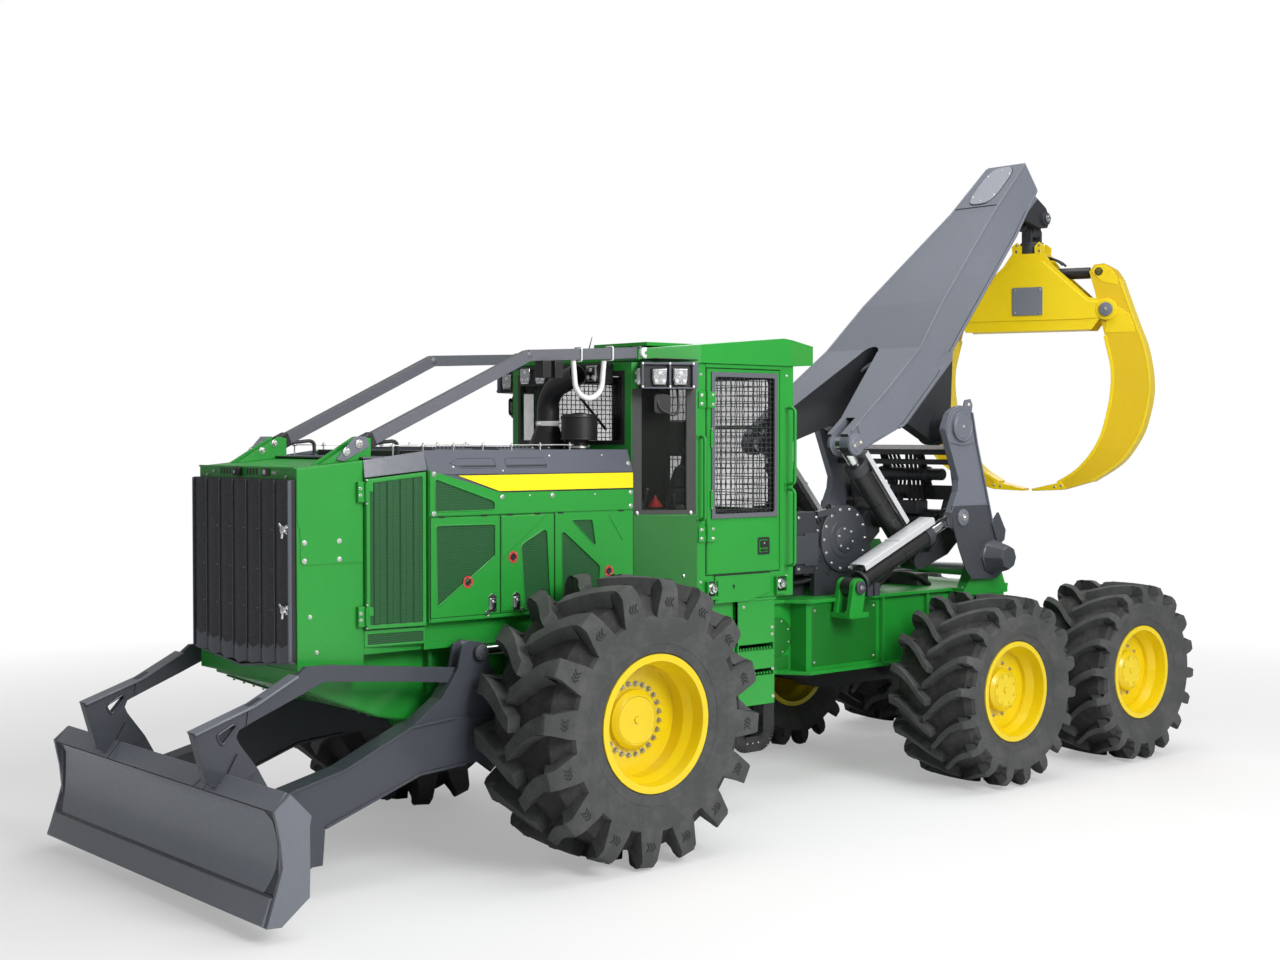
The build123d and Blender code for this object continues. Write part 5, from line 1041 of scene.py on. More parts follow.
def cab_outside():
    """Hinge leaves, grab rails, the skirt under the door, corner screws and cab mounts."""
    y = CAB_SIDE
    skin, zinc, dark, silver = Bits(), Bits(), Bits(), Bits()
    for z in (2.035, 2.967):
        skin.plate(rectangle((-1.058, -0.992), (z - 0.057, z + 0.057), 0.006), (y, y + 0.011))
        zinc.bolts(((-1.022, z - 0.030), (-1.022, z + 0.030)), y + 0.011, 0.0135, 0.010)
    # rails stand off the wall and turn back into it
    for x, low, high, out in ((-1.868, 2.368, 2.917, 0.085), (-1.868, 1.780, 2.330, 0.085),
                              (-1.004, 2.138, 2.710, 0.060)):
        skin.tube(rounded([(x, y - 0.005, high), (x, y + out, high), (x, y + out, low),
                           (x, y - 0.005, low)], 0.055, 6), 0.0125, 10)
        for z in (low, high):
            skin.disc((x, y, z), OUTWARD, 0.022, 0.006, 16)
    skin.plate([(-1.690, 1.600), (-1.690, 1.735), (-1.150, 1.735), (-1.150, 1.545), (-1.480, 1.545)],
               (y, y + 0.010))
    skin.plate(rectangle((-1.812, -1.060), (3.192, 3.216)), (y, y + 0.006))
    dark.box((-1.700, -1.140), (y - 0.001, y + 0.004), (1.733, 1.7445))
    dark.plate(circle(0.010, (-1.330, 1.660), 14), (y + 0.009, y + 0.012))
    dark.box((-1.334, -1.326), (y + 0.009, y + 0.012), (1.640, 1.660))
    dark.plate(rectangle((-1.0715, -1.0625), (1.745, 3.190)), (y - 0.03, y + 0.001))
    for x in (-1.115, -1.796):
        skin.box((x - 0.055, x + 0.055), (y, y + 0.030), (1.575, 1.600))
        for edge in (x - 0.055, x + 0.045):
            skin.box((edge, edge + 0.010), (y, y + 0.030), (1.600, 1.705))
        dark.box((x - 0.046, x + 0.046), (y, y + 0.004), (1.600, 1.700))
        silver.turned((x, y + 0.002, 1.652), OUTWARD,
                      [(0, 0.040), (0.022, 0.038), (0.030, 0.028), (0.046, 0.026), (0.050, 0.016),
                       (0.050, 0)], 24)
        silver.bolt((x, y + 0.050, 1.652), size=0.013)
    zinc.bolts(((-1.020, 1.700), (-1.868, 3.150), (-1.868, 1.700), (-1.020, 3.140)), y, 0.011)
    for along in (0.050, 0.430):
        zinc.button(quarter_point(along, 2.186, 0.001), QUARTER_OUT, 0.015)
    zinc.button(quarter_point(0.100, 1.750, 0.002), QUARTER_OUT, 0.012)
    skin.mirror().done("cab_skin", "front", "green", bevel=0.0018)
    zinc.mirror().done("cab_bolts", "front", "zinc", bevel=0.0008)
    dark.mirror().done("cab_seams", "front", "black")
    silver.mirror().done("cab_mounts", "front", "silver", bevel=0.001)
    # the lower quarter panel is green darkened as painted shade
    lower = Bits().plate(rectangle((0.004, 0.462), (1.566, 2.170)), (-0.001, 0.003), quarter_point)
    lower.mirror().done("quarter_panel", "front", "shade_painted_green", bevel=0.0015)
    band = Bits()
    for span, heights, out in (((0.012, 0.462), (2.176, 2.206), 0.004),
                               ((0.012, 0.080), (2.206, 3.040), 0.003),
                               ((0.396, 0.462), (2.206, 3.040), 0.003)):
        band.plate(rectangle(span, heights), (-0.001, out), quarter_point)
    band.mirror().done("quarter_glass_border", "front", "plastic", bevel=0.001)


def roof():
    """Edge flange, hatch, lifting loops under the rear overhang and a beacon socket."""
    green, dark = Bits(), Bits()
    for y in (0.760, -0.760):
        green.tube(rounded(at_side([(-1.945, 3.222), (-1.945, 3.095), (-2.045, 3.075), (-2.045, 3.235)], y),
                           0.03), 0.010, 8)
    green.box((-1.500, -1.050), (-0.300, 0.300), (3.364, 3.392))
    green.done("roof_fittings", "front", "green", bevel=0.006)
    dark.plate([(-0.612, 3.236), (-0.612, 3.242), (-1.930, 3.242), (-1.930, 3.236)], (-0.912, 0.912))
    for x in (-0.750, -0.960):
        dark.box((x - 0.03, x + 0.03), (0.30, 0.44), (3.318, 3.338))
    dark.tube([(-1.20, -0.55, 3.35), (-1.24, -0.55, 3.47)], lambda t: 0.006 - 0.003 * t, 8)
    dark.done("roof_trim", "front", "black", bevel=0.001)


def lamp(bits, lens, at, facing, up, width, height):
    """A square work lamp with a bevelled face, three fixings and a lens."""
    at, facing, up = Vector(at), Vector(facing).normalized(), Vector(up)
    side = up.cross(facing).normalized()

    def put(u, v, out):
        return at + side * u + up * v + facing * out
    w, h = width / 2, height / 2
    outline = [(-w, -h * 0.35), (-w * 0.8, -h), (w * 0.8, -h), (w, -h * 0.35), (w, h), (-w, h)]
    inset = [(u * 0.86, v * 0.86) for u, v in outline]
    bits.skin([[put(u, v, 0.0) for u, v in outline], [put(u, v, 0.022) for u, v in outline],
               [put(u, v, 0.030) for u, v in inset]])
    for u, v in ((0, h * 0.45), (-w * 0.5, -h * 0.5), (w * 0.5, -h * 0.5)):
        lens.disc(put(u, v, 0.0295), facing, width * 0.13, 0.004, 14)


def lamps():
    """Framed lamps in the quarter walls, roof lamps to the front and rear, and the mirrors."""
    silver, lens, frame_bits, screws, rear, rear_lens, mirror = (Bits() for _ in range(7))
    facing = QUARTER_OUT
    for along in (0.155, 0.300):
        lamp(silver, lens, quarter_point(along, 3.118, 0.121), facing, UP, 0.105, 0.115)
    lamp(silver, lens, quarter_point(0.419, 3.118, 0.060), (QUARTER_OUT[1], -QUARTER_OUT[0], 0), UP, 0.080,
         0.110)
    for low, high in ((3.036, 3.046), (3.200, 3.216)):
        frame_bits.plate(rectangle((0.058, 0.424), (low, high)), (0.118, 0.150), quarter_point)
    for at in (0.058, 0.222, 0.412):
        frame_bits.plate(rectangle((at, at + 0.014), (3.040, 3.214)), (0.118, 0.148), quarter_point)
    frame_bits.plate(rectangle((0.030, 0.062), (3.036, 3.216)), (0.0, 0.140), quarter_point)
    for along, z in ((0.066, 3.050), (0.230, 3.050), (0.066, 3.206), (0.230, 3.206), (0.420, 3.206),
                     (0.420, 3.050)):
        screws.button(quarter_point(along, z, 0.149), facing, 0.009)
    screws.mirror().done("lamp_box_screws", "front", "zinc")
    frame_bits.mirror().done("lamp_box_frame", "front", "band", bevel=0.002)
    silver.mirror()
    lens.mirror()
    for y in (-0.380, -0.200, 0.200, 0.380):
        lamp(silver, lens, (-0.490, y, 3.148), FORWARD, UP, 0.110, 0.110)
    silver.done("lamps_front", "front", "silver", bevel=0.001)
    lens.done("lamp_lenses", "front", "lens")
    for y in (-0.620, -0.420, 0.420, 0.620):
        lamp(rear, rear_lens, (-2.244, y, 3.300), (-1, 0, 0), UP, 0.110, 0.095)
    rear.done("lamps_rear", "front", "black", bevel=0.001)
    rear_lens.done("lamp_lenses_rear", "front", "lens")
    loop = [quarter_point(0.300, 3.040, 0.060), quarter_point(0.300, 2.900, 0.110),
            quarter_point(0.190, 2.850, 0.120), quarter_point(0.160, 2.900, 0.110),
            quarter_point(0.160, 3.040, 0.060)]
    mirror.tube(rounded(loop, 0.04, 5), 0.009, 8)
    mirror.plate(rectangle((0.215, 0.330), (2.870, 3.000), 0.030), (0.085, 0.100), quarter_point)
    mirror.mirror().done("mirrors", "front", "black", bevel=0.002)
    face = Bits().plate(rectangle((0.222, 0.323), (2.877, 2.993), 0.028), (0.080, 0.086), quarter_point)
    face.mirror().done("mirror_faces", "front", "chrome")


def window_guards():
    """Rear window grid with its frame, and the windshield's wiper and seal."""
    grid = Bits()
    woven(grid, (-0.780, 0.780), (2.170, 3.140), (0.060, 0.060),
          lambda u, v, out: Vector((-1.950 + out, u, v)), 0.0038)
    grid.done("rear_window_grid", "front", "dark")
    bars = Bits()
    for z in (2.165, 2.780, 3.145):
        bars.bar((-1.955, -0.800, z), (-1.955, 0.800, z), 0.022, 0.030)
    for y in (-0.790, 0.0, 0.790):
        bars.bar((-1.955, y, 2.160), (-1.955, y, 3.150), 0.022, 0.026)
    bars.done("rear_window_bars", "front", "green", bevel=0.003)
    wiper = Bits()
    wiper.tube([(-0.572, -0.05, 2.675), (-0.566, 0.33, 2.86)], 0.006, 8)
    wiper.bar((-0.575, 0.12, 2.99), (-0.568, 0.42, 2.76), 0.010, 0.018)
    wiper.disc((-0.578, -0.05, 2.675), FORWARD, 0.022, 0.018)
    wiper.done("wiper", "front", "black", bevel=0.001)
    seal = Bits().plate(rectangle((-0.606, 0.606), (2.655, 3.165)), (-0.5805, -0.5765), "x",
                        holes=[rectangle((-0.575, 0.575), (2.685, 3.135), 0.03)])
    seal.done("windshield_seal", "front", "black")


def cab_inside():
    """Corner trim, headliner, steering wheel, levers, screens and pedals."""
    trim, dark, red, silver = Bits(), Bits(), Bits(), Bits()
    trim.box((-1.885, -1.820), (-0.840, -0.370), (2.100, 3.150))
    trim.box((-1.885, -1.790), (-0.840, 0.840), (1.615, 2.150))
    trim.box((-1.860, -0.700), (-0.660, 0.660), (3.186, 3.214))
    trim.box((-1.700, -0.800), (-0.780, -0.560), (1.612, 1.980))
    trim.box((-1.650, -0.900), (0.620, 0.800), (1.612, 1.720))
    for side in (1, -1):
        trim.box((-1.560, -1.240), (side * 0.300, side * 0.400), (2.095, 2.210))
        trim.tube([(-1.270, side * 0.350, 2.200), (-1.255, side * 0.350, 2.300)],
                  lambda t: 0.012 + 0.014 * t, 12)
        for k in range(4):
            silver.button((-1.340 - 0.05 * k, side * 0.350, 2.210), UP, 0.010)
    trim.done("cab_trim", "front", "plastic", bevel=0.012)
    dark.tube([(-0.740, 0.0, 2.230), (-0.930, 0.0, 2.330)], 0.024, 12)
    dark.hoop((-0.950, 0.0, 2.345), (-0.88, 0, 0.47), 0.185, 0.013, steps=32)
    side, top = basis((-0.88, 0, 0.47))
    for spoke in spokes(top, -side, 0.18, 3):
        dark.bar((-0.945, 0, 2.342), Vector((-0.950, 0, 2.345)) + spoke, 0.022, 0.010)
    for y in (-0.09, 0.09):
        dark.bar((-0.900, y, 1.640), (-0.960, y, 1.760), 0.070, 0.012, up=FORWARD)
    dark.bar((-0.720, -0.300, 2.250), (-0.720, -0.300, 2.440), 0.020, 0.020)
    dark.plate(rectangle((-0.430, -0.190), (2.400, 2.570), 0.015), (-0.760, -0.735), "x")
    dark.box((-1.870, -1.815), (-0.310, -0.140), (2.560, 2.830))
    dark.done("cab_controls", "front", "black", bevel=0.002)
    red.turned((-0.900, 0.560, 2.215), UP, [(0, 0.052), (0.008, 0.054), (0.070, 0.010), (0.085, 0.008)], 24)
    red.done("cab_beacon", "front", "red")
    for a, b in (((-0.870, 0.480, 2.205), (-0.860, 0.520, 2.330)),
                 ((-0.800, 0.450, 2.205), (-0.840, 0.440, 2.320))):
        silver.tube([a, b], 0.006, 8)
        silver.turned(b, UP, [(0, 0.006), (0.006, 0.014), (0.020, 0.014), (0.026, 0.006)], 12)
    silver.done("cab_levers", "front", "silver")
    shelf = Bits().box((-0.980, -0.700), (0.380, 0.640), (2.160, 2.205))
    shelf.box((-0.960, -0.760), (0.520, 0.640), (1.620, 2.160))
    shelf.done("side_console", "front", "plastic", bevel=0.010)


def guard_fittings():
    """Clamps, bracket plates, lamps, hose hoop, ties and end caps of the brush guard."""
    clamp, plates, bolts, white, dark, hung, ties = (Bits() for _ in range(7))
    at = Vector((1.475, 0.518, 2.663))
    along = (Vector((0.223, 0.558, 3.245)) - at).normalized()
    clamp.bar(at + along * 0.010, at + along * 0.085, 0.074, 0.092)
    plates.plate([(1.690, 2.572), (1.640, 2.560), (1.455, 2.650), (1.478, 2.712), (1.560, 2.712)],
                 (0.574, 0.586))
    for x, z in ((1.620, 2.620), (1.530, 2.667)):
        bolts.bolt((x, 0.586, z), size=0.026, head=0.018)
        bolts.bolt((x, 0.455, z), (0, -1, 0), 0.022)
    for x in (0.02, 0.12):
        hung.box((x - 0.035, x + 0.035), (0.550, 0.640), (3.100, 3.212))
        hung.box((x - 0.010, x + 0.010), (0.575, 0.600), (3.205, 3.235))
    hung.done("guard_lamps", "front", "black", bevel=0.003)
    clamp.mirror().done("guard_clamps", "front", "black", bevel=0.004)
    plates.mirror().done("guard_plates", "front", "grey", bevel=0.002)
    arc = circle(0.12, (-0.245, 3.090), 60)
    arc = at_side(arc[:1] + arc[:29:-1], 0.623)
    white.tube([(-0.125, 0.606, 3.225), *arc, (-0.365, 0.640, 3.225)], 0.018, 12)
    white.done("hose_hoop", "front", "white")
    for x in (-0.165, -0.410):
        y = 0.558 + (0.223 - x) / 0.863 * 0.120
        z = 3.245 + (0.223 - x) / 0.863 * 0.040
        ties.tube(rounded([(x, y + 0.036 * u, z + 0.045 * v)
                           for u, v in ((-1, -1), (-1, 1), (1, 1), (1, -1), (-1, -1))], 0.008, 3), 0.0055,
                  8)
    ties.done("guard_ties", "front", "white")
    cap = Bits().turned((-0.655, 0.708, 3.283), OUTWARD,
                        [(0, 0.038), (0.030, 0.038), (0.034, 0.030), (0.034, 0.012), (0.020, 0.010)], 24)
    cap.mirror().done("guard_end_caps", "front", "white", bevel=0.001)
    ends = Bits().box((-0.640, -0.622), (0.640, 0.716), (3.236, 3.330))
    ends.mirror().done("guard_end_plates", "front", "grey", bevel=0.002)
    dark.bar((-0.490, 0, 3.205), (-0.490, 0.560, 3.205), 0.030, 0.022)
    dark.mirror().done("guard_lamp_rail", "front", "black", bevel=0.003)
    bolts.mirror().done("guard_bolts", "front", "zinc", bevel=0.001)


def stack_fittings():
    """The exhaust's clamp band and foot, the air canister's bands and lid, and their bolts."""
    base, feet = Bits(), Bits()
    stack, canister = (-0.380, 0), (-0.400, 0.330)
    band = Bits().turned((*stack, 2.786), UP, [(0, 0.079), (0.0, 0.082), (0.034, 0.082), (0.034, 0.079)],
                         40)
    band.bar((-0.300, 0.015, 2.803), (-0.270, 0.015, 2.803), 0.020, 0.018)
    band.done("stack_clamp", "front", "white", bevel=0.001)
    base.turned((*stack, 2.620), UP, [(0, 0.168), (0.008, 0.168), (0.010, 0.152)], 40)
    for z, r in ((2.686, 0.128), (2.838, 0.129)):
        base.turned((*canister, z), UP, [(0, r - 0.004), (0.004, r), (0.012, r), (0.016, r - 0.004)], 36)
    base.turned((*canister, 2.852), UP,
                [(0, 0.120), (0.012, 0.118), (0.018, 0.060), (0.024, 0.030), (0.024, 0)], 36)
    base.done("stack_fittings", "front", "black", bevel=0.001)
    for x, y in circle(0.158, stack, 8, 10):
        feet.bolt((x, y, 2.630), UP, 0.010)
    feet.turned((*canister, 2.632), UP, [(0, 0.075), (0.014, 0.075), (0.016, 0.064)], 24)
    for x, y in circle(0.070, canister, 6):
        feet.bolt((x, y, 2.646), UP, 0.008)
    feet.done("stack_bolts", "front", "zinc", bevel=0.0008)


cab_door()
cab_outside()
roof()
lamps()
window_guards()
cab_inside()
guard_fittings()
stack_fittings()


# ---- blade ------------------------------------------------------------------------
WEAR_PLATE = ((2.6070, 0.244), (2.5820, 0.312), (2.5600, 0.380), (2.5520, 0.450), (2.5500, 0.520),
              (2.5555, 0.580), (2.5620, 0.640), (2.5960, 0.697))


def across_blade(half, rear, front):
    """Four corners across the blade from a rear and a front (x, z) point."""
    return [(rear[0], -half, rear[1]), (front[0], -half, front[1]), (front[0], half, front[1]),
            (rear[0], half, rear[1])]


def blade_plates():
    """Wear plate, cutting edge, top rail with its pads and the joint lines between them; the black strip
    over the cutting edge is painted shadow under the wear plate's edge.
    """
    face, edge, pale, line = Bits(), Bits(), Bits(), Bits()
    half = 1.436

    def bow(z):
        return 1.330 + 0.075 * max(0.0, 1 - ((z - 0.470) / 0.235) ** 2)
    face.skin([across_blade(bow(z), (x - 0.010, z), (x + 0.006, z)) for x, z in WEAR_PLATE])
    face.done("blade_wear_plate", "blade", "blade_face", bevel=0.002)
    edge.skin([across_blade(half, (x - 0.012, z), (x + out, z))
               for x, z, out in ((2.659, 0.093, 0.006), (2.660, 0.104, 0.014), (2.611, 0.236, 0.014),
                                 (2.608, 0.244, 0.002))])
    edge.skin([across_blade(half, (2.596, 0.700), (2.606, 0.705)),
               across_blade(half, (2.513, 0.792), (2.521, 0.800))])
    edge.done("blade_cutting_edge", "blade", "blade_edge", bevel=0.002)
    # black strip in the seam over the cutting edge: painted shadow under the wear plate; the bars across
    # the top rail are joint lines
    line.box((2.596, 2.6125), (-half, half), (0.2445, 0.2545))
    for y in (-0.640, 0.640, -0.245, 0.245):
        line.bar((2.606, y, 0.704), (2.521, y, 0.800), 0.005, 0.004)
    line.done("blade_edge_shadow", "blade", "black")
    pale.skin([across_blade(0.520, (2.604, 0.7055), (2.612, 0.711)),
               across_blade(0.600, (2.523, 0.7975), (2.531, 0.806))])
    for side in (1, -1):
        pale.box((2.545, 2.568), (side * 1.430, side * 1.446), (0.250, 0.640))
        # flange along the top of each hook
        pale.bars(at_side([(2.722, 1.046), (2.352, 1.170), (2.070, 1.314)], side * 0.735), 0.110, 0.014)
    pale.done("blade_top_pads", "blade", "blade_edge", bevel=0.003)


def blade_hooks():
    """Flanged hooks with their windows, the push arms' flanges, gussets, ribs and pin bolts."""
    hook, bolts = Bits(), Bits()
    hook.bars(at_side([(2.722, 1.046), (2.678, 0.890), (2.642, 0.762), (2.512, 0.700)], 0.735), 0.060,
              0.012, up=(1, 0, 0.4))
    window = eased([(2.583, 1.020), (2.470, 1.078), (2.452, 1.062), (2.546, 0.959)], 0.025)
    for y in (0.715, 0.755):
        hook.tube(at_side(window + window[:1], y), 0.008, 8)
    hook.plate([(2.395, 1.060), (2.250, 1.118), (2.245, 1.230), (2.380, 1.168)], (0.708, 0.762))
    hook.plate([(2.500, 0.705), (2.330, 0.790), (2.455, 0.905), (2.540, 0.760)], (0.700, 0.770))
    # push arm: flanges, gussets and a boss round the trunnion
    for line in ([(2.440, 0.524), (2.142, 0.644), (1.776, 0.730), (1.300, 0.934), (0.980, 0.960)],
                 [(1.905, 0.408), (1.242, 0.639), (0.900, 0.664)]):
        hook.bars(at_side(line, 0.730), 0.165, 0.014)
    for y, x, z in ((1.400, 2.080, 0.552), (1.250, 2.180, 0.292)):
        hook.plate([(2.425, 0.800), (2.425, y), (x, 0.800)], (z, z + 0.016), "z")
    trunnion_x, trunnion_z = 0.450, 0.780
    hook.turned((trunnion_x, 0.800, trunnion_z), OUTWARD,
                [(0, 0.120), (0.010, 0.118), (0.012, 0.078), (0.026, 0.074), (0.026, 0)], 32)
    for y in (0.200, 0.560, 1.100, 1.360):
        hook.plate([(2.422, 0.300), (2.300, 0.360), (2.330, 0.560), (2.428, 0.690)], (y - 0.010, y + 0.010))
    for x, z in ((2.395, 0.310), (2.390, 0.560)):
        hook.box((x, x + 0.040), (0, 1.440), (z, z + 0.040))
    hook.mirror().done("blade_flanges", "blade", "blade", bevel=0.003)
    bolts.bolt((2.548, 0.770, 0.748), size=0.018, head=0.016)
    bolts.bolts([(trunnion_x + dx, trunnion_z) for dx in (0.050, -0.050)], 0.826, 0.014)
    pin_x, pin_z = 0.785, 1.354
    bolts.turned((pin_x, 0.808, pin_z), OUTWARD, [(0, 0.052), (0.016, 0.050), (0.020, 0.044), (0.020, 0)])
    bolts.bolts([(pin_x + step, pin_z - step) for step in (0.024, -0.024)], 0.828, 0.012)
    bolts.mirror().done("blade_bolts", "blade", "cast", bevel=0.001)


def hose(bits, points, radius, curve):
    """A crimped hydraulic hose between two fixed ends."""
    path = rounded(points, curve, 6)
    bits.tube(path, radius)
    for a, b in ((path[0], path[1]), (path[-1], path[-2])):
        bits.turned(a, b - a, [(0, radius * 1.1), (0.004, radius * 1.5), (0.045, radius * 1.5),
                               (0.05, radius * 1.1)], 12)


def cylinder_trim(name, base, eye, y, radius, length, guard=None):
    """Gland, welded rings, ports, a steel tube along the barrel and the guard over it."""
    a, b = at_side((base, eye), y)
    a, start = Vector(a), 0.100
    along = (Vector(b) - a).normalized()
    side = Vector(OUTWARD)
    up = along.cross(side)
    if up.z < 0:
        up = -up
    black, bright, grey, plate = Bits(), Bits(), Bits(), Bits()
    grey.turned(a + along * (length - 0.085), along,
                [(0, radius + 0.001), (0.004, radius + 0.012), (0.075, radius + 0.012),
                 (0.085, radius + 0.004), (0.085, radius * 0.74), (0.080, radius * 0.70)], 32, ring=True)
    grey.turned(a + along * start, along,
                [(0, radius * 0.9), (0.0, radius + 0.006), (0.028, radius + 0.006), (0.030, radius)], 32,
                ring=True)
    for at in (start + 0.060, length - 0.130):
        port = a + along * at + up * (radius + 0.004)
        grey.bar(port - along * 0.030, port + along * 0.030, 0.055, 0.045, up=up)
    for at in (0.42, 0.60):
        black.turned(a + along * (length * at), along,
                     [(0, radius), (0, radius + 0.004), (0.022, radius + 0.004), (0.022, radius)], 32,
                     ring=True)
    run = [a + along * at + up * (radius + rise) + side * 0.012
           for at, rise in ((start + 0.060, 0.014), (start + 0.110, 0.030), (length - 0.190, 0.030),
                            (length - 0.130, 0.014))]
    bright.tube(rounded(run, 0.03, 4), 0.009, 8)
    pieces = ((grey, "_fittings", "cast"), (black, "_bands", "black"), (bright, "_pipe", "zinc"))
    if guard:
        half_section = [(0.066, 0.008), (0.079, 0.0), (0.079, -0.045), (0.074, -0.045), (0.074, -0.003),
                        (0.064, 0.003)]
        section = [(-u, v) for u, v in half_section[2::-1]] + half_section
        section += [(-u, v) for u, v in half_section[:2:-1]]
        lift = up * (radius + 0.048)
        plate.skin([[a + along * at + lift + side * u + up * v for u, v in section] for at in guard])
        centre = a + along * (sum(guard) / 2) + lift + up * 0.009
        plate.bar(centre - along * 0.012, centre + along * 0.012, 0.150, 0.006, up=up)
        pieces += ((plate, "_guard", "guard_sheet"),)
    for bits, suffix, look in pieces:
        bits.mirror().done(name + "_cylinder" + suffix, name + "_barrels", look, bevel=0.0015)


def cylinders():
    """Trim of the blade, arch, boom and steering cylinders."""
    cylinder_trim("blade", (-0.450, 1.350), (0.785, 1.354), 0.735, 0.062, 0.720)
    cylinder_trim("arch", (-2.873, 1.545), (-4.107, 2.052), 0.620, 0.078, 1.000, guard=(0.130, 1.030))
    cylinder_trim("boom", (-3.800, 1.700), (-2.958, 2.652), 0.450, 0.078, 1.060, guard=(0.330, 1.090))
    for end, y in (("left", 0.280), ("right", -0.280)):
        steer = Bits().turned((-1.755, y, 1.110), (-1, 0, 0),
                              [(0, 0.055), (0.004, 0.063), (0.056, 0.063), (0.060, 0.033)], 28, ring=True)
        steer.box((-1.460, -1.410), (y - 0.022, y + 0.022), (1.155, 1.190))
        steer.done("steer_gland_" + end, "steer_barrel_" + end, "cast", bevel=0.001)


# ---- steps, rear frame and winch --------------------------------------------------
def steps():
    """Step panels and toothed treads under the cab doors, with a flexible lowest step."""
    green, dark, bolts, low = Bits(), Bits(), Bits(), Bits()
    x0, x1 = -1.757, -1.388
    for heights in ((1.228, 1.548), (1.046, 1.180), (0.790, 1.000)):
        green.box((x0, x1), (0.862, 0.892), heights)
    for z in (1.008, 1.188):
        green.box((x0, x1), (0.700, 0.712), (z - 0.03, z + 0.23))
        for k in range(12):
            x = x0 + 0.020 + 0.0295 * k
            dark.box((x, x + 0.012), (0.640, 0.888), (z, z + 0.004))
            green.box((x + 0.014, x + 0.026), (0.872, 0.889), (z - 0.002, z + 0.016))
    green.box((x0 - 0.012, x1 + 0.012), (0.870, 0.900), (1.540, 1.566))
    green.plate(rectangle((-1.384, -1.056), (0.925, 1.375)), (0.858, 0.866))
    bolts.bolts(((-1.445, 1.500), (-1.730, 1.340), (-1.730, 1.290), (-1.735, 1.040), (-1.740, 0.840)),
                0.892, 0.012)
    bolts.bolts([(x, z) for x in (-1.350, -1.090) for z in (0.960, 1.340)], 0.866, 0.011)
    green.mirror().done("step_panels", "front", "green", bevel=0.0025)
    bolts.mirror().done("step_bolts", "front", "zinc")
    # flexible lowest step hung on a strap
    strap = at_side([(-1.745, 0.905), (-1.745, 0.560), (-1.690, 0.500), (-1.480, 0.500), (-1.425, 0.560),
                     (-1.425, 0.905)], 0.840)
    dark.bars(rounded(strap, 0.08), 0.110, 0.012, up=OUTWARD)
    dark.mirror().done("step_treads", "front", "hose", bevel=0.001)
    for x in (-1.640, -1.585, -1.530):
        low.bolt((x, 0.840, 0.506), UP, 0.010)
    low.mirror().done("step_strap_bolts", "front", "zinc")


def belly_pan():
    """Edge strips, drain covers and bolts of the belly pan, the rail's strips and the shaft."""
    belly, pan, rail = Bits(), Bits(), Bits()
    belly.bars(at_side([(0.262, 0.914), (1.093, 0.918), (1.352, 0.971), (1.860, 1.170)], 0.470), 0.060,
               0.010)
    belly.plate(rectangle((0.420, 0.980), (-0.300, 0.300), 0.05), (0.906, 0.921), "z")
    belly.plate(rectangle((-1.560, -0.420), (-0.420, 0.420)), (0.826, 0.841), "z")
    for k in range(9):
        pan.bolt((0.300 + 0.095 * k, 0.470, 0.912), (0, 0, -1), 0.010)
    for k in range(7):
        x = 1.400 + 0.070 * k
        pan.bolt((x, 0.470, 0.975 + (x - 1.352) * 0.3917 - 0.012), (0.36, 0, -0.93), 0.010)
    # the belly strips and covers are green darkened as painted shade
    belly.mirror().done("belly_strips", "front", "shade_painted_green", bevel=0.002)
    pan.mirror().done("belly_bolts", "front", "green")
    rail.box((-1.610, 0.250), (0.499, 0.508), (1.330, 1.378))
    for x in (-0.900, -0.650, 0.380, 0.700, 1.000):
        rail.plate(rectangle((x - 0.012, x + 0.012), (1.140, 1.378)), (0.499, 0.560))
    # the rail strips are green darkened as painted shade
    rail.mirror().done("rail_strips", "front", "shade_painted_green", bevel=0.002)
    Bits().turned((-1.115, 0.0, 0.915), FORWARD, [(0, 0.030), (0.01, 0.045), (0.700, 0.045), (0.71, 0.030)],
                  20).done("drive_shaft_front", "front", "cast")


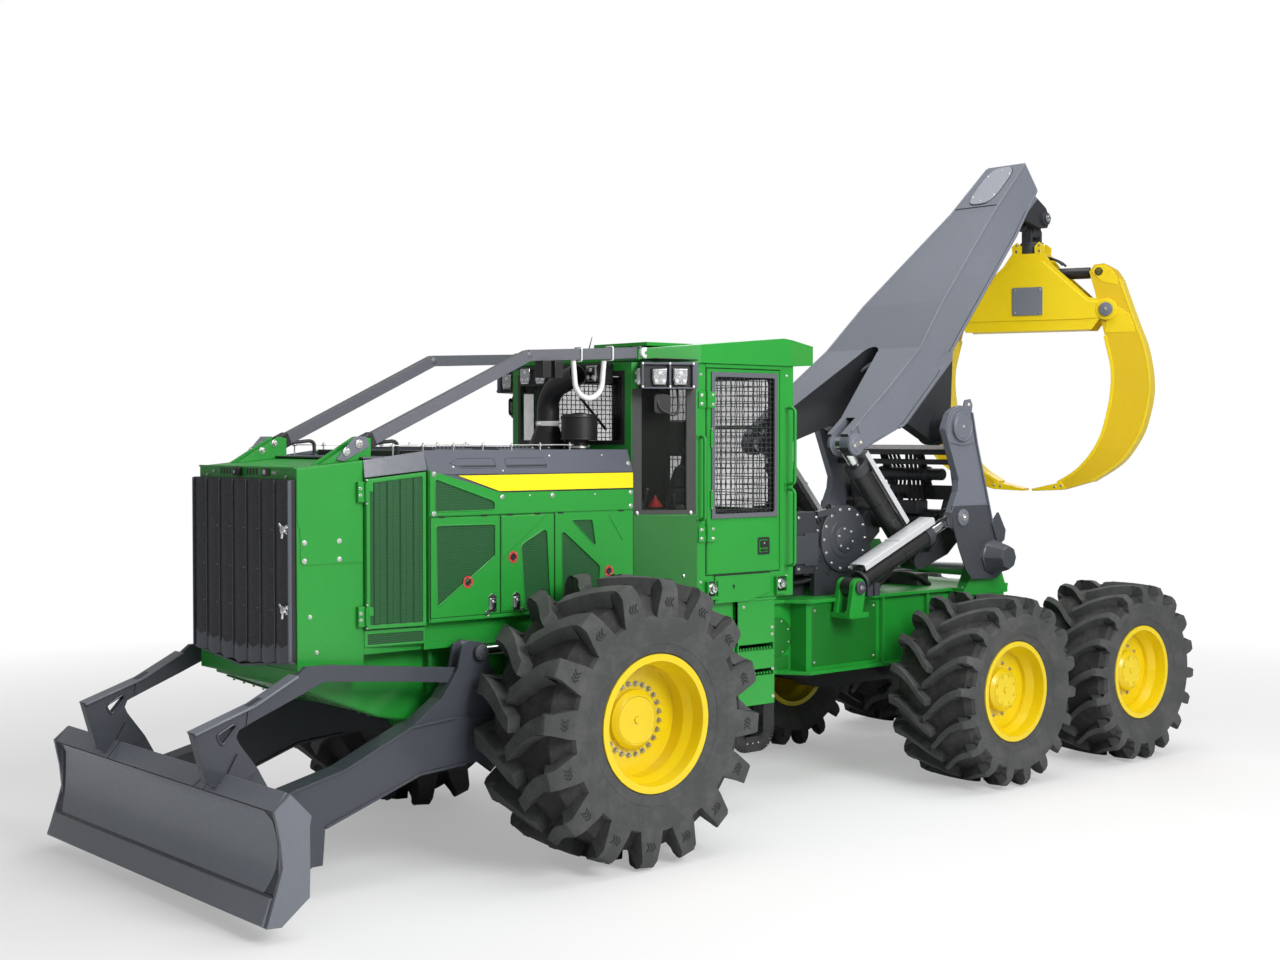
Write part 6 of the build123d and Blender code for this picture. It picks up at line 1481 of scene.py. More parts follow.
def rear_details():
    """Flanges, side covers, bolts, cylinder feet, pins and lamps of the rear frame."""
    green, deep, bolts, base, pins, lights = (Bits() for _ in range(6))
    for z in (1.432, 0.882):
        green.box((-4.950, -2.500), (0.498, 0.545), (z, z + 0.026))
    green.box((-2.500, -2.200), (0.328, 0.375), (1.432, 1.458))
    for z in (1.432, 0.882):
        green.plate([(-2.500, 0.540), (-2.500, 0.300), (-2.330, 0.300)], (z, z + 0.026), "z")
    for x in (-3.350, -3.900):
        green.plate(rectangle((x - 0.010, x + 0.010), (0.905, 1.435)), (0.499, 0.540))
    deep.turned((-2.350, 0.330, 1.170), OUTWARD, [(0, 0.150), (0.010, 0.150), (0.012, 0.144), (0.012, 0)],
                40)
    deep.plate(rectangle((-2.470, -2.230), (0.925, 1.020)), (0.329, 0.342))
    deep.plate(rectangle((-3.300, -2.560), (0.940, 1.400)), (0.499, 0.504))
    bolts.bolts(circle(0.128, (-2.350, 1.170), 8, 20), 0.341, 0.009)
    bolts.bolts([(x, z) for x in (-3.270, -2.590) for z in (0.970, 1.370)], 0.504, 0.011)
    # bolted feet of the arch towers and cylinder brackets
    for x in (-4.740, -4.560, -4.420, -4.240):
        bolts.bolt((x, 0.622, 1.460), UP, 0.014)
    for x in (-2.950, -2.800):
        bolts.bolt((x, 0.640, 1.350), UP, 0.013)
    green.mirror().done("rear_flanges", "rear", "green", bevel=0.002)
    # the covers inside the rear frame are green darkened as painted shade
    deep.mirror().done("rear_covers", "rear", "shade_painted_green", bevel=0.002)
    bolts.mirror().done("rear_bolts", "rear", "zinc", bevel=0.0008)
    base.disc((-2.873, 0.712, 1.545), OUTWARD, 0.052, 0.022)
    for x in (-3.080, -3.160):
        base.box((x - 0.030, x + 0.030), (0.560, 0.640), (1.460, 1.560))
    base.mirror().done("cylinder_feet", "rear", "winch", bevel=0.003)
    pins.bolt((-2.873, 0.734, 1.545), size=0.020)
    pins.turned((-4.495, 0.744, 1.712), OUTWARD, [(0, 0.052), (0.006, 0.050), (0.006, 0)], 24)
    pins.mirror().done("rear_pins", "rear", "bright", bevel=0.001)
    for y in (0.300, 0.400):
        lights.disc((-4.950, y, 1.300), (-1, 0, 0), 0.040, 0.020, 24)
    lights.mirror().done("tail_lamps", "rear", "red", bevel=0.001)


WINCH_AT = (-3.090, 1.900)


def winch_details():
    """Bolt circles, covers and the gear case front, the rope on the drum and the fairlead."""
    dark, bolts, holes, rope, fair = (Bits() for _ in range(5))
    x, z = WINCH_AT
    for r0, r1, y0, y1 in ((0.110, 0.104, 0.350, 0.372), (0.268, 0.262, 0.349, 0.358)):
        dark.turned((x, y0, z), OUTWARD, [(0, r0), (y1 - y0 - 0.004, r0), (y1 - y0, r1), (y1 - y0, 0)], 40)
    bolts.bolts(circle(0.238, WINCH_AT, 14), 0.357, 0.0125)
    bolts.bolts(circle(0.082, WINCH_AT, 6, math.degrees(0.3)), 0.372, 0.0105)
    dark.turned((x + 0.02, 0.350, z), OUTWARD, [(0, 0.150), (0.012, 0.150), (0.014, 0.140), (0.014, 0.118)],
                36)
    for k in range(5):
        a = math.radians(-60 + 30 * k)
        holes.turned((x + 0.295 * math.cos(a) + 0.02, 0.330, z + 0.295 * math.sin(a)), OUTWARD,
                     [(0, 0.026), (0.012, 0.026), (0.014, 0.020), (0.004, 0.018), (0.004, 0)], 16)
    dark.box((x + 0.290, x + 0.440), (0.150, 0.344), (1.700, 1.960))
    dark.box((x + 0.440, x + 0.556), (0.060, 0.352), (1.720, 1.940))
    dark.bar((x + 0.300, 0.330, 2.100), (x + 0.100, 0.345, 2.130), 0.040, 0.050)
    bolts.bolts([(x + dx, at_z) for at_z in (2.080, 1.680) for dx in (0.300, 0.500)], 0.331, 0.012)
    bolts.bolts(((x + 0.300, 1.975), (x + 0.215, 1.960)), 0.345, 0.010)
    dark.box((x + 0.330, x + 0.520), (-0.160, 0.160), (2.118, 2.160))
    dark.mirror().done("winch_covers", "rear", "winch", bevel=0.003)
    bolts.mirror().done("winch_bolts", "rear", "zinc", bevel=0.0008)
    holes.mirror().done("winch_ports", "rear", "black")
    turns, per_turn, path = 26, 18, []
    for radius, way in ((0.131, 1), (0.149, -1)):
        round_drum = circle(radius, WINCH_AT, per_turn) * turns
        path += [(at_x, way * (0.470 * k / len(round_drum) - 0.235), at_z)
                 for k, (at_x, at_z) in enumerate(round_drum + round_drum[:1])]
    rope.tube(path, 0.0095, 6)
    rope.done("winch_rope", "winch_drum", "bright", smooth=60)
    for y in (-0.330, 0.330):
        fair.plate(rectangle((-4.905, -4.760), (1.440, 1.640)), (y - 0.012, y + 0.012))
    fair.done("rear_fairlead_plates", "rear", "green", bevel=0.003)
    Bits().turned((-4.830, -0.318, 1.560), OUTWARD,
                  [(0, 0.045), (0.02, 0.055), (0.616, 0.055), (0.636, 0.045)],
                  28).done("rear_fairlead_roller", "rear", "bright")


def rear_hoses():
    """Hose bundles from the cab floor over the hitch to the winch, arch and boom."""
    bundle = Bits()
    for k in range(5):
        y = 0.080 + 0.042 * k
        hose(bundle, [(-2.230 - 0.01 * k, y, 1.470), (-2.350, y, 1.600),
                      (-2.560 - 0.03 * k, y + 0.02, 1.560),
                      (-2.800 - 0.02 * k, y + 0.06, 1.580 + 0.012 * k),
                      (-2.960, y + 0.08, 1.640 + 0.02 * k)], 0.015, 0.12)
    for k in range(4):
        y = -0.080 - 0.045 * k
        hose(bundle, [(-2.230, y, 1.470), (-2.420, y, 1.590), (-2.700, y - 0.05, 1.530 + 0.01 * k),
                      (-3.500, y - 0.05, 1.520 + 0.012 * k), (-4.150, y, 1.500)], 0.014, 0.15)
    for k in range(3):
        y = 0.200 + 0.036 * k
        hose(bundle, [(-3.560, y, 1.466), (-3.760, y, 1.600), (-4.060, y, 1.560), (-4.240, y, 1.466)],
             0.013, 0.12)
    bundle.done("rear_hoses", "rear", "hose")
    valve = Bits()
    valve.box((-3.780, -3.480), (-0.330, 0.060), (1.462, 1.640))
    for k in range(6):
        valve.box((-3.770 + 0.049 * k, -3.738 + 0.049 * k), (-0.320, 0.050), (1.640, 1.668))
    valve.box((-4.260, -4.120), (-0.240, 0.240), (1.462, 1.560))
    valve.done("valve_bank", "rear", "cast", bevel=0.004)


blade_plates()
blade_hooks()
cylinders()
steps()
belly_pan()
rear_details()
winch_details()
rear_hoses()


# ---- arch -------------------------------------------------------------------------
def arch_sides():
    """Pivot discs, joint lines, flanges, the bracket at the top, and the stubs at the foot with a dark
    plate as painted shade over the arch's lower part.
    """
    plates, shine, stub = Bits(), Bits(), Bits()
    face = 0.7485
    x, z = -4.076, 2.793
    plates.turned((x, face, z), OUTWARD,
                  [(0, 0.121), (0.006, 0.121), (0.008, 0.113), (0.002, 0.108), (0.002, 0.101),
                   (0.008, 0.096), (0.009, 0.020), (0.009, 0)], 48)
    shine.bolt((x, face + 0.009, z), size=0.012)
    # doubler round the boom pivot, and the bracket with its bolt at the top
    plates.plate([(-4.010, 2.925), (-4.075, 2.948), (-4.145, 2.935), (-4.196, 2.897), (-4.250, 2.660),
                  (-4.165, 2.640), (-4.060, 2.640), (-3.925, 2.665), (-3.900, 2.770), (-3.955, 2.893)],
                 (0.718, 0.728))
    plates.plate([(-4.205, 2.880), (-4.150, 2.945), (-4.175, 3.010), (-4.235, 3.020), (-4.262, 2.970),
                  (-4.250, 2.905)], (0.676, 0.700))
    shine.bolt((-4.212, 0.700, 2.972), size=0.017)
    # welded joint of the two plate sections, and the flanges along the rear and front edges
    plates.bar((-4.440, 0.721, 2.150), (-3.975, 0.721, 2.150), 0.012, 0.010)
    plates.bars(at_side([(-4.217, 2.909), (-4.280, 2.657), (-4.486, 2.011), (-4.522, 1.920),
                         (-4.604, 1.800)], 0.7035), 0.070, 0.012)
    plates.bars(at_side([(-3.938, 2.895), (-3.883, 2.773), (-4.057, 2.361), (-4.044, 2.262),
                         (-3.960, 2.090)], 0.6935), 0.066, 0.010)
    # cylinder pin boss; at the foot a tapered stub and a dark plate, both dark grey as painted shade over
    # the arch's lower part
    plates.turned((-4.107, 0.7250, 2.052), OUTWARD,
                  [(0, 0.070), (0.012, 0.068), (0.014, 0.050), (0.020, 0.048), (0.020, 0)], 36)
    shine.turned((-4.107, 0.7450, 2.052), OUTWARD, [(0, 0.030), (0.006, 0.028), (0.006, 0)], 28)
    shine.bolt((-4.107, 0.7510, 2.052), size=0.014)
    stub.plate([(-4.438, 2.146), (-3.973, 2.146), (-3.962, 2.090), (-3.995, 1.960), (-4.060, 1.800),
                (-4.150, 1.620), (-4.230, 1.540), (-4.560, 1.530), (-4.660, 1.600), (-4.690, 1.720),
                (-4.600, 1.800), (-4.518, 1.920), (-4.482, 2.011)], (0.7175, 0.7255),
               holes=[circle(0.060, (-4.495, 1.712), 24)])
    stub.turned((-4.495, 0.7185, 1.712), OUTWARD,
                [(0, 0.066), (0, 0.150), (0.020, 0.150), (0.030, 0.140), (0.170, 0.102), (0.182, 0.092),
                 (0.182, 0.0), (0.034, 0.0), (0.034, 0.066)], 8, ring=True)
    stub.plate([(-4.560, 1.800), (-4.640, 1.850), (-4.655, 1.930), (-4.560, 2.080), (-4.470, 1.990)],
               (0.722, 0.742))
    stub.mirror().done("arch_foot_shade_plate_and_stubs", "arch", "winch", bevel=0.006)
    plates.mirror().done("arch_plates", "arch", "grey", bevel=0.003)
    shine.mirror().done("arch_bolts", "arch", "zinc", bevel=0.001)


def arch_cross():
    """Bars, ribs and the round tube between the arch's two legs, and the lines along them."""
    cross, dark, pipes = Bits(), Bits(), Bits()
    cross.bar((-4.180, -0.668, 2.600), (-4.180, 0.668, 2.600), 0.110, 0.050, up=(0.4, 0, 1))
    cross.bar((-4.330, -0.668, 2.240), (-4.330, 0.668, 2.240), 0.060, 0.120)
    for y in (-0.380, -0.130, 0.130, 0.380):
        cross.plate([(-4.385, 1.985), (-4.215, 1.985), (-4.290, 2.180), (-4.360, 2.180)],
                    (y - 0.010, y + 0.010))
    for y in (-0.200, 0.200):
        cross.bar((-4.180, y, 2.600), (-4.330, y, 2.240), 0.080, 0.020, up=FORWARD)
    cross.box((-4.300, -4.160), (-0.200, 0.200), (2.060, 2.170))
    cross.bar((-4.150, -0.668, 2.500), (-4.150, 0.668, 2.500), 0.060, 0.045)
    cross.turned((-4.235, -0.420, 2.395), OUTWARD,
                 [(0, 0.040), (0.010, 0.052), (0.150, 0.052), (0.160, 0.066), (0.190, 0.066),
                  (0.200, 0.056), (0.650, 0.056), (0.660, 0.066), (0.690, 0.066), (0.700, 0.050),
                  (0.830, 0.050), (0.840, 0.038)], 28)
    for y in (-0.560, 0.560):
        cross.plate([(-4.400, 2.060), (-4.230, 2.060), (-4.130, 2.600), (-4.200, 2.630)],
                    (y - 0.012, y + 0.012))
    cross.done("arch_cross_members", "arch", "dark", bevel=0.005)
    for k in range(4):
        y = 0.060 + 0.045 * k
        dark.tube(rounded([(-4.230, y, 2.170), (-4.235, y, 2.330), (-4.160, y + 0.03, 2.450),
                           (-4.150, y + 0.03, 2.590)], 0.08), 0.014, 8)
        dark.tube(rounded(at_side([(-4.260, 2.170), (-4.390, 2.330), (-4.260, 2.480), (-4.200, 2.590)], -y),
                          0.09), 0.013, 8)
    dark.done("arch_hoses", "arch", "hose")
    for k in range(3):
        line = [(-4.330, 2.060), (-4.400, 2.200), (-4.310, 2.620), (-4.205, 2.880)]
        pipes.tube(rounded(at_side(line, 0.520 + 0.026 * k), 0.10), 0.009, 8)
    for x, z in ((-4.372, 2.300), (-4.300, 2.640)):
        pipes.bar((x, 0.500, z), (x, 0.600, z), 0.030, 0.020)
    pipes.done("arch_pipes", "arch", "cast")


# ---- boom -------------------------------------------------------------------------
BOOM_STATIONS = (((-2.880, 2.730), (-2.935, 2.560), 0.580), ((-3.384, 3.112), (-3.560, 2.800), 0.560),
                 ((-3.815, 3.440), (-4.040, 3.190), 0.510), ((-4.194, 3.837), (-4.440, 3.570), 0.430),
                 ((-5.137, 4.693), (-5.440, 4.480), 0.240), ((-5.617, 5.150), (-5.800, 4.930), 0.205))


def on_boom(along, depth, out=0.0):
    """A point of the boom's side: stations along it, depth 0 at the front edge to 1 at the rear."""
    i = min(int(along), 4)
    (front_a, rear_a, half_a), (front_b, rear_b, half_b) = BOOM_STATIONS[i], BOOM_STATIONS[i + 1]
    front, rear = (Vector(a).lerp(Vector(b), along - i) for a, b in ((front_a, front_b), (rear_a, rear_b)))
    x, z = front.lerp(rear, depth)
    return Vector((x, half_a + (half_b - half_a) * (along - i) + out, z))


def boom_strip(bits, depths, span, out):
    """A raised strip along the side between two depths."""
    stops = [span[0]] + [float(k) for k in range(6) if span[0] < k < span[1]] + [span[1]]
    (a, b), low = depths, -0.004
    bits.skin([[on_boom(s, a, low), on_boom(s, a, out), on_boom(s, b, out), on_boom(s, b, low)]
               for s in stops])


def boom_sides():
    """Edge strips, the leg's doubler, pin bosses with their retainers and the head pin's caps."""
    strips, seam, shine = Bits(), Bits(), Bits()
    boom_strip(strips, (-0.015, 0.050), (0.06, 4.97), 0.010)
    boom_strip(strips, (0.945, 1.015), (0.90, 4.97), 0.010)
    boom_strip(strips, (0.060, 0.935), (0.20, 0.62), 0.009)
    boom_strip(seam, (0.925, 0.940), (0.95, 4.50), 0.002)
    # pin boss and retainer at the leg's tip
    eye = Vector((-2.958, 0.590, 2.652))
    strips.turned(eye, OUTWARD, [(0, 0.088), (0.012, 0.086), (0.014, 0.058), (0.020, 0.056), (0.020, 0)],
                  36)
    strips.mirror().done("boom_strips", "boom", "boom", bevel=0.003)
    seam.mirror().done("boom_seams", "boom", "dark")
    shine.bar(eye + Vector((-0.050, 0.022, 0.020)), eye + Vector((0.050, 0.022, -0.020)), 0.008, 0.036)
    for k in (-1, 1):
        shine.bolt(eye + Vector((k * 0.034, 0.026, -k * 0.0136)), size=0.012)
    shine.mirror().done("boom_bolts", "boom", "zinc", bevel=0.001)
    pin = Vector((-6.000, 0.178, 4.690))
    caps = Bits().turned(pin, OUTWARD, [(0, 0.036), (0.006, 0.036), (0.008, 0.032), (0.008, 0)], 28)
    caps.bolts(circle(0.018, (pin.x, pin.z), 2, 60), pin.y + 0.008, 0.011)
    caps.mirror().done("head_pin_caps", "head_pin", "silver", bevel=0.001)


def boom_front():
    """The band round the tear-shaped opening, and the bolted cover on the head's front face."""
    band, seam, screws = Bits(), Bits(), Bits()
    low, up = Vector((-2.900, 0, 2.640)), Vector((-3.815 + 2.880, 0, 3.440 - 2.730)).normalized()
    off = Vector((-up.z, 0, up.x)) * 0.052
    edge = [(0.40, 0.343), (0.70, 0.258), (1.00, 0.172), (1.150, 0.090)]
    tip = [(1.150 + 0.090 * math.sin(t), 0.090 * math.cos(t))
           for t in (math.radians(22.5 * k) for k in range(1, 8))]
    opening = edge + tip + [(u, -v) for u, v in reversed(edge)]
    band.tube([low + up * u + off + Vector((0, v, 0)) for u, v in opening], 0.016, 8)
    head = Vector((-5.137, 0, 4.693))
    run = (Vector((-5.617, 0, 5.150)) - head).normalized()
    out = Vector((run.z, 0, -run.x))
    centre = head + run * 0.365
    cover = [(0.262 * math.copysign(abs(math.cos(t)) ** 0.62, math.cos(t)),
              0.140 * math.copysign(abs(math.sin(t)) ** 0.62, math.sin(t)))
             for t in (2 * math.pi * k / 36 for k in range(36))]

    def on_head(u, v, depth):
        return centre + run * u + Vector((0, v, 0)) + out * depth
    seam.plate(rectangle((-0.305, -0.293), (-0.236, 0.236)), (-0.002, 0.003), on_head)
    seam.plate([(u * 1.02, v * 1.04) for u, v in cover], (-0.002, 0.004), on_head)
    seam.done("boom_cover_gasket", "boom", "black")
    band.done("boom_opening_band", "boom", "boom", bevel=0.003)
    Bits().plate(cover, (-0.002, 0.010), on_head).done("boom_head_cover", "boom", "pale", bevel=0.003)
    for u, v in ((-0.215, 0), (0.215, 0), (-0.150, 0.115), (-0.150, -0.115), (0.150, 0.115),
                 (0.150, -0.115)):
        screws.bolt(on_head(u, v, 0.010), out, 0.008)
    screws.done("boom_cover_screws", "boom", "zinc")


def boom_lines():
    """Pipes down the boom's rear face in their clamps, and the hoses at the head."""
    pipes, head = Bits(), Bits()
    for k in range(4):
        line = [(-4.110, 3.140), (-4.500, 3.530), (-5.450, 4.410), (-5.660, 4.620)]
        pipes.tube(rounded(at_side(line, -0.075 + 0.050 * k), 0.12), 0.013, 8)
    for x, z in ((-4.300, 3.370), (-4.800, 3.840), (-5.250, 4.250)):
        pipes.bar((x - 0.022, -0.110, z - 0.020), (x - 0.022, 0.110, z - 0.020), 0.040, 0.034,
                  up=(-1, 0, -1))
    pipes.done("boom_pipes", "boom", "cast")
    head.turned((-5.800, 0.0, 4.880), (-0.35, 0, -0.94),
                [(0, 0.060), (0.02, 0.072), (0.085, 0.072), (0.095, 0.050)], 24)
    for side in (1, -1):
        head.tube(rounded([(-5.660, side * 0.050, 4.660), (-5.740, side * 0.060, 4.560),
                           (-5.830, side * 0.060, 4.610), (-5.860, side * 0.045, 4.720)], 0.06), 0.016, 8)
    head.done("boom_head_hoses", "boom", "hose")


# ---- grapple ----------------------------------------------------------------------
CHEEK_OUT, TONG_OUT = 0.135, 0.105    # half widths over the cheeks and over a tong


def cheeks():
    """Layered cheeks, pin caps, cover plates, spacers, hoses and bolts of the grapple body."""
    layer, pins, bolts, cover, hoses = (Bits() for _ in range(5))
    half = [(0.475, 3.765), (0.600, 3.772), (0.700, 3.790), (0.752, 3.847), (0.700, 3.900), (0.540, 3.928),
            (0.205, 4.232), (0.130, 4.300)]
    outline = half + [(-s, z) for s, z in reversed(half)]
    for side in (1, -1):
        d = GRAPPLE_X + side * CHEEK_OUT
        layer.plate(outline, (d - side * 0.004, d + side * 0.008), "x")
        cover.plate(rectangle((-0.138, 0.138), (3.812, 4.066), 0.014), (d + side * 0.006, d + side * 0.018),
                    "x")
        for u in (-0.114, 0.114):
            for v in (3.836, 4.042):
                bolts.bolt((d + side * 0.018, u, v), (side, 0, 0), 0.009)
        for end in (1, -1):
            pins.turned((d + side * 0.024, end * 0.707, 3.847), (side, 0, 0),
                        [(0, 0.062), (0.010, 0.060), (0.013, 0.052), (0.013, 0)], 32)
            bolts.bolt((d + side * 0.037, end * 0.707, 3.847), (side, 0, 0), 0.015)
            layer.turned((d, end * 0.707, 3.847), (side, 0, 0),
                         [(0, 0.096), (0.012, 0.094), (0.014, 0.070), (0.014, 0)], 32)
            for z, size in ((4.395, 0.013), (4.445, 0.010)):
                bolts.bolt((d, end * 0.104, z), (side, 0, 0), size)
        hoses.tube(rounded([(GRAPPLE_X + side * x, y, z)
                            for x, y, z in ((0.050, 0.070, 4.345), (0.055, 0.200, 4.330),
                                            (0.062, 0.270, 4.290), (0.062, 0.300, 4.262))], 0.05), 0.011, 8)
    for y in (-0.440, -0.150, 0.150, 0.440):
        layer.box((GRAPPLE_X - 0.114, GRAPPLE_X + 0.114), (y - 0.008, y + 0.008), (3.695, 3.760))
    for bits, name, look, bevel in ((layer, "cheek_plates", "grapple", 0.003),
                                    (pins, "cheek_pin_caps", "grey", 0.001),
                                    (bolts, "cheek_bolts", "zinc", 0),
                                    (cover, "cheek_cover", "blade_edge", 0.003),
                                    (hoses, "grapple_hoses", "hose", 0)):
        bits.turn_grapple().done(name, "grapple", look, bevel=bevel)


def rotator_fittings():
    """The rotator's collar with its bolts, the cross pin's ends and the hose ports."""
    collar, ports = Bits(), Bits()
    collar.turned((GRAPPLE_X, 0, 4.372), UP,
                  [(0, 0.101), (0.0, 0.108), (0.018, 0.108), (0.020, 0.101), (0.086, 0.101), (0.088, 0.106),
                   (0.104, 0.106), (0.106, 0.098)], 40)
    for x, y in circle(0.070, (GRAPPLE_X, 0), 8):
        collar.bolt((x, y, 4.480), UP, 0.009)
    for side in (1, -1):
        collar.turned((GRAPPLE_X + side * 0.090, 0, 4.583), (side, 0, 0),
                      [(0, 0.034), (0.008, 0.032), (0.008, 0)])
        ports.turned((GRAPPLE_X, side * 0.098, 4.426), (0, side, 0),
                     [(0, 0.022), (0.030, 0.022), (0.032, 0.016)], 12)
    collar.done("rotator_collar", "rotator", "cast", bevel=0.001)
    ports.done("rotator_ports", "rotator", "hose")


def smooth_line(points, steps=4):
    """A smooth curve through the points."""
    points = [Vector(p) for p in points]
    line = []
    for i in range(len(points) - 1):
        before, a, b = points[max(i - 1, 0)], points[i], points[i + 1]
        after = points[min(i + 2, len(points) - 1)]
        for k in range(steps):
            t = k / steps
            line.append(0.5 * (a * 2 + (b - before) * t + (before * 2 - a * 5 + b * 4 - after) * t * t +
                               (a * 3 - before - b * 3 + after) * t ** 3))
    return line + [points[-1]]


def tong_details():
    """Edge bands, tip plates, hub gussets and lever pins of each tong."""
    outer = [(0.575, 2.306), (0.780, 2.440), (0.889, 2.552), (1.000, 2.740), (1.055, 2.925), (1.085, 3.110),
             (1.075, 3.300), (1.030, 3.520), (0.960, 3.710), (0.870, 3.960), (0.815, 4.120)]
    inner = [(0.270, 2.290), (0.440, 2.400), (0.574, 2.551), (0.665, 2.720), (0.721, 2.928), (0.745, 3.060),
             (0.757, 3.209), (0.750, 3.350), (0.718, 3.490), (0.690, 3.610)]
    half = TONG_OUT + 0.0025
    for name, side in (("left", 1), ("right", -1)):
        bands, tips, caps, bolts = Bits(), Bits(), Bits(), Bits()
        for edge, lift, deep in ((outer, 0.006, -2), (inner, -0.014, -1)):
            edge = smooth_line(edge)
            rows = []
            for i, (s_at, z_at) in enumerate(edge):
                a, b = edge[max(i - 1, 0)], edge[min(i + 1, len(edge) - 1)]
                along = Vector((b[0] - a[0], b[1] - a[1])).normalized()
                off = Vector((along.y, -along.x)) * lift
                rows.append([(GRAPPLE_X + u, side * (s_at + off.x * k), z_at + off.y * k)
                             for u, k in ((-half, deep), (half, deep), (half, 1), (-half, 1))])
            bands.skin(rows)
        for face in (1, -1):
            d = GRAPPLE_X + face * TONG_OUT

            def outline(*points):
                return [(side * s, z) for s, z in points]
            beside_hub = outline((0.690, 3.640), (0.960, 3.640), (0.905, 3.800), (0.800, 3.870),
                                 (0.700, 3.760))
            round_lever = outline((0.655, 4.100), (0.800, 4.060), (0.790, 4.130), (0.745, 4.200),
                                  (0.677, 4.248), (0.600, 4.240), (0.565, 4.190))
            for gusset in (beside_hub, round_lever):
                bands.plate(gusset, (d - face * 0.004, d + face * 0.003), "x")
            tips.plate(outline((0.050, 2.217), (0.311, 2.228), (0.352, 2.241), (0.300, 2.304),
                               (0.262, 2.286), (0.050, 2.236)), (d - face * 0.004, d + face * 0.006), "x")
            for u, v in ((0.250, 2.256), (0.310, 2.266)):
                bolts.bolt((d + face * 0.006, side * u, v), (face, 0, 0), 0.011)
            caps.turned((d, side * 0.631, 4.187), (face, 0, 0),
                        [(0, 0.046), (0.0026, 0.045), (0.0030, 0.038), (0.0030, 0)], 28)
        for bits, suffix, look in ((bands, "_bands", "grapple"), (tips, "_tip_plates", "grapple"),
                                   (caps, "_lever_pins", "cast"), (bolts, "_tip_bolts", "zinc")):
            bits.turn_grapple().done("tong_" + name + suffix, "tong_" + name, look, bevel=0.002)


arch_sides()
arch_cross()
boom_sides()
boom_front()
boom_lines()
cheeks()
rotator_fittings()
tong_details()


# ---- seat -------------------------------------------------------------------------
def puff(piece, cap):
    """Swells a closed form like a stuffed cover, moving no point further than the cap."""
    cloth = piece.modifiers.new("stuffing", "CLOTH")
    settings = cloth.settings
    settings.use_pressure, settings.uniform_pressure_force = True, 4.0
    settings.effector_weights.gravity = 0.0
    cloth.point_cache.frame_start, cloth.point_cache.frame_end = 1, 20
    for number in range(1, 21):
        bpy.context.scene.frame_set(number)
    swelled = piece.evaluated_get(bpy.context.evaluated_depsgraph_get()).to_mesh()
    moved = [vert.co.copy() for vert in swelled.vertices]
    piece.evaluated_get(bpy.context.evaluated_depsgraph_get()).to_mesh_clear()
    piece.modifiers.remove(cloth)
    for vert, place in zip(piece.data.vertices, moved):
        step = place - vert.co
        vert.co += step * min(1.0, cap / max(step.length, 1e-6))
    bpy.context.scene.frame_set(1)


def pad(name, rings, channels):
    """A stuffed cover from its plain form, with sewn channels pressed in afterwards."""
    bits = Bits()
    bits.skin(rings)
    piece = bits.done(name, "front", "fabric", smooth=180)
    remesh = piece.modifiers.new("voxels", "REMESH")
    remesh.mode, remesh.voxel_size = "VOXEL", 0.009
    mesh = bpy.data.meshes.new_from_object(piece.evaluated_get(bpy.context.evaluated_depsgraph_get()))
    piece.modifiers.clear()
    piece.data = mesh
    puff(piece, 0.016)
    for vert in mesh.vertices:
        place = vert.co - Vector((FRONT_AXLE_X, 0, 0))
        vert.co += channels(place, vert.normal)
    mesh.shade_smooth()
    piece.modifiers.new("finish", "SUBSURF").levels = 1
    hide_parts("operator_seat")
    return piece


def pressed(distance, width, depth):
    """The depth of a sewn channel at a distance from its middle."""
    return depth * math.exp(-(distance / width) ** 2)


def seat():
    """Suspension seat: stuffed cushion and back with its head rest, piping and shell."""
    def level(z, half, x0, x1, radius):
        return [(x, y, z) for x, y in rectangle((x0, x1), (-half, half), radius)]
    cushion = [level(*row, 0.060) for row in ((1.962, 0.205, -1.640, -1.245),
                                              (1.985, 0.232, -1.668, -1.220),
                                              (2.025, 0.232, -1.668, -1.220),
                                              (2.042, 0.205, -1.640, -1.250))]

    def seat_channels(place, normal):
        lines = pressed(abs(place.y) - 0.130, 0.010, 0.012) + pressed(place.x + 1.400, 0.010, 0.009)
        return -normal * (lines if normal.z > 0.4 else 0.0)
    pad("seat_cushion", cushion, seat_channels)
    back = []
    for t, half, inset in ((0.06, 0.150, 0.020), (0.12, 0.185, 0.0), (0.50, 0.200, 0.0), (0.66, 0.175, 0.0),
                           (0.72, 0.130, 0.006), (0.78, 0.125, 0.006), (0.93, 0.130, 0.0),
                           (0.975, 0.100, 0.022)):
        rear, front = -1.700 - 0.130 * t + inset, -1.612 - 0.160 * t - inset
        back.append(level(2.060 + 0.620 * t, half, rear, front, 0.030))

    def back_channels(place, normal):
        lines = pressed(abs(place.y) - 0.115, 0.009, 0.012)
        lines += sum(pressed(place.z - z, 0.009, 0.008) for z in (2.200, 2.320, 2.495))
        return -normal * (lines if normal.x > 0.4 else 0.0)
    pad("seat_back", back, back_channels)
    piping, shell = Bits(), Bits()
    for row in ((1.990, 0.242, -1.680, -1.210), (2.034, 0.238, -1.676, -1.214)):
        loop = level(*row, 0.065)
        piping.tube(loop + loop[:2], 0.0045, 6)
    piping.done("seat_piping", "front", "plastic")
    shell.plate([(-1.700, 1.950), (-1.690, 1.944), (-1.215, 1.944), (-1.205, 1.958), (-1.690, 1.962)],
                (-0.225, 0.225))
    shell.plate([(-1.716, 2.070), (-1.706, 2.070), (-1.820, 2.630), (-1.832, 2.630)], (-0.150, 0.150))
    for side in (1, -1):
        shell.bar((-1.715, side * 0.205, 1.955), (-1.735, side * 0.205, 2.140), 0.020, 0.060)
        shell.turned((-1.700, side * 0.205, 2.070), (0, side, 0),
                     [(0, 0.036), (0.014, 0.034), (0.018, 0.020), (0.018, 0)], 20)
    shell.done("seat_shell", "front", "black", bevel=0.003)


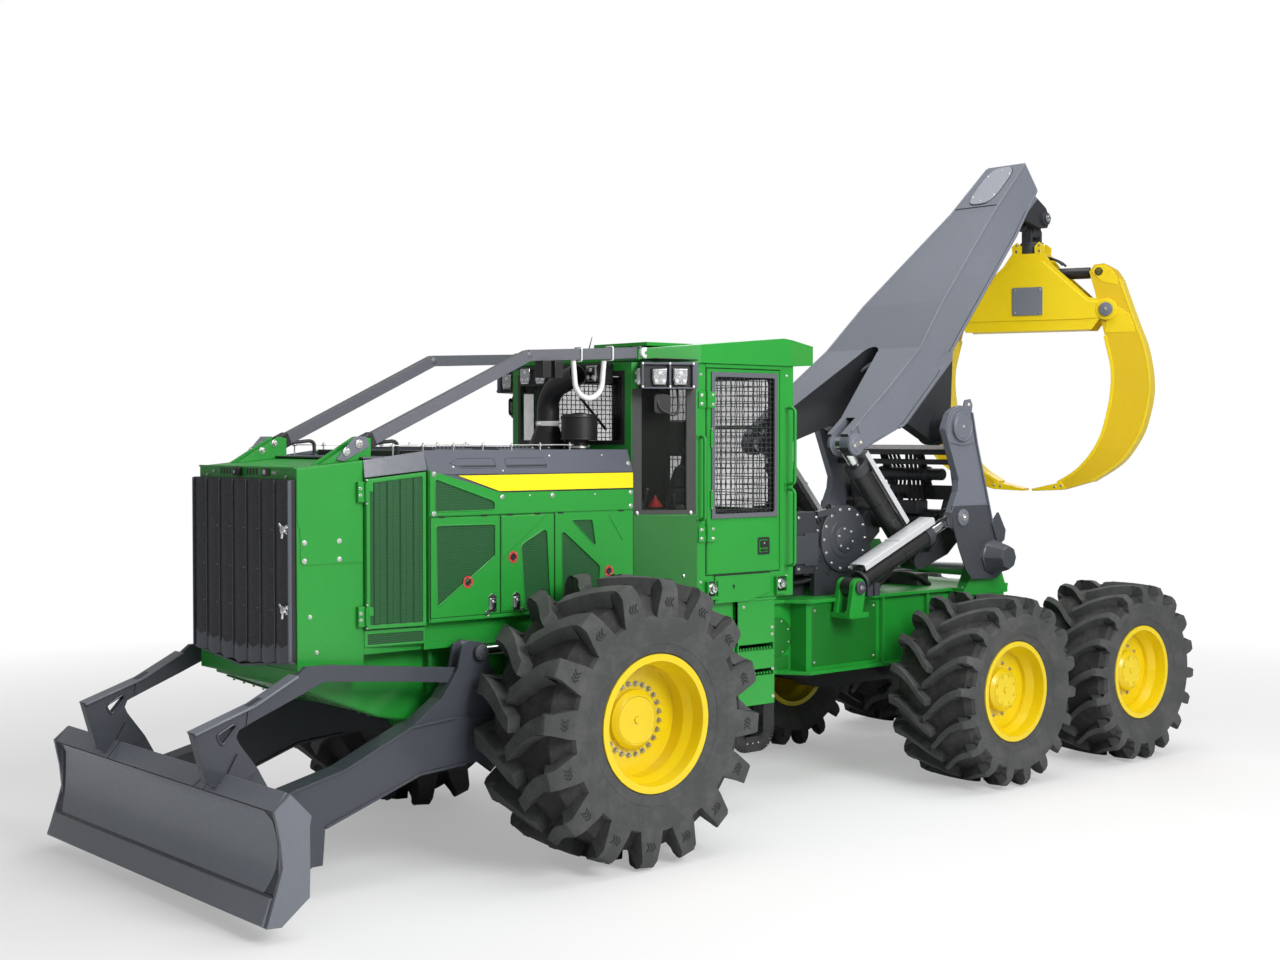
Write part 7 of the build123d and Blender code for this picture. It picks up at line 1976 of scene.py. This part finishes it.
seat()


# ---- floor, light and camera ------------------------------------------------------
def ground():
    """A pale floor that takes shadows near the machine and turns white further out."""
    floor = Bits()
    floor.bm.faces.new([floor.bm.verts.new((*corner, 0)) for corner in rectangle((-60, 60), (-60, 60))])
    mesh = bpy.data.meshes.new("floor")
    floor.bm.to_mesh(mesh)
    piece = bpy.data.objects.new("floor", mesh)
    bpy.context.scene.collection.objects.link(piece)
    nodes = Nodes("pale_floor")
    axes = nodes.axes()
    fade = nodes.spread(nodes.length(axes["X"], axes["Y"]), 5.5, 12.0, 0.36, 1.0)
    nodes.shader.inputs["Base Color"].default_value = (0.80, 0.80, 0.81, 1)
    nodes.feed(nodes.shader.inputs["Roughness"], nodes.spread(nodes.noise(3.0), 0.0, 1.0, 0.55, 0.7))
    nodes.shader.inputs["Specular IOR Level"].default_value = 0.2
    white = nodes.add("ShaderNodeEmission")
    light_path = nodes.add("ShaderNodeLightPath")
    seen = nodes.math("MAXIMUM", light_path.outputs["Is Camera Ray"],
                      light_path.outputs["Is Transmission Ray"])
    blend = nodes.add("ShaderNodeMixShader")
    nodes.feed(blend.inputs[0], nodes.math("MULTIPLY", seen, fade))
    nodes.feed(blend.inputs[1], nodes.shader.outputs[0])
    nodes.feed(blend.inputs[2], white.outputs[0])
    nodes.feed(nodes.tree.nodes["Material Output"].inputs["Surface"], blend.outputs[0])
    mesh.materials.append(nodes.material)


def sky(strength):
    """Even light on the machine, with a white background for the camera and through glass."""
    world = bpy.data.worlds.new("studio")
    bpy.context.scene.world = world
    world.use_nodes = True
    tree = world.node_tree
    light_path = tree.nodes.new("ShaderNodeLightPath")
    ambient = tree.nodes["Background"]
    ambient.inputs["Color"].default_value = (1.0, 1.0, 1.0, 1)
    ambient.inputs["Strength"].default_value = strength
    white = tree.nodes.new("ShaderNodeBackground")
    white.inputs["Color"].default_value = (1, 1, 1, 1)
    seen = tree.nodes.new("ShaderNodeMath")
    seen.operation = "MAXIMUM"
    blend = tree.nodes.new("ShaderNodeMixShader")
    for source, socket in ((light_path.outputs["Is Camera Ray"], seen.inputs[0]),
                           (light_path.outputs["Is Transmission Ray"], seen.inputs[1]),
                           (seen.outputs[0], blend.inputs[0]), (ambient.outputs[0], blend.inputs[1]),
                           (white.outputs[0], blend.inputs[2]),
                           (blend.outputs[0], tree.nodes["World Output"].inputs["Surface"])):
        tree.links.new(source, socket)


def area_light(name, place, target, power, size):
    data = bpy.data.lights.new(name, "AREA")
    data.energy, data.size = power, size
    light = bpy.data.objects.new(name, data)
    bpy.context.scene.collection.objects.link(light)
    light.location = place
    light.rotation_mode = "QUATERNION"
    light.rotation_quaternion = (Vector(target) - Vector(place)).to_track_quat("-Z", "Y")


def camera(place, heading, pitch, lens):
    data = bpy.data.cameras.new("camera")
    data.lens, data.sensor_width, data.sensor_fit = lens, 36.0, "HORIZONTAL"
    data.clip_end = 300.0
    eye = bpy.data.objects.new("camera", data)
    bpy.context.scene.collection.objects.link(eye)
    eye.location = place
    heading, pitch = math.radians(heading), math.radians(pitch)
    forward = Vector((math.cos(heading) * math.cos(pitch), math.sin(heading) * math.cos(pitch),
                      math.sin(pitch)))
    eye.rotation_mode = "QUATERNION"
    eye.rotation_quaternion = forward.to_track_quat("-Z", "Y")
    bpy.context.scene.camera = eye


ground()
sky(strength=0.30)
area_light("key", (1.5, 12.5, 8.5), (0.0, 0.0, 2.0), power=1550, size=6.0)
area_light("top", (-1.0, 2.0, 12.0), (0.0, 0.0, 1.5), power=820, size=9.0)
area_light("rear_fill", (-9.0, -7.0, 7.0), (0.0, 0.0, 2.0), power=330, size=8.0)
camera((FRONT_AXLE_X + 7.1845, 9.7006, 2.7126), heading=229.01, pitch=-1.438, lens=48.88)
bpy.context.scene.view_settings.view_transform = "Standard"
